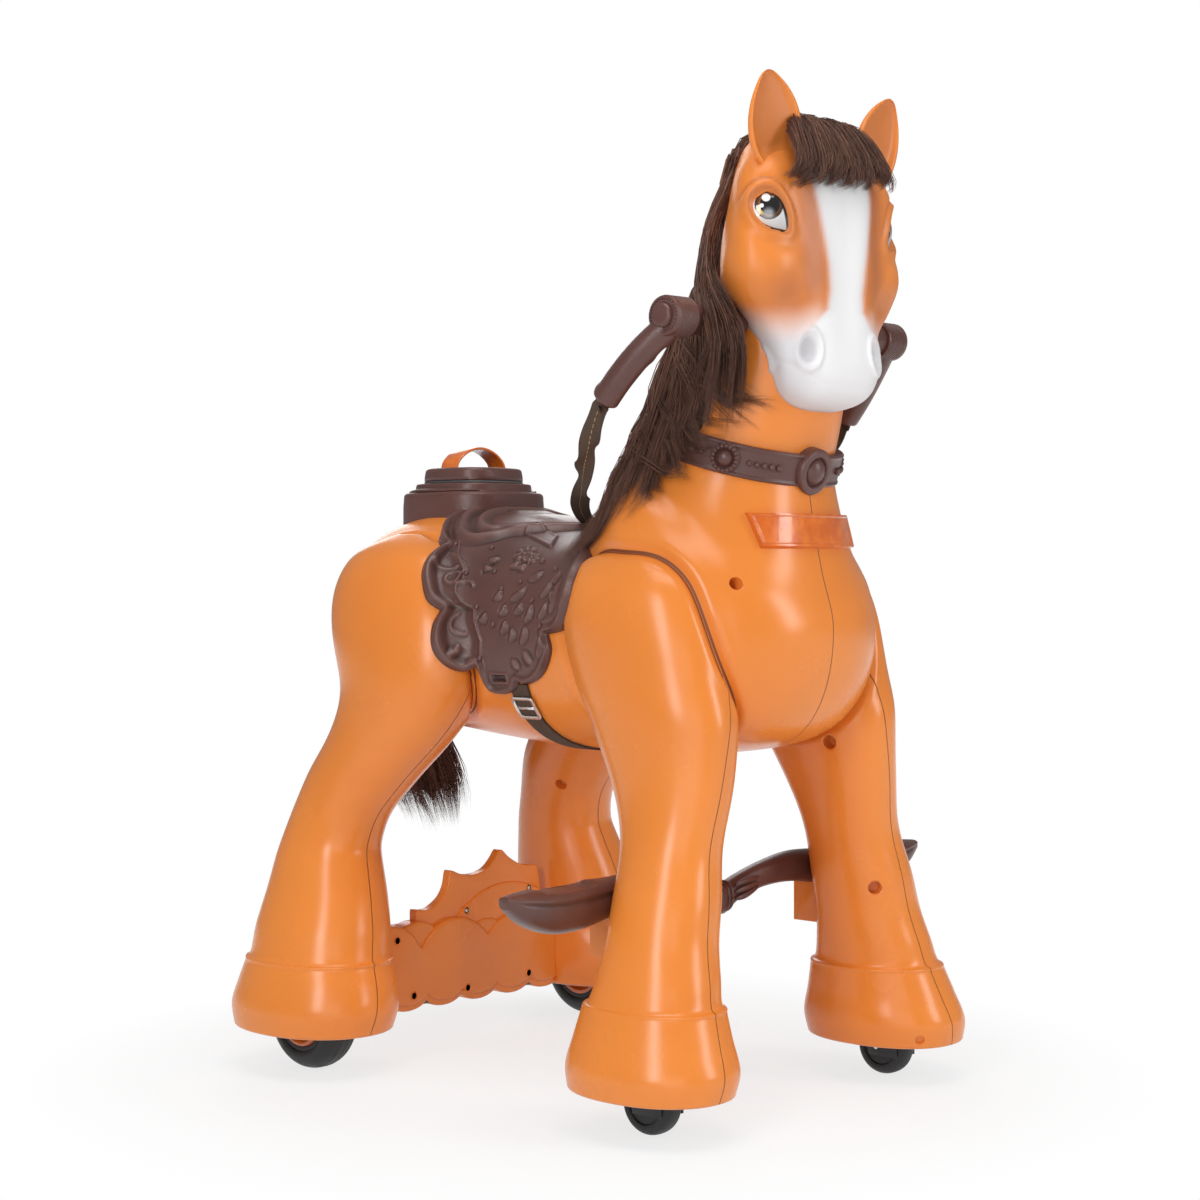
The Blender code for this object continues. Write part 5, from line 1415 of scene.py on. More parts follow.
def make_cantle():
    rows = [(0.0745, 0.560), (0.0742, 0.634), (0.0738, 0.6395)] + edge_round(0.0735, 0.6505, 0.0050)
    rows += [(0.0628, 0.6506), (0.0618, 0.6511), (0.0613, 0.6525)] + edge_round(0.0606, 0.6610, 0.0025)
    rows += [(0.0500, 0.6610), (0.0474, 0.6600), (0.0474, 0.590)]
    cantle = stacked("cantle_steps", rows, BROWN, "horse")
    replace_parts(cantle, "cantle")
    lid = [(0.0370, 0.6550), (0.0424, 0.6546), (0.0426, 0.6642), (0.0515, 0.6644)]
    lid += [(0.0520, 0.6650), (0.0516, 0.6700)] + edge_round(0.0508, 0.6794, 0.0045)
    lid += [(0.0420, 0.6796), (0.0400, 0.6790), (0.0380, 0.6796), (0.0180, LID_TOP), (0.0002, LID_TOP)]
    cover = stacked("hatch_lid", lid, BROWN, "lid")
    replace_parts(cover, "cantle_lid")


make_cantle()
print("cantle and lid made, top at", LID_TOP)


# %% Leaves and strap
def tapered(path, radius, up, flat=0.6):
    """A ridge that swells in its middle and runs out at both ends."""
    path = eased(path, 8)
    t = np.linspace(0, 1, len(path))
    swell = np.sin(math.pi * t) ** 0.6 * 0.92 + 0.08
    angle = full_turn(16)
    section = np.stack([np.cos(angle) * radius, np.sin(angle) * radius * flat], -1)
    return swept(path, section, np.asarray(up, float), scale=swell)


def joined(name, skins, finish, body="horse"):
    """Several skins as one piece."""
    points = []
    faces = []
    for skin in skins:
        base = sum(len(p) for p in points)
        points.append(skin.points.reshape(-1, 3))
        faces += [[base + i for i in face] for face in skin.faces()]
    piece = tidy(mesh_piece(name, np.vstack(points), faces, finish, body))
    return piece


# Paths from the cantle's middle, with their half width.
CANTLE_LEAVES = ((((-0.058, 0.040, 0.6510), (-0.050, 0.054, 0.6515), (-0.020, 0.0660, 0.6525),
                   (0.020, 0.0655, 0.6520), (0.044, 0.0575, 0.6525), (0.056, 0.0430, 0.6515)), 0.0034),
                 (((-0.010, 0.0715, 0.6470), (0.022, 0.0700, 0.6480), (0.048, 0.0620, 0.6500)), 0.0030))


def make_cantle_leaves():
    """A ridge that winds round the lower step, and a shorter one below it."""
    skins = []
    for _, side in SIDES:
        for path, radius in CANTLE_LEAVES:
            line = np.array(path) * (1, side, 1) + (CANTLE_X, 0, 0)
            skins.append(tapered(line, radius, (0, 0, 1)))
    joined("cantle_leaves", skins, BROWN)


def make_lid_strap():
    t = np.linspace(0, 1, 81)
    rise = STRAP_RISE * np.sin(math.pi * t) ** 0.55
    path = blurred(np.stack([np.full(81, CANTLE_X), STRAP_LENGTH * (t - 0.5), LID_TOP - 0.001 + rise], -1), 3)
    upright = np.full(len(path), math.pi / 2)
    strap = swept(path, round_box(0.0138, 0.0015, 0.0012), np.array([1.0, 0, 0]), upright)
    piece = strap.piece("lift_strap", TRIM, "lid", 40)
    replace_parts(piece, "lid_strap")


make_cantle_leaves()
make_lid_strap()
print("leaves and strap made")

# %% [markdown]
# ## Grips, buttons and footrest
#
# A grip is a drum on an arm, with a handle that curves back and down: grained outside and wavy under
# the fingers. The drum's end carries a ring of fine beads round the thumb button, which rides on its
# own sliding body. The footrest bar swells into a boat-shaped pad at each end.

# %% Grips and buttons
GRIP = np.array([0.2790, 0.191, 0.81075])
GRIP_PATH = np.array(((0.000, -0.016, -0.006), (-0.016, -0.008, -0.020), (-0.036, 0.000, -0.040),
                      (-0.056, 0.005, -0.062), (-0.074, 0.007, -0.083)))


def make_grip(word, side):
    path = (blurred(eased(GRIP_PATH, 16), 6) + GRIP) * (1, side, 1)
    angle = full_turn(48)
    sections = []
    under = smooth(-np.sin(angle), 0.1, 0.8)
    for share in np.linspace(0, 1, len(path)):
        wave = 0.0017 * math.cos(math.tau * (share * 4.3 + 0.15)) * smooth(share, 0.10, 0.2)
        radius = 0.0145 + 0.0008 * math.sin(math.pi * share) + wave * under
        end = 1 - 0.35 * smooth(share, 0.94, 1.0)
        sections.append(np.stack([np.cos(angle) * radius * end * 0.93, np.sin(angle) * radius * end], -1))
    handle = swept(path, np.array(sections), np.array([1.0, 0, 0.9]))
    tip = handle.points[-1]
    middle = tip.mean(axis=0)
    caps = [middle + (tip - middle) * share + (path[-1] - path[-2]) * (1 - share) * 0.6
            for share in (0.85, 0.55, 0.1)]
    handle.points = np.concatenate([handle.points, caps])
    drum = [(0.0, -0.0005), (0.0128, -0.0005), (0.0131, 0.0), (0.0150, 0.0004), (0.0158, -0.0004),
            (0.0184, -0.0004), (0.0196, -0.0010), (0.0203, -0.0024), (0.0205, -0.0045)]
    for k in range(6):
        start = -0.008 - 0.0042 * k
        drum += [(0.0205, start), (0.0199, start - 0.0006), (0.0199, start - 0.0012),
                 (0.0205, start - 0.0018)]
    drum += [(0.0205, -0.0325), (0.0195, -0.0340), (0.0166, -0.0348), (0.0164, -0.0400), (0.0158, -0.0560),
             (0.0164, -0.0780), (0.0165, -0.112)]
    place = GRIP * (1, side, 1)
    drum_piece = turned(f"grip_drum_{word}", drum, place, (0, side, 0), BROWN, "horse", 96, 34)
    piece = handle.piece(f"grip_handle_{word}", BROWN)
    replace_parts(piece, f"grip_{word}")
    ring = [(place + 0.0171 * np.array([math.cos(turn), 0, math.sin(turn)]), 0.0012, (0, side, 0))
            for turn in full_turn(30)]
    beads(f"grip_beads_{word}", ring)
    button = [(0.0, 0.0041), (0.004, 0.0042), (0.0070, 0.0045), (0.0084, 0.0045), (0.0102, 0.0041),
              (0.0116, 0.0031), (0.0123, 0.0016), (0.0125, -0.0005), (0.0125, -0.0080), (0.0, -0.0080)]
    knob = turned(f"button_{word}_cap", button, place, (0, side, 0), BROWN, f"button_{word}", 72, 40)
    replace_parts(knob, f"thumb_button_{word}")


for word, side in SIDES:
    make_grip(word, side)
print("grips and buttons made")

# %% Footrest
# Distance from the middle, rise, half depth and half height.
FOOTREST = np.array(((0.000, -0.012, 0.013, 0.017), (0.012, -0.011, 0.012, 0.015),
                     (0.040, 0.000, 0.011, 0.013), (0.080, 0.009, 0.012, 0.014),
                     (0.125, 0.013, 0.014, 0.017), (0.175, 0.009, 0.016, 0.020),
                     (0.225, 0.006, 0.021, 0.024), (0.270, 0.006, 0.023, 0.023),
                     (0.308, 0.012, 0.018, 0.016), (0.334, 0.020, 0.008, 0.006)))
FOOTREST_X = 0.1832
FOOTREST_Z = 0.217
TREAD_Z = 0.2422
TREAD_DEPTH = 0.0016


def make_footrest():
    half = eased(FOOTREST, 14)
    out, rise, depth, height = half[-1]
    caps = [(out + 0.0012 * (1 - share), rise, depth * share, height * share) for share in (0.8, 0.5, 0.1)]
    half = np.vstack([half, caps])
    rows = np.vstack([half[:0:-1] * (-1, 1, 1, 1), half])
    u, v = squared(96, 2.6)
    rings = []
    low = []
    for y, rise, depth, height in rows:
        bow = 0.019 * (y / 0.334) ** 2
        out = abs(y)
        z = FOOTREST_Z + rise + height * v
        flat = smooth(out, 0.200, 0.210) * (1 - smooth(out, 0.284, 0.294))
        within = smooth(1 - np.abs(u), 0.16, 0.30)
        top = TREAD_Z - TREAD_DEPTH * within * smooth(out, 0.214, 0.220)
        top = top + TREAD_DEPTH * smooth(out, 0.272, 0.278) * within
        z = np.where(flat > 0, np.minimum(z, top + (1 - flat) * 0.006), z)
        pad = smooth(out, 0.13, 0.19)
        crease = hump(v - 0.30, 0.10) * pad * (1 - smooth(out, 0.312, 0.328))
        x = FOOTREST_X + bow + depth * u * (1 + 0.10 * pad * smooth(v, 0.25, 0.55)) * (1 - 0.05 * crease)
        rings.append(np.stack([x, np.full(96, y), z], -1))
        # Painted shade: the pad's crease is darkened.
        low.append(0.7 * crease)
    skin = Skin(rings)
    skin.mark("low", np.array(low))
    bar = skin.piece("footrest_moulding", BROWN)
    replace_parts(bar, "footrest_bar")
    make_footrest_wrap()


def make_footrest_wrap():
    """Rings round the middle of the bar, and ridges that run out of them."""
    rings = []
    angle = math.tau * np.arange(41) / 40
    turn = full_turn(10)
    for y, size in ((-0.0155, 0.0016), (-0.0095, 0.0013), (0.0095, 0.0013), (0.0155, 0.0016)):
        rise, reach, tall = read_off(FOOTREST, abs(y))
        line = np.stack([FOOTREST_X + reach * np.cos(angle), np.full(41, y),
                         FOOTREST_Z + rise + tall * np.sin(angle)], -1)
        section = np.stack([np.cos(turn), np.sin(turn)], -1) * size * 1.6
        rings.append(swept(line, section, np.array([0, 1.0, 0])))
    for _, side in SIDES:
        for lift in (0.9, 0.2, -0.5):
            start = np.array([FOOTREST_X + 0.0128, side * 0.019, FOOTREST_Z - 0.007 + 0.011 * lift])
            middle = start + (0.0012, side * 0.016, 0.003)
            tip = start + (-0.0012, side * 0.042, 0.008 - 0.004 * lift)
            rings.append(tapered(np.array([start, middle, tip]), 0.0034, (1, 0, 0), 0.7))
    joined("footrest_wrap", rings, BROWN)


make_footrest()
print("footrest made")

# %% [markdown]
# ## Rein and girth
#
# The rein is one flat webbing strap from grip to grip that hangs to the saddle and turns on edge on
# its way. It follows the same path as its solid. A tan thread runs down its middle. The girth is a
# shorter strap that passes under the belly.

# %% Webbing
def make_webbing():
    finish = Finish("brown_webbing", Roughness=0.8)
    across, along, _ = finish.flat().parts()
    weave = (along * 5200.0).sine() * ((across * 5200.0).sine())
    colour = finish.mix(weave.rise(-1.0, 1.0), (0.060, 0.034, 0.021), (0.105, 0.064, 0.042))
    edge = abs(across).rise(0.0085, 0.0100)
    colour = finish.mix(edge * 0.4, colour, (0.045, 0.025, 0.015))
    dash = ((along * 900.0).sine()).rise(-0.55, -0.25)
    thread = (1.0 - abs(across).rise(0.00035, 0.00065)) * dash
    colour = finish.mix(thread * finish.mark("stitched"), colour, (0.42, 0.27, 0.12))
    finish.feed(Base_Color=colour)
    finish.bump(weave * 0.3 + thread * 0.8, 0.0004)
    return finish.material


WEBBING = make_webbing()


def strap_piece(name, skin, across, along, stitched=1.0):
    """Strap with its own map, from its points' places across and along it."""
    skin.mark("stitched", np.full(skin.points.shape[:2], stitched))
    piece = mesh_piece(name, skin.points, skin.faces(), WEBBING, "horse", skin.marks, 50)
    flats = np.stack(np.broadcast_arrays(across[None, :], along[:, None]), -1)
    lay_flat(piece, flats.reshape(-1, 2))
    return piece


print("made", WEBBING.name)


# %% Rein
REIN_HALF_WIDTH = 0.0105
REIN_HALF_THICK = 0.0008


def make_rein():
    lean = unit(GRIP_PATH[-1] - eased(GRIP_PATH, 3)[-2])
    start = GRIP + GRIP_PATH[-1] + lean * 0.0004
    rest = torso_point(0.508, 0.915) + (0, 0, 0.0104)
    shares = np.array(((0.907, 0.990, 0.764), (0.765, 0.900, 0.527), (0.519, 0.680, 0.308),
                       (0.251, 0.434, 0.156), (0.076, 0.200, 0.030)))
    lead = [start, start + lean * 0.004, start + lean * 0.008]
    half = np.vstack([lead, rest + shares * (start - rest), [rest]])
    path = eased(np.vstack([half, half[-2::-1] * (1, -1, 1)]), 12)
    length = run_along(path)
    total = length[-1]
    away = np.minimum(length, total - length)
    along = unit(np.gradient(path, axis=0))
    turns = 1.25 * hump(away - 0.062, 0.020) - 0.9 * hump(away - 0.135, 0.030)
    turns = turns * np.where(length < total / 2, 1.0, -1.0)
    wide = np.linspace(-REIN_HALF_WIDTH, REIN_HALF_WIDTH, 9)
    thick = np.full(len(wide), REIN_HALF_THICK)
    section = np.vstack([np.stack([wide[::-1], thick], -1), np.stack([wide, -thick], -1)])
    ups = np.cross(np.array([1.0, 0, 0]) - along * along[:, :1], along)
    skin = swept(path, section, ups, turns)
    rein = strap_piece("rein_webbing", skin, section[:, 0], length)
    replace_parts(rein, "rein_strap")
    return total


print("rein", round(make_rein(), 4), "m long")


# %% Girth and buckles
GIRTH_HALF_WIDTH = 0.013
GIRTH_OUTSIDE = 0.0027
GIRTH_INSIDE = 0.0003
BUCKLE_HALF_WIDTH = 0.0145
BUCKLE_BAR = 0.0022
BUCKLE_LIFT = 0.0042
BUCKLE_ROUND = 0.004


def make_girth():
    """Strap under the belly from buckle to buckle, and the buckles."""
    low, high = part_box("girth_strap")
    middle = (low[0] + high[0]) / 2
    top = high[2] + 0.012
    spokes = np.radians(np.linspace(-118, 118, 161))
    axis = np.array([middle, 0, 0.50])
    columns = np.linspace(-GIRTH_HALF_WIDTH, GIRTH_HALF_WIDTH, 9)
    line = []
    for spoke in spokes:
        way = np.array([0, math.sin(spoke), -math.cos(spoke)])
        hit = on_skin(barrel_tree, axis + way * 0.4, -way)
        if hit[2] < top:
            line.append((np.array(hit), way))
    points = []
    for spot, way in line:
        outer = [spot + (dx, 0, 0) + way * GIRTH_OUTSIDE for dx in columns[::-1]]
        inner = [spot + (dx, 0, 0) + way * GIRTH_INSIDE for dx in columns]
        points.append(outer + inner)
    skin = Skin(points)
    wide = np.concatenate([columns[::-1], columns]) * 0.8
    girth_piece = strap_piece("girth_webbing", skin, wide, run_along(skin.points[:, 4]), 0.0)
    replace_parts(girth_piece, "girth_strap")
    for word, side in SIDES:
        low, high = [np.array(corner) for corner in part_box(f"girth_buckle_{word}")]
        out = np.array([0, side * 0.86, -0.5])
        corners = []
        for z in (high[2] - BUCKLE_BAR, low[2] + BUCKLE_BAR):
            for x in (middle - BUCKLE_HALF_WIDTH, middle + BUCKLE_HALF_WIDTH):
                spot = np.array(on_skin(barrel_tree, (x, side * 0.5, z), (0, -side, 0)))
                corners.append(spot + out * BUCKLE_LIFT)
        a, b, c, d = corners
        ring = []
        loop = [a, b, d, c]
        for before, here, after in zip(loop[-1:] + loop[:-1], loop, loop[1:] + loop[:1]):
            for s in np.linspace(0, 1, 6):
                turn = (1 - s) ** 2 * unit(before - here) + s ** 2 * unit(after - here)
                ring.append(here + BUCKLE_ROUND * turn)
        buckle = swept(np.array(ring + ring[:1]), round_box(BUCKLE_BAR, 0.0012, 0.0009), out)
        middle_bar = np.array([(a + c) / 2, (a + c + b + d) / 4, (b + d) / 2])
        bar = swept(middle_bar, round_box(0.0017, 0.0011, 0.0008), out)
        piece = joined(f"buckle_{word}_frame", [buckle, bar], STEEL)
        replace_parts(piece, f"girth_buckle_{word}")


make_girth()
print("girth and buckles made")

# %% [markdown]
# ## Saddle
#
# The saddle lies over the back like a thick skin. Its ground shape is measured by rays shot at barrel
# and legs from outside, softened, and laid out as distance along the back (x) and distance down from
# the ridge (s). On that flat pattern the scalloped outline is a fan of lines from the flap's middle, and
# the tooling is a height map: a rolled rim, dished lobes with scrolls, a raised panel with a flower and
# leaf strokes, and rolls and pads on the seat. The pattern is traditional leaf work and the small
# plate is bare.

# %% Saddle ground
SADDLE_X = 0.02334
SADDLE_THICK = 0.0078
FLAP_Z = 0.535
FLAP = (((-0.132, 0.0), (-0.136, 0.025), (-0.148, 0.055), (-0.1386, 0.087), (-0.1202, 0.114),
         (-0.1020, 0.130), (-0.0918, 0.135)),
        ((-0.0918, 0.135), (-0.0905, 0.150), (-0.0850, 0.170), (-0.0769, 0.185), (-0.0670, 0.199),
         (-0.0536, 0.207)),
        ((-0.0536, 0.207), (-0.0556, 0.222), (-0.0527, 0.240), (-0.0455, 0.254), (-0.0362, 0.264),
         (-0.0260, 0.268), (-0.0155, 0.264)),
        ((-0.0155, 0.264), (-0.0100, 0.281), (-0.0032, 0.292), (0.0101, 0.297), (0.0250, 0.295),
         (0.0350, 0.290), (0.0420, 0.281)),
        ((0.0420, 0.281), (0.0530, 0.284), (0.0672, 0.280), (0.0800, 0.271), (0.0893, 0.258),
         (0.0934, 0.243), (0.0886, 0.227)),
        ((0.0886, 0.227), (0.1060, 0.224), (0.1240, 0.214), (0.1360, 0.197), (0.1410, 0.176),
         (0.1380, 0.153), (0.1280, 0.134), (0.1120, 0.124)),
        ((0.1120, 0.124), (0.1100, 0.100), (0.1080, 0.060), (0.1070, 0.030), (0.1070, 0.0)))
GROUND_STEP = 0.003
GROUND_X = np.arange(-0.165, 0.172, GROUND_STEP)
GROUND_TURN = np.radians(np.arange(0, 141, 1.0))
GROUND_AXIS = 0.490
GROUND_FAR = 0.45


def make_ground():
    """Distance from the body's axis to the outermost skin, by x and by angle from straight up."""
    reach = np.zeros((len(GROUND_X), len(GROUND_TURN)))
    trees = [barrel_tree, leg_trees["front", -1], leg_trees["rear", -1]]
    for i, x in enumerate(GROUND_X):
        for j, turn in enumerate(GROUND_TURN):
            way = Vector((0, -math.sin(turn), math.cos(turn)))
            start = Vector((x, 0, GROUND_AXIS)) + way * GROUND_FAR
            hits = [tree.ray_cast(start, -way, GROUND_FAR) for tree in trees]
            reach[i, j] = max([GROUND_FAR - hit[3] for hit in hits if hit[0] is not None] + [0.05])
    for _ in range(10):
        reach = blurred(reach, 1)
        wide = np.concatenate([reach[:, 1:2], reach, reach[:, -1:]], 1)
        reach = 0.25 * wide[:, :-2] + 0.5 * wide[:, 1:-1] + 0.25 * wide[:, 2:]
    skin = reach
    for _ in range(70):
        reach = np.maximum(skin, blurred(reach, 1))
    return reach


GROUND = make_ground()
row = GROUND[np.argmin(np.abs(GROUND_X - SADDLE_X))] + 0.008
ROW_Y = row * np.sin(GROUND_TURN)
ROW_Z = GROUND_AXIS + row * np.cos(GROUND_TURN)
ROW_S = run_along(np.stack([ROW_Y, ROW_Z], -1))


def down_from(z):
    """Distance down from the ridge at a height."""
    return np.interp(-np.asarray(z), -ROW_Z, ROW_S)


def ground_point(x, s):
    """Point on the softened skin for a place on the flat pattern."""
    turn = np.interp(s, ROW_S, GROUND_TURN)
    i = np.clip((x - GROUND_X[0]) / GROUND_STEP, 0, len(GROUND_X) - 1.001)
    j = np.clip(turn / GROUND_TURN[1], 0, len(GROUND_TURN) - 1.001)
    low_i = i.astype(int)
    low_j = j.astype(int)
    a = i - low_i
    b = j - low_j
    reach = ((1 - a) * (1 - b) * GROUND[low_i, low_j] + a * (1 - b) * GROUND[low_i + 1, low_j]
             + (1 - a) * b * GROUND[low_i, low_j + 1] + a * b * GROUND[low_i + 1, low_j + 1])
    return np.stack([x, -reach * np.sin(turn), GROUND_AXIS + reach * np.cos(turn)], -1)


def flap_outline(count):
    """Scalloped outline on the flat pattern, back along the ridge, in even steps."""
    line = np.vstack([eased(lobe, 12)[:-1] for lobe in FLAP] + [FLAP[-1][-1:]])
    line = np.vstack([line, np.linspace(line[-1], line[0], 80)[1:]])
    along = run_along(line)
    even = along[-1] * np.arange(count) / count
    outline = np.stack([np.interp(even, along, line[:, 0]), np.interp(even, along, line[:, 1])], -1)
    outline[outline[:, 1] < 0.001, 1] = 0.0
    return outline


print("saddle ground", GROUND.shape, "ridge at", round(ROW_Z[0], 4))

# %% Saddle tooling
PANEL_EDGE = np.array(((0.000, -0.165), (0.036, -0.152), (0.066, -0.137), (0.096, -0.112), (0.114, -0.092),
                       (0.126, -0.0814), (0.144, -0.0681), (0.162, -0.0490), (0.177, -0.0506),
                       (0.189, -0.0461), (0.198, -0.0367), (0.203, -0.0190), (0.216, -0.0167),
                       (0.237, -0.0064), (0.252, -0.0071), (0.264, -0.0032), (0.300, -0.0032)))
STUDS = ((-0.0842, 0.129), (-0.0347, 0.126), (-0.0075, 0.159), (-0.0444, 0.165), (0.0540, 0.144),
         (0.0858, 0.156), (0.0374, 0.171), (0.0133, 0.180), (0.0648, 0.192), (-0.0160, 0.201),
         (0.0110, 0.219), (0.0824, 0.219), (-0.0072, 0.255))
STROKES = ((-0.0181, 0.144, 22, 7), (-0.0201, 0.156, -30, 5), (0.0162, 0.150, 36, 7), (0.0287, 0.153, 36, 6),
           (0.0119, 0.188, 52, 7), (0.0414, 0.186, 38, 13), (0.0578, 0.165, 28, 11), (0.0854, 0.180, 58, 13),
           (0.1002, 0.189, -48, 8), (0.0639, 0.207, 70, 11), (0.0865, 0.203, 58, 11), (0.1084, 0.190, 66, 18),
           (-0.0044, 0.213, 46, 7), (0.0280, 0.222, 70, 8), (0.0409, 0.230, 80, 8), (0.0585, 0.230, 76, 11),
           (0.0630, 0.254, -50, 10), (0.0824, 0.242, 76, 13), (0.0444, 0.262, -46, 8), (0.0470, 0.202, 50, 8),
           (0.0980, 0.168, 40, 9), (0.0240, 0.204, 60, 7), (-0.0340, 0.247, 60, 7))
FLOWERS = ((0.0172, 0.132, 0.0150), (0.0355, 0.139, 0.0085))
SCROLLS = ((-0.0561, 0.172, 0.0068, 0, 360), (-0.0304, 0.219, 0.0115, 120, 300),
           (-0.0700, 0.152, 0.0120, 200, 330), (-0.0380, 0.186, 0.0120, 30, 150))
ROLLS = ((((0.090, 0.034), (0.045, 0.042), (0.010, 0.056), (-0.0205, 0.080), (-0.039, 0.091),
           (-0.0518, 0.104), (-0.0724, 0.113), (-0.0914, 0.106), (-0.1014, 0.096), (-0.1245, 0.066),
           (-0.134, 0.036), (-0.137, 0.0)), 0.0066, 0.0058),
         (((0.085, 0.016), (0.030, 0.026), (-0.010, 0.042), (-0.0366, 0.066), (-0.0540, 0.084),
           (-0.0720, 0.090), (-0.0960, 0.075), (-0.1116, 0.048), (-0.1185, 0.015),
           (-0.119, 0.0)), 0.0056, 0.0044))
PLATE = np.array(((-0.0298, 0.060), (0.0315, 0.090), (0.0481, 0.120), (-0.0182, 0.090)))


def line_distance(x, s, line):
    """Distance to an open line of points."""
    flat = np.stack([np.ravel(x), np.ravel(s)], -1)
    best = np.full(len(flat), 1.0)
    for start, end in zip(line[:-1], line[1:]):
        edge = end - start
        t = np.clip(((flat - start) @ edge) / max(edge @ edge, 1e-12), 0, 1)
        best = np.minimum(best, np.linalg.norm(flat - start - t[:, None] * edge, axis=1))
    return best.reshape(np.shape(x))


def tooling(x, s, rim):
    """Height of the saddle's carving over its ground."""
    past = np.interp(s, PANEL_EDGE[:, 0], PANEL_EDGE[:, 1]) - x
    behind = smooth(past, 0.0, 0.014)
    flap = smooth(s, 0.118, 0.130)
    relief = -0.0042 * behind * smooth(rim, 0.0065, 0.0130)
    relief += 0.0016 * hump(past, 0.0018) * flap * smooth(rim, 0.006, 0.012)
    roll = hump(rim - 0.0046, 0.0036) * smooth(s, 0.004, 0.03)
    relief += 0.0032 * roll * (0.35 + 0.65 * smooth(past, -0.03, 0.0))
    relief -= 0.0009 * hump(rim - 0.0105, 0.0024) * (1 - behind) * flap
    for cx, cs, radius, start, end in SCROLLS:
        turn = np.degrees(np.arctan2(cs - s, x - cx)) % 360
        inside = ((turn - start) % 360) <= (end - start)
        relief += 0.0024 * hump(np.hypot(x - cx, s - cs) - radius, 0.0017) * inside
    for cx, cs, lean, half in STROKES:
        c, d = math.cos(math.radians(lean)), math.sin(math.radians(lean))
        along = ((x - cx) * c + (cs - s) * d) / (half / 1000)
        across = -(x - cx) * d + (cs - s) * c - 0.0014 * along ** 2
        wide = 0.0034 * np.sqrt(np.clip(1.05 - along ** 2, 0.05, 1))
        ends = (np.abs(along) < 1) * (1 - along ** 4)
        relief += 0.0032 * hump(across, wide) * ends
        relief -= 0.0011 * hump(np.abs(across) - 1.9 * wide, 0.5 * wide) * ends
    for cx, cs, radius in FLOWERS:
        away = np.hypot(x - cx, s - cs) / radius
        petal = np.cos(3.5 * np.arctan2(cs - s, x - cx)) ** 2
        leaf = (1 - smooth(away, 0.50 + 0.30 * petal, 0.72 + 0.36 * petal)) * smooth(away, 0.22, 0.42)
        relief += 0.0030 * leaf * (0.5 + 0.5 * petal) + 0.0032 * hump(away, 0.20)
    for line, width, tall in ROLLS:
        away = line_distance(x, s, eased(line, 6))
        relief += tall * hump(away, width) - 0.0014 * hump(away - 2.0 * width, 0.6 * width)
    pads = np.sqrt(np.abs(np.sin(math.pi * (x + 0.080) / 0.067)) + 0.02)
    seat = smooth(x, -0.112, -0.095) * (1 - smooth(x, 0.06, 0.09))
    relief += 0.0036 * pads * (1 - smooth(s, 0.020, 0.040)) * seat
    plate = inside_line(x, s, PLATE)
    relief += 0.0026 * smooth(plate, -0.0008, 0.0010) - 0.0010 * smooth(plate, 0.0022, 0.0034)
    slot = np.maximum(np.abs(x - 0.0161) - 0.0105, np.abs(s - 0.2770) - 0.0034)
    relief -= 0.0052 * (1 - smooth(slot, -0.0008, 0.0006))
    return relief + 0.0014 * hump(slot - 0.0016, 0.0011)


print(len(STROKES), "strokes,", len(STUDS), "studs and", len(ROLLS), "rolls on each side")


# %% Saddle and studs
def make_saddle(count=440, rows=100):
    """Both flaps, from rings that shrink to the flap's middle, and the studs on them."""
    outline = flap_outline(count)
    middle = np.array([SADDLE_X + 0.004, down_from(FLAP_Z)])
    share = np.linspace(0, 1, rows) ** 0.86
    share = np.concatenate([share[1:], [1.0, 1.0]])
    flat = middle + (outline - middle)[None] * share[:, None, None]
    edge_line = outline[outline[:, 1] > 0.003]
    rim = np.full(flat.shape[:2], 1.0)
    for chunk in range(0, len(edge_line), 40):
        away = np.linalg.norm(flat[:, :, None] - edge_line[None, None, chunk:chunk + 40], axis=3)
        rim = np.minimum(rim, away.min(axis=2))
    x, s = np.moveaxis(flat, -1, 0)
    small = 0.0015
    toward_x = ground_point(x + small, s) - ground_point(x - small, s)
    toward_s = ground_point(x, s + small) - ground_point(x, np.maximum(s - small, 0))
    normal = np.cross(toward_s, toward_x)
    normal[s < small, 1] = 0.0
    carve = tooling(x, s, rim)
    height = SADDLE_THICK + carve - 0.0050 * (1 - smooth(rim, 0.0, 0.0042)) * smooth(s, 0.002, 0.006)
    height[-2] = 0.0004
    height[-1] = -0.0090
    ridge = outline[:, 1] < 0.002
    height[-2:][:, ridge] = height[-3][ridge]
    right = Skin(ground_point(x, s) + unit(normal) * height[..., None])
    faces = right.faces(False) + [list(range(count))[::-1]]
    faces += [[i + s.size for i in face[::-1]] for face in faces]
    points = np.vstack([right.points, right.points * (1, -1, 1)])
    soft = carve
    for _ in range(6):
        soft = blurred(soft, 1)
        soft = 0.25 * np.roll(soft, 1, 1) + 0.5 * soft + 0.25 * np.roll(soft, -1, 1)
    fine = carve - soft
    # Painted highlight on the tooling's high places, painted shade in its low places.
    marks = {"high": np.tile(np.clip(fine / 0.0010, 0, 1), (2, 1)),
             "low": np.tile(np.clip(-fine / 0.0009, 0, 1), (2, 1))}
    saddle = mesh_piece("tooled_saddle", points, faces, BROWN, "horse", marks)
    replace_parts(tidy(saddle), "saddle")
    spots = []
    for x, s in STUDS:
        place, beside, below = ground_point(np.array([x, x + 0.002, x]), np.array([s, s, s + 0.002]))
        out = unit(np.cross(below - place, beside - place))
        lift = float(tooling(np.array([x]), np.array([s]), np.array([0.02]))[0])
        for _, side in SIDES:
            mirror = np.array([1, -side, 1])
            spots.append(((place + out * (0.0080 + lift)) * mirror, 0.0033, out * mirror))
    beads("saddle_studs", spots, 0.8)
    return len(saddle.data.polygons)


print("saddle faces", make_saddle())

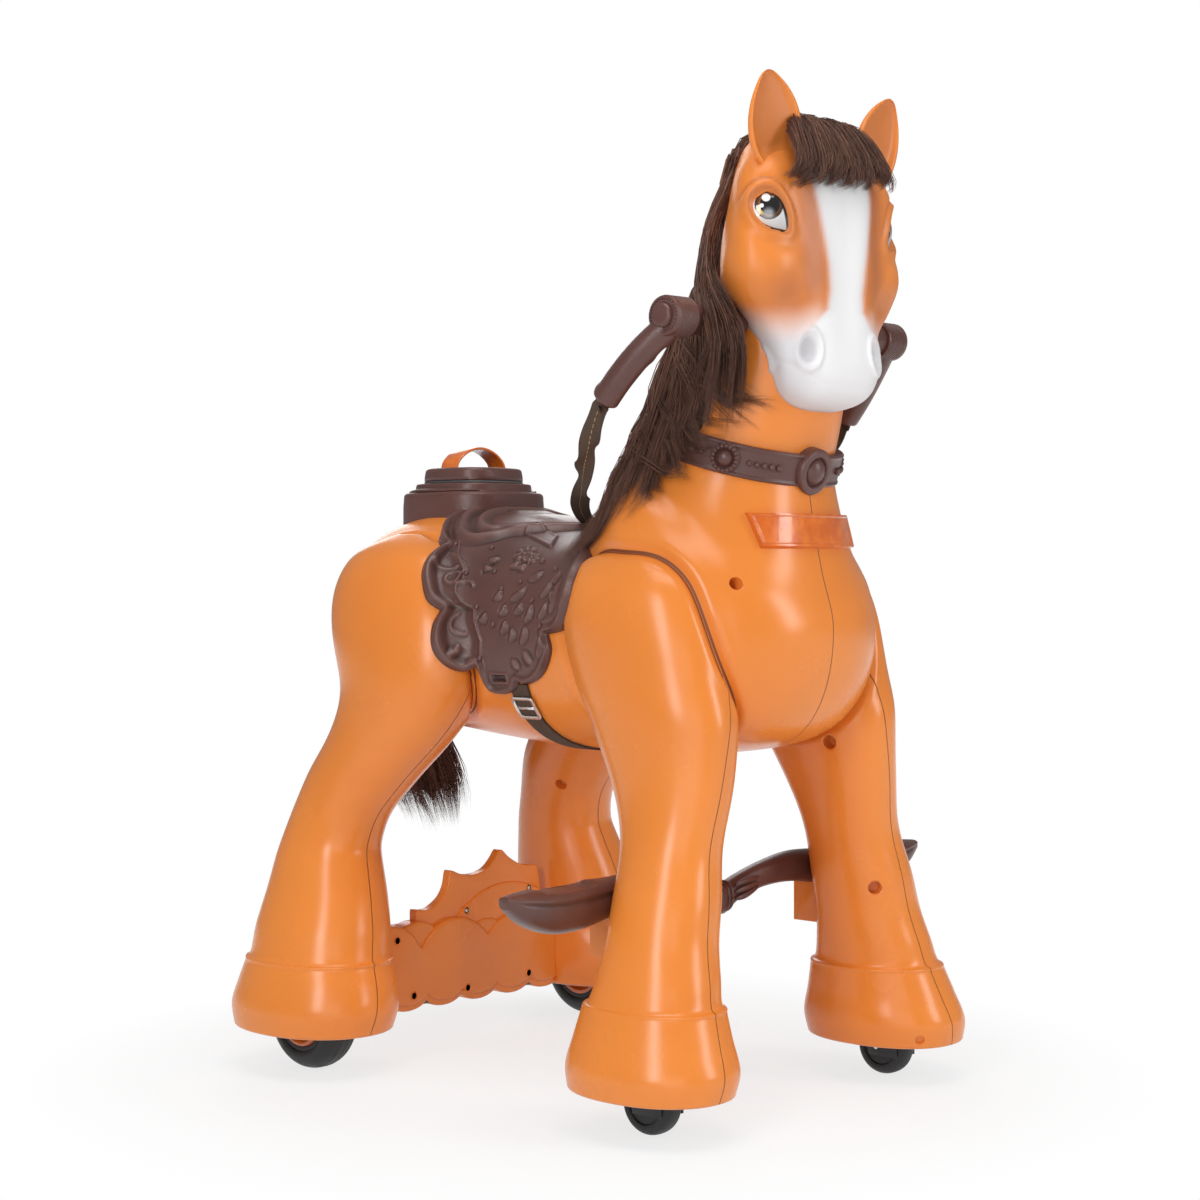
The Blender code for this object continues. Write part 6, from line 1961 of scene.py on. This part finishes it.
# %% [markdown]
# ## Drive cover
#
# The housing between the rear hooves has a front like a sky: two banks of cloud and a sun with hooked
# rays behind them. Each layer is an outline pushed forward with a rounded front edge. The rear half and
# the works inside keep their solids' shape with softened edges.

# %% Layers and clouds
def unfolded(outline, drawn):
    """A drawn-in outline whose steps that turned back are closed up."""
    for _ in range(30):
        steps = np.roll(outline, -1, 0) - outline
        bad = (steps * (np.roll(drawn, -1, 0) - drawn)).sum(axis=1) < -1e-14
        if not bad.any():
            break
        middle = (drawn + np.roll(drawn, -1, 0)) / 2
        drawn = np.where(bad[:, None], middle, drawn)
        after = np.roll(bad, 1)
        drawn = np.where(after[:, None], np.roll(middle, 1, 0), drawn)
    return drawn


def layer(outline, back, front, radius):
    """Flat outline (y, z) pushed along x with a rounded front edge."""
    outline = np.asarray(outline, float)
    edge = np.roll(outline, -1, 0) - np.roll(outline, 1, 0)
    inward = np.stack([-edge[:, 1], edge[:, 0]], -1)
    inward /= np.maximum(np.linalg.norm(inward, axis=1, keepdims=True), 1e-9)
    area = np.sum(outline[:, 0] * np.roll(outline[:, 1], -1) - np.roll(outline[:, 0], -1) * outline[:, 1])
    inward *= np.sign(area)
    rings = [np.column_stack([np.full(len(outline), back), outline])]
    for a in np.linspace(0, math.pi / 2, 6):
        drawn = unfolded(outline, outline + inward * radius * (1 - math.cos(a)))
        rings.append(np.column_stack([np.full(len(outline), front - radius * (1 - math.sin(a))), drawn]))
    return Skin(rings)


def cloud(lobes, low, steps=22):
    """Outline of overlapping discs (y, z, radius) on a level base."""
    ys = np.linspace(lobes[0][0] - lobes[0][2], lobes[-1][0] + lobes[-1][2], steps * len(lobes))
    top = np.full(len(ys), low + 0.016)
    for y, z, radius in lobes:
        inside = radius ** 2 - (ys - y) ** 2
        top = np.maximum(top, np.where(inside > 0, z + np.sqrt(np.maximum(inside, 0)), 0))
    base = np.linspace(ys[-1], ys[0], 140)
    lobe = ((base + 0.041) / 0.056 + 0.5) % 1 * 2 - 1
    wave = low + 0.014 * (1 - np.sqrt(1 - 0.9 * lobe ** 2))
    return np.vstack([np.stack([ys, top], -1)[::-1], np.stack([base, wave], -1)[::-1]])


print("one disc makes an outline of", len(cloud(((0.0, 0.1, 0.05),), 0.05)), "points")

# %% Drive cover
COVER_FRONT = -0.1968
COVER_SPLIT = -0.2192
COVER_LOW = 0.054
SUN_BACK = 0.0058
SUN = ((-0.060, 0.100), (-0.0700, 0.1200), (-0.0790, 0.1400), (-0.0805, 0.1600), (-0.0770, 0.1625),
       (-0.0640, 0.1610), (-0.0510, 0.1650), (-0.0380, 0.1735), (-0.0300, 0.1860), (-0.0265, 0.2010),
       (-0.0230, 0.2035), (-0.0100, 0.1985), (0.0050, 0.1958), (0.0200, 0.1965), (0.0350, 0.2010),
       (0.0470, 0.2110), (0.0545, 0.2200), (0.0600, 0.2205), (0.0700, 0.2120), (0.0860, 0.2030),
       (0.1000, 0.1990), (0.1150, 0.1975), (0.1200, 0.1930), (0.1240, 0.1700), (0.1270, 0.120),
       (0.1250, 0.100), (0.0800, 0.098), (0.0300, 0.098), (-0.0200, 0.098))
CLOUDS = ((-0.125, 0.101, 0.048), (-0.024, 0.082, 0.067), (0.078, 0.079, 0.066), (0.142, 0.090, 0.040))
BACK_CLOUDS = ((-0.145, 0.108, 0.034), (-0.083, 0.104, 0.046), (0.028, 0.092, 0.050), (0.140, 0.100, 0.044))
COVER_SCREWS = ((-0.1178, 0.1322, 0.0), (-0.0028, 0.1545, SUN_BACK), (0.1013, 0.1713, SUN_BACK),
                (-0.0923, 0.0652, 0.0), (-0.0064, 0.0636, 0.0), (0.0955, 0.0685, 0.0))
SCREW_RIM = ((0.0048, -0.001), (0.0048, 0.0006), (0.0044, 0.0010), (0.0039, 0.0006), (0.0038, 0.0001))
SCREW_FLOOR = ((0.0039, 0.0001), (0.0020, 0.0001), (0.0002, 0.0001))


def make_drive_cover():
    """Sun, two banks of cloud, and screws in their counterbores."""
    sun = closed_curve(SUN, 4)
    angle = np.linspace(0, math.pi, 90)
    disc = np.stack([0.066 + 0.118 * np.cos(angle), 0.064 + 0.118 * np.sin(angle)], -1)
    disc = disc[(disc[:, 0] < 0.124) & (disc[:, 1] > 0.10)]
    disc = np.vstack([disc, [(-0.046, 0.098), (0.124, 0.098)]])
    skins = [layer(sun, COVER_SPLIT + 0.002, COVER_FRONT - 0.0085, 0.0016),
             layer(disc, COVER_SPLIT + 0.004, COVER_FRONT - SUN_BACK, 0.0022),
             layer(cloud(BACK_CLOUDS, COVER_LOW - 0.007), COVER_SPLIT, COVER_FRONT - 0.0030, 0.0026),
             layer(cloud(CLOUDS, COVER_LOW), COVER_SPLIT + 0.004, COVER_FRONT, 0.0036)]
    cover = joined("sky_cover", skins, ORANGE)
    cover.data.set_sharp_from_angle(angle=math.radians(50))
    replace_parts(cover, "drive_cover_front")
    places = [np.array([COVER_FRONT - back + 0.0002, y, z]) for y, z, back in COVER_SCREWS]
    rims = [turned_rings(SCREW_RIM, place, (1, 0, 0)) for place in places]
    joined("screw_rims", rims, ORANGE)
    floors = [turned_rings(SCREW_FLOOR, place, (1, 0, 0)) for place in places]
    dark = joined("screw_floors", floors, ORANGE)
    # Painted shade: the floors of the screw wells are darkened.
    number_points(dark.data, "painted_shade", np.ones(len(dark.data.vertices)))
    spots = [(place, 0.0024, (1, 0, 0)) for place in places[1:3]]
    screws = SCREWS.grow(point_piece("cover_screws", spots), Finish=STEEL, Seed=3)
    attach(screws, "horse")


make_drive_cover()
print("drive cover made")

# %% Softened solids
def soften(node, width, finish, body, trim=0.0):
    """A node's own shape with small round edges, its inner side drawn out by trim."""
    copy = added(f"{node}_soft", NODES[node].data.copy())
    copy.data.transform(NODES[node].matrix_world)
    with edited(copy.data) as shape:
        bmesh.ops.remove_doubles(shape, verts=shape.verts, dist=2e-5)
        bmesh.ops.dissolve_limit(shape, angle_limit=math.radians(1.0), verts=shape.verts, edges=shape.edges)
        inner = min(abs(vert.co.y) for vert in shape.verts)
        for vert in shape.verts:
            if trim and abs(vert.co.y) < inner + 0.004:
                vert.co.y += math.copysign(trim, vert.co.y)
    copy.data.shade_smooth()
    edge = copy.modifiers.new("edge", "BEVEL")
    edge.width = width
    edge.segments = 3
    edge.limit_method = "ANGLE"
    edge.angle_limit = math.radians(35)
    edge.use_clamp_overlap = True
    edge.harden_normals = True
    apply_modifiers(copy)
    copy.data.materials.clear()
    copy.data.materials.append(finish)
    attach(copy, body)
    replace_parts(copy, node)


BRACKET_TRIM = 0.014
SOFT_EDGES = {"battery": 0.002, "battery_box": 0.0008, "control_board": 0.0006, "speaker": 0.0008,
              "drive_cover_rear": 0.002, "handle_tube": 0.0008}
for word, _ in SIDES:
    SOFT_EDGES.update({f"castor_plate_{word}": 0.0008, f"castor_fork_{word}": 0.0007,
                       f"castor_axle_{word}": 0.0006, f"drive_axle_{word}": 0.0008, f"gearbox_{word}": 0.0015,
                       f"motor_{word}": 0.0012, f"footrest_bracket_{word}": 0.0025})
SLOT_OF = {entry["node"]: entry["material_slot"] for entry in frame["record"]["subparts"]}
BODY_OF = {empty: name for name, empty in frame["bodies"].items()}
for node, width in SOFT_EDGES.items():
    painted = node.startswith(("castor_plate", "castor_fork"))
    finish = CASTOR_BLACK if painted else FINISH_OF_SLOT[SLOT_OF[node]]
    trim = BRACKET_TRIM if node.startswith("footrest_bracket") else 0.0
    soften(node, width, finish, BODY_OF[NODES[node].parent], trim)
print(len(SOFT_EDGES), "solids softened")

# %% [markdown]
# ## Hair
#
# The mane, forelock and tail are real hair on the toy. A few guide lines are drawn by rules: they
# leave the crest, fall over the right side of the neck and end in locks. A node tree copies every guide
# many times, spreads the copies, bends them a little, thins them towards the tip and gives each its own
# tone. Root and tip are told apart by a number along the guide.

# %% Hair finish
def make_hair_finish():
    finish = Finish("brown_hair")
    finish.shader.inputs["Specular IOR Level"].default_value = 0.30
    tone = finish.mark("tone")
    colour = finish.mix(tone, (0.046, 0.0200, 0.0140), (0.195, 0.092, 0.062))
    colour = finish.mix(tone.rise(0.90, 1.0) * 0.6, colour, (0.26, 0.120, 0.070))
    finish.feed(Base_Color=colour, Roughness=tone * 0.14 + 0.34)
    finish.bump(finish.noise(1400.0), 0.0001)
    return finish.material


HAIR = make_hair_finish()
print("made", HAIR.name)


# %% Strands
def make_hair_tree():
    """Many thin strands round every guide line."""
    graph = Graph("strands_round_guides", Finish="Material", Count="Int", Points="Int", Root="Float",
                  Middle="Float", Tip="Float", Wave="Float", Width="Float", Seed="Int")
    given = graph.given
    curve = graph.node("GeometryNodeMeshToCurve", {}, {0: given["Geometry"]})
    curve = graph.node("GeometryNodeResampleCurve", {}, {0: curve, 2: given["Points"]})
    copies = graph.node("GeometryNodeDuplicateElements", {"domain": "SPLINE"}, {0: curve, 2: given["Count"]})
    copy = Wire(graph, copies.socket.node.outputs[1])
    number = graph.named("guide") * 211.0 + copy
    seed = given["Seed"]
    spread = graph.node("FunctionNodeRandomValue", {"data_type": "FLOAT_VECTOR"},
                        {0: (-1.0, -1.0, -1.0), 1: (1.0, 1.0, 1.0), 7: number, 8: seed})
    way = graph.named("way")
    back = 1.0 - way
    fan = given["Root"] * back * back + given["Middle"] * way * back * 2.0 + given["Tip"] * way * way
    here = graph.node("GeometryNodeInputPosition", {}, {})
    apart = graph.vector("ADD", here, graph.scaled(spread, 3.0))
    bend = graph.node("ShaderNodeTexNoise", {}, {"Vector": apart, "Scale": 14.0, "Detail": 1.0}, "Color")
    bend = graph.scaled(graph.vector("SUBTRACT", bend, (0.5, 0.5, 0.5)), given["Wave"] * way)
    move = graph.vector("ADD", graph.scaled(spread, fan), bend)
    strands = graph.node("GeometryNodeSetPosition", {}, {0: copies, 3: move})
    tone = graph.chance(0.0, 1.0, number, seed + 9.0)
    strands = graph.node("GeometryNodeStoreNamedAttribute", {"data_type": "FLOAT", "domain": "POINT"},
                         {0: strands, 2: "tone", 3: tone})
    length = graph.chance(0.80, 1.0, number, seed + 13.0)
    thin = (1.0 - (way / length).least(1.0) ** 2.4) * given["Width"] * (tone * 0.5 + 0.75)
    profile = graph.node("GeometryNodeCurvePrimitiveCircle", {}, {0: 3, 4: 1.0})
    mesh = graph.node("GeometryNodeCurveToMesh", {}, {0: strands, 1: profile, 2: thin})
    return graph.finish(mesh, given["Finish"])


STRANDS = make_hair_tree()


def grow_hair(name, guides, node=None, **settings):
    """Strands round guide lines, all given from root to tip."""
    guides = np.asarray(guides, float)
    lines, steps = guides.shape[:2]
    mesh = bpy.data.meshes.new(name)
    edges = [(g * steps + i, g * steps + i + 1) for g in range(lines) for i in range(steps - 1)]
    mesh.from_pydata(guides.reshape(-1, 3).tolist(), edges, [])
    number_points(mesh, "way", np.tile(np.linspace(0, 1, steps), lines))
    number_points(mesh, "guide", np.repeat(np.arange(lines), steps))
    piece = added(name, mesh)
    STRANDS.grow(piece, Finish=HAIR, **settings)
    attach(piece, "horse")
    if node:
        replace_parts(piece, node)
    return len(piece.data.polygons) * 2


print("made", STRANDS.tree.name)


# %% Ground under the hair
def tree_of(*pieces):
    """Search tree over finished pieces, faces outward."""
    points = []
    faces = []
    for piece in pieces:
        base = len(points)
        points += [vert.co for vert in piece.data.vertices]
        faces += [[base + i for i in face.vertices] for face in piece.data.polygons]
    return BVHTree.FromPolygons(points, faces)


HORSE_TREE = tree_of(body, face, throat, *[bpy.data.objects[name] for name in (
    "front_right_leg", "tooled_saddle", "collar_strap")])


def hair_bed(name, grid):
    """Dark ground under the strands, from a grid of points that closes on itself."""
    bed = Skin(grid)
    bed.mark("tone", np.full(bed.points.shape[:2], 0.08))
    bed.piece(name, HAIR)


def keep_out(line, gap):
    """Lift a line's points out of the horse."""
    result = []
    for point in line:
        hit, normal, _, _ = HORSE_TREE.find_nearest(Vector(point))
        outside = (Vector(point) - hit).dot(normal)
        result.append(point if outside > gap else np.array(hit + normal * gap))
    return np.array(result)


print("skin", round(HORSE_TREE.find_nearest(Vector(COLLAR_MID))[3], 4), "m from the collar's middle")

# %% Mane
# Height over the collar, middle's way ahead, radius, thickness, and the arc's first and last angle.
MANE = np.array(((0.300, 0.082, 0.020, 0.008, 150, 262), (0.278, 0.075, 0.036, 0.010, 160, 262),
                 (0.240, 0.067, 0.046, 0.013, 168, 258), (0.190, 0.064, 0.056, 0.014, 168, 258),
                 (0.140, 0.050, 0.066, 0.015, 168, 266), (0.090, 0.035, 0.077, 0.016, 168, 286),
                 (0.045, 0.020, 0.086, 0.018, 168, 292), (0.000, 0.008, 0.098, 0.020, 172, 290),
                 (-0.035, 0.002, 0.107, 0.022, 185, 285), (-0.062, -0.001, 0.120, 0.023, 203, 277),
                 (-0.088, -0.005, 0.134, 0.024, 214, 265),
                 (-0.115, -0.010, 0.152, 0.022, 218, 254), (-0.145, -0.014, 0.174, 0.018, 221, 247)))[::-1]


def mane_place(share, depth, rise):
    """Point in the mane: share of its arc, depth from skin to surface, height over the collar."""
    ahead, radius, thick, start, end = read_off(MANE, rise)
    angle = math.radians(start + (end - start) * share)
    reach = radius + thick * depth * math.sin(math.pi * (min(max(share, 0), 1) * 7 + 0.7) / 8.4) ** 0.5
    return COLLAR_MID + (ahead + reach * math.cos(angle), reach * math.sin(angle), rise)


def mane_end(share):
    """How far down the locks reach across the mane."""
    return np.interp(share, (0, 0.2, 0.45, 0.6, 0.75, 0.86, 0.94, 1.0),
                     (-0.060, -0.125, -0.135, -0.110, -0.072, -0.030, 0.012, 0.030))


print("mane ends", np.round(mane_end(np.linspace(0, 1, 5)), 3), "over the collar")


# %% Guide lines of the mane
def make_mane_guides(count, seed):
    """Locks that leave the crest, fall round the neck and flick out at their ends."""
    chance = np.random.default_rng(seed)
    guides = []
    for i in range(count):
        goal = ((i + chance.random()) / count) ** 1.15
        high = chance.random() < 0.45
        root_rise = 0.286 - 0.014 * chance.random() if high else chance.uniform(0.02, 0.28)
        root = goal * chance.uniform(0.55, 1.0) if high else goal * chance.uniform(0.05, 0.35)
        end = min(max(mane_end(goal) + chance.normal(0, 0.012), -0.142), root_rise - 0.05)
        depth = (0.35 + 0.65 * chance.random()) * (0.55 + 0.45 * smooth(goal, 0.0, 0.2))
        phase = chance.random() * math.tau
        line = []
        for t in np.linspace(0, 1, 16):
            share = root + (goal - root) * smooth(t, 0.0, 0.8) + 0.018 * math.sin(7 * t + phase)
            rise = root_rise + (end - root_rise) * t
            flick = smooth(t, 0.78, 1.0) ** 1.5
            share += flick * np.interp(goal, (0, 0.5, 0.8, 1), (0.02, 0.06, 0.16, 0.30))
            rise += flick * np.interp(goal, (0, 0.5, 0.8, 1), (0.002, 0.006, 0.014, 0.020))
            deep = depth * (0.35 + 0.65 * smooth(t, 0, 0.15)) * (1 + 0.25 * flick)
            line.append(mane_place(share, deep, rise))
        guides.append(keep_out(np.array(line), 0.0025 + 0.004 * depth))
    return guides


def make_cheek_guides(count, seed):
    """Locks that fall from behind the ear, past the cheek and over the grip's arm."""
    chance = np.random.default_rng(seed)
    path = np.array(((0.262, -0.042, 0.988), (0.254, -0.066, 0.950), (0.248, -0.086, 0.905),
                     (0.258, -0.102, 0.860), (0.286, -0.120, 0.828), (0.304, -0.124, 0.800),
                     (0.303, -0.118, 0.775), (0.292, -0.110, 0.748), (0.285, -0.108, 0.722)))
    guides = []
    for _ in range(count):
        out = chance.uniform(-0.9, 1.1)
        line = eased(path, 2)
        t = np.linspace(0, 1, len(line))
        line[:, 1] -= 0.024 * out * smooth(t, 0.25, 0.6)
        line[:, 0] += 0.006 * chance.normal() * smooth(t, 0.2, 0.6) - 0.012 * out * smooth(t, 0.6, 1.0)
        line[:, 2] += 0.020 * chance.normal() * smooth(t, 0.7, 1.0)
        guides.append(keep_out(line, 0.003))
    return guides


def make_poll_guides(count, seed):
    """Hair from between the ears back over the poll and down the crest."""
    chance = np.random.default_rng(seed)
    path = np.array(((0.296, 0.0, 0.999), (0.276, 0.0, 0.999), (0.262, -0.003, 0.985),
                     (0.247, -0.009, 0.955), (0.236, -0.016, 0.915), (0.226, -0.024, 0.875),
                     (0.214, -0.032, 0.830), (0.206, -0.038, 0.800)))
    guides = []
    for i in range(count):
        line = eased(path, 3)
        line[:, 1] += (-0.034 + 0.052 * (i + chance.random()) / count) * np.linspace(0.7, 1.1, len(line))
        guides.append(keep_out(line, 0.003 + 0.004 * chance.random()))
    return guides


print("guides of the mane ready")

# %% Mane grown
shares = np.linspace(0.03, 0.97, 40)
bed = []
for t in np.linspace(0.0, 1.0, 30):
    rises = 0.282 + (mane_end(shares) + 0.030 - 0.282) * t
    body_of_hair = 0.60 * np.sin(math.pi * np.clip((shares - 0.03) / 0.94, 0.02, 0.98)) ** 0.4
    body_of_hair = body_of_hair * (1 - smooth(t, 0.85, 1.0))
    outer = [mane_place(share, deep, rise) for share, deep, rise in zip(shares, body_of_hair, rises)]
    inner = [mane_place(share, -0.15, rise) for share, rise in zip(shares[::-1], rises[::-1])]
    bed.append(outer + inner)
hair_bed("mane_bed", bed)
triangles = grow_hair("mane_under", make_mane_guides(66, 3), "mane", Count=38, Points=13, Root=0.0055,
                      Middle=0.0060, Tip=0.0040, Wave=0.010, Width=0.00072, Seed=1)
triangles += grow_hair("mane_over", make_mane_guides(54, 8), None, Count=42, Points=13, Root=0.0045,
                       Middle=0.0042, Tip=0.0018, Wave=0.012, Width=0.00056, Seed=2)
triangles += grow_hair("cheek_locks", make_cheek_guides(26, 4), None, Count=44, Points=14, Root=0.0050,
                       Middle=0.0050, Tip=0.0024, Wave=0.010, Width=0.00056, Seed=6)
triangles += grow_hair("poll_hair", make_poll_guides(24, 2), None, Count=32, Points=12, Root=0.0040,
                       Middle=0.0045, Tip=0.0030, Wave=0.008, Width=0.00060, Seed=7)
print("mane triangles", triangles)

# %% Shape of the tail
TAIL_ROOT_Z = BACK_Z - 0.116
# Distance down, behind the rump and to the left, and the half sizes along and across.
TAIL = np.array(((0.000, -0.003, 0.000, 0.012, 0.015), (0.018, 0.017, 0.005, 0.020, 0.022),
                 (0.070, 0.025, 0.012, 0.022, 0.032), (0.130, 0.025, 0.028, 0.023, 0.048),
                 (0.180, 0.022, 0.046, 0.024, 0.062), (0.215, 0.017, 0.060, 0.022, 0.060),
                 (0.245, 0.012, 0.066, 0.017, 0.050), (0.275, 0.008, 0.070, 0.009, 0.032)))


def tail_place(drop, turn, away):
    """Point in the tail: how far down, round its middle and out from it."""
    behind, left, half_x, half_y = read_off(TAIL, drop)
    return (RUMP_X - behind + away * half_x * math.cos(turn), left + away * half_y * math.sin(turn),
            TAIL_ROOT_Z - drop)


def make_tail_guides(count, seed):
    """Lines spread evenly over the tail's section, each with its own length."""
    chance = np.random.default_rng(seed)
    guides = []
    for i in range(count):
        turn = math.tau * (i * 0.618 % 1)
        away = math.sqrt((i + 0.5) / count)
        last = 0.222 + 0.048 * chance.random()
        flick = 0.010 * math.sin(turn * 3 + i) * smooth(np.linspace(0, 1, 14), 0.8, 1.0)
        line = np.array([tail_place(last * t, turn, away) for t in np.linspace(0, 1, 14)])
        line[:, 1] += flick
        guides.append(line)
    return guides


hair_bed("tail_bed", [[tail_place(drop, turn, 0.78 * (1 - smooth(drop, 0.19, 0.236)))
                       for turn in full_turn(24)] for drop in np.linspace(0.0, 0.235, 26)])
print("tail", TAIL[-1, 0], "m long")

# %% Forelock and tail
def make_forelock_guides(count, seed):
    """Hair from the poll over the brow, which curls under at its ends."""
    chance = np.random.default_rng(seed)
    guides = []
    for i in range(count):
        y = -1.50 + 2.55 * (i + chance.random()) / count
        low = 0.010 * smooth(-y, 0.9, 1.4)
        puff = chance.uniform(0.2, 1.0)
        sway = chance.normal(0, 0.004)
        drop = 0.016 * chance.random() - 0.004 * max(y, 0.0) + low
        line = np.array(((0.286, 0.020 * y, 0.996), (0.304, 0.026 * y, 1.006 + 0.012 * puff),
                         (0.328, 0.036 * y, 1.004 + 0.017 * puff),
                         (0.350, 0.044 * y + sway, 0.993 + 0.012 * puff),
                         (0.366, 0.049 * y + sway, 0.982 - 0.6 * drop),
                         (0.371, 0.053 * y + 1.6 * sway, 0.971 - drop),
                         (0.366, 0.056 * y + 2.2 * sway, 0.964 - drop),
                         (0.358, 0.057 * y + 2.6 * sway, 0.962 - drop)))
        line[:, 0] += 0.004 * puff - 0.030 * max(abs(y) - 0.9, 0) * np.linspace(0.2, 1, len(line))
        guides.append(keep_out(eased(line, 3), 0.002 + 0.006 * puff))
    return guides


triangles = grow_hair("forelock_hair", make_forelock_guides(72, 5), "forelock", Count=30, Points=14,
                      Root=0.0050, Middle=0.0046, Tip=0.0016, Wave=0.006, Width=0.00050, Seed=3)
triangles += grow_hair("tail_hair", make_tail_guides(84, 9), "tail", Count=28, Points=12, Root=0.0030,
                       Middle=0.0060, Tip=0.0055, Wave=0.014, Width=0.00085, Seed=4)
print("forelock and tail triangles", triangles)

# %% [markdown]
# ## Studio
#
# The photograph is a catalogue picture on white. A pale floor takes a soft shadow, the world and the
# floor look white to the camera, and big soft lamps to the left, right and above draw the long
# highlights on the plastic.

# %% Floor, lamps and world
WORLD_LIGHT = 0.29
# Name, place, aim, size and power of each lamp.
LAMPS = (("left_box", (0.9, -2.6, 1.4), (0.0, 0.0, 0.55), (0.62, 1.5), 25),
         ("right_box", (2.5, 0.9, 1.3), (0.1, 0.0, 0.55), (0.60, 1.5), 20),
         ("top_box", (0.5, -0.5, 2.8), (0.0, 0.0, 0.5), (1.6, 1.6), 29),
         ("back_box", (-2.2, 1.8, 1.7), (0.0, 0.0, 0.5), (1.4, 1.4), 15),
         ("front_box", (2.3, -2.4, 0.7), (0.0, 0.0, 0.4), (2.2, 1.4), 13))


def make_floor():
    """Pale floor that looks white to the camera and still takes a shadow."""
    finish = Finish("pale_floor", Roughness=0.6)
    finish.shader.inputs["Base Color"].default_value = (0.93, 0.93, 0.93, 1.0)
    finish.shader.inputs["Specular IOR Level"].default_value = 0.2
    x, y, _ = finish.place().parts()
    far = (x * x + y * y).rise(0.10, 0.45) * 0.26 + 0.74
    path = finish.node("ShaderNodeLightPath", {}, {}).socket.node
    seen = [Wire(finish, path.outputs[f"Is {kind} Ray"]) for kind in ("Camera", "Glossy", "Transmission")]
    glow = finish.node("ShaderNodeEmission", {}, {"Strength": 1.0})
    surface = finish.node("ShaderNodeMixShader", {}, {0: seen[0].most(seen[1]).most(seen[2]) * far,
                                                      1: Wire(finish, finish.shader.outputs[0]), 2: glow})
    finish.tree.links.new(surface.socket, finish.tree.nodes["Material Output"].inputs["Surface"])
    floor = mesh_piece("floor", [(-9, -9, 0), (9, -9, 0), (9, 9, 0), (-9, 9, 0)], [(0, 1, 2, 3)],
                       finish.material, None)


def make_world():
    world = bpy.data.worlds.new("white_studio")
    bpy.context.scene.world = world
    world.use_nodes = True
    tree = world.node_tree
    soft = tree.nodes["Background"]
    plain = tree.nodes.new("ShaderNodeBackground")
    for background, strength in ((soft, WORLD_LIGHT), (plain, 1.0)):
        background.inputs["Color"].default_value = (1.0, 1.0, 1.0, 1.0)
        background.inputs["Strength"].default_value = strength
    path = tree.nodes.new("ShaderNodeLightPath")
    blend = tree.nodes.new("ShaderNodeMixShader")
    tree.links.new(path.outputs["Is Camera Ray"], blend.inputs["Fac"])
    tree.links.new(soft.outputs["Background"], blend.inputs[1])
    tree.links.new(plain.outputs["Background"], blend.inputs[2])
    tree.links.new(blend.outputs["Shader"], tree.nodes["World Output"].inputs["Surface"])


def soft_lamp(name, place, aim, size, power):
    lamp = bpy.data.lights.new(name, "AREA")
    lamp.shape = "RECTANGLE"
    lamp.size, lamp.size_y = size
    lamp.energy = power
    holder = added(name, lamp)
    holder.location = place
    holder.rotation_euler = (Vector(place) - Vector(aim)).to_track_quat("Z", "Y").to_euler()


make_floor()
make_world()
for lamp in LAMPS:
    soft_lamp(*lamp)
print(len(LAMPS), "lamps in the studio")
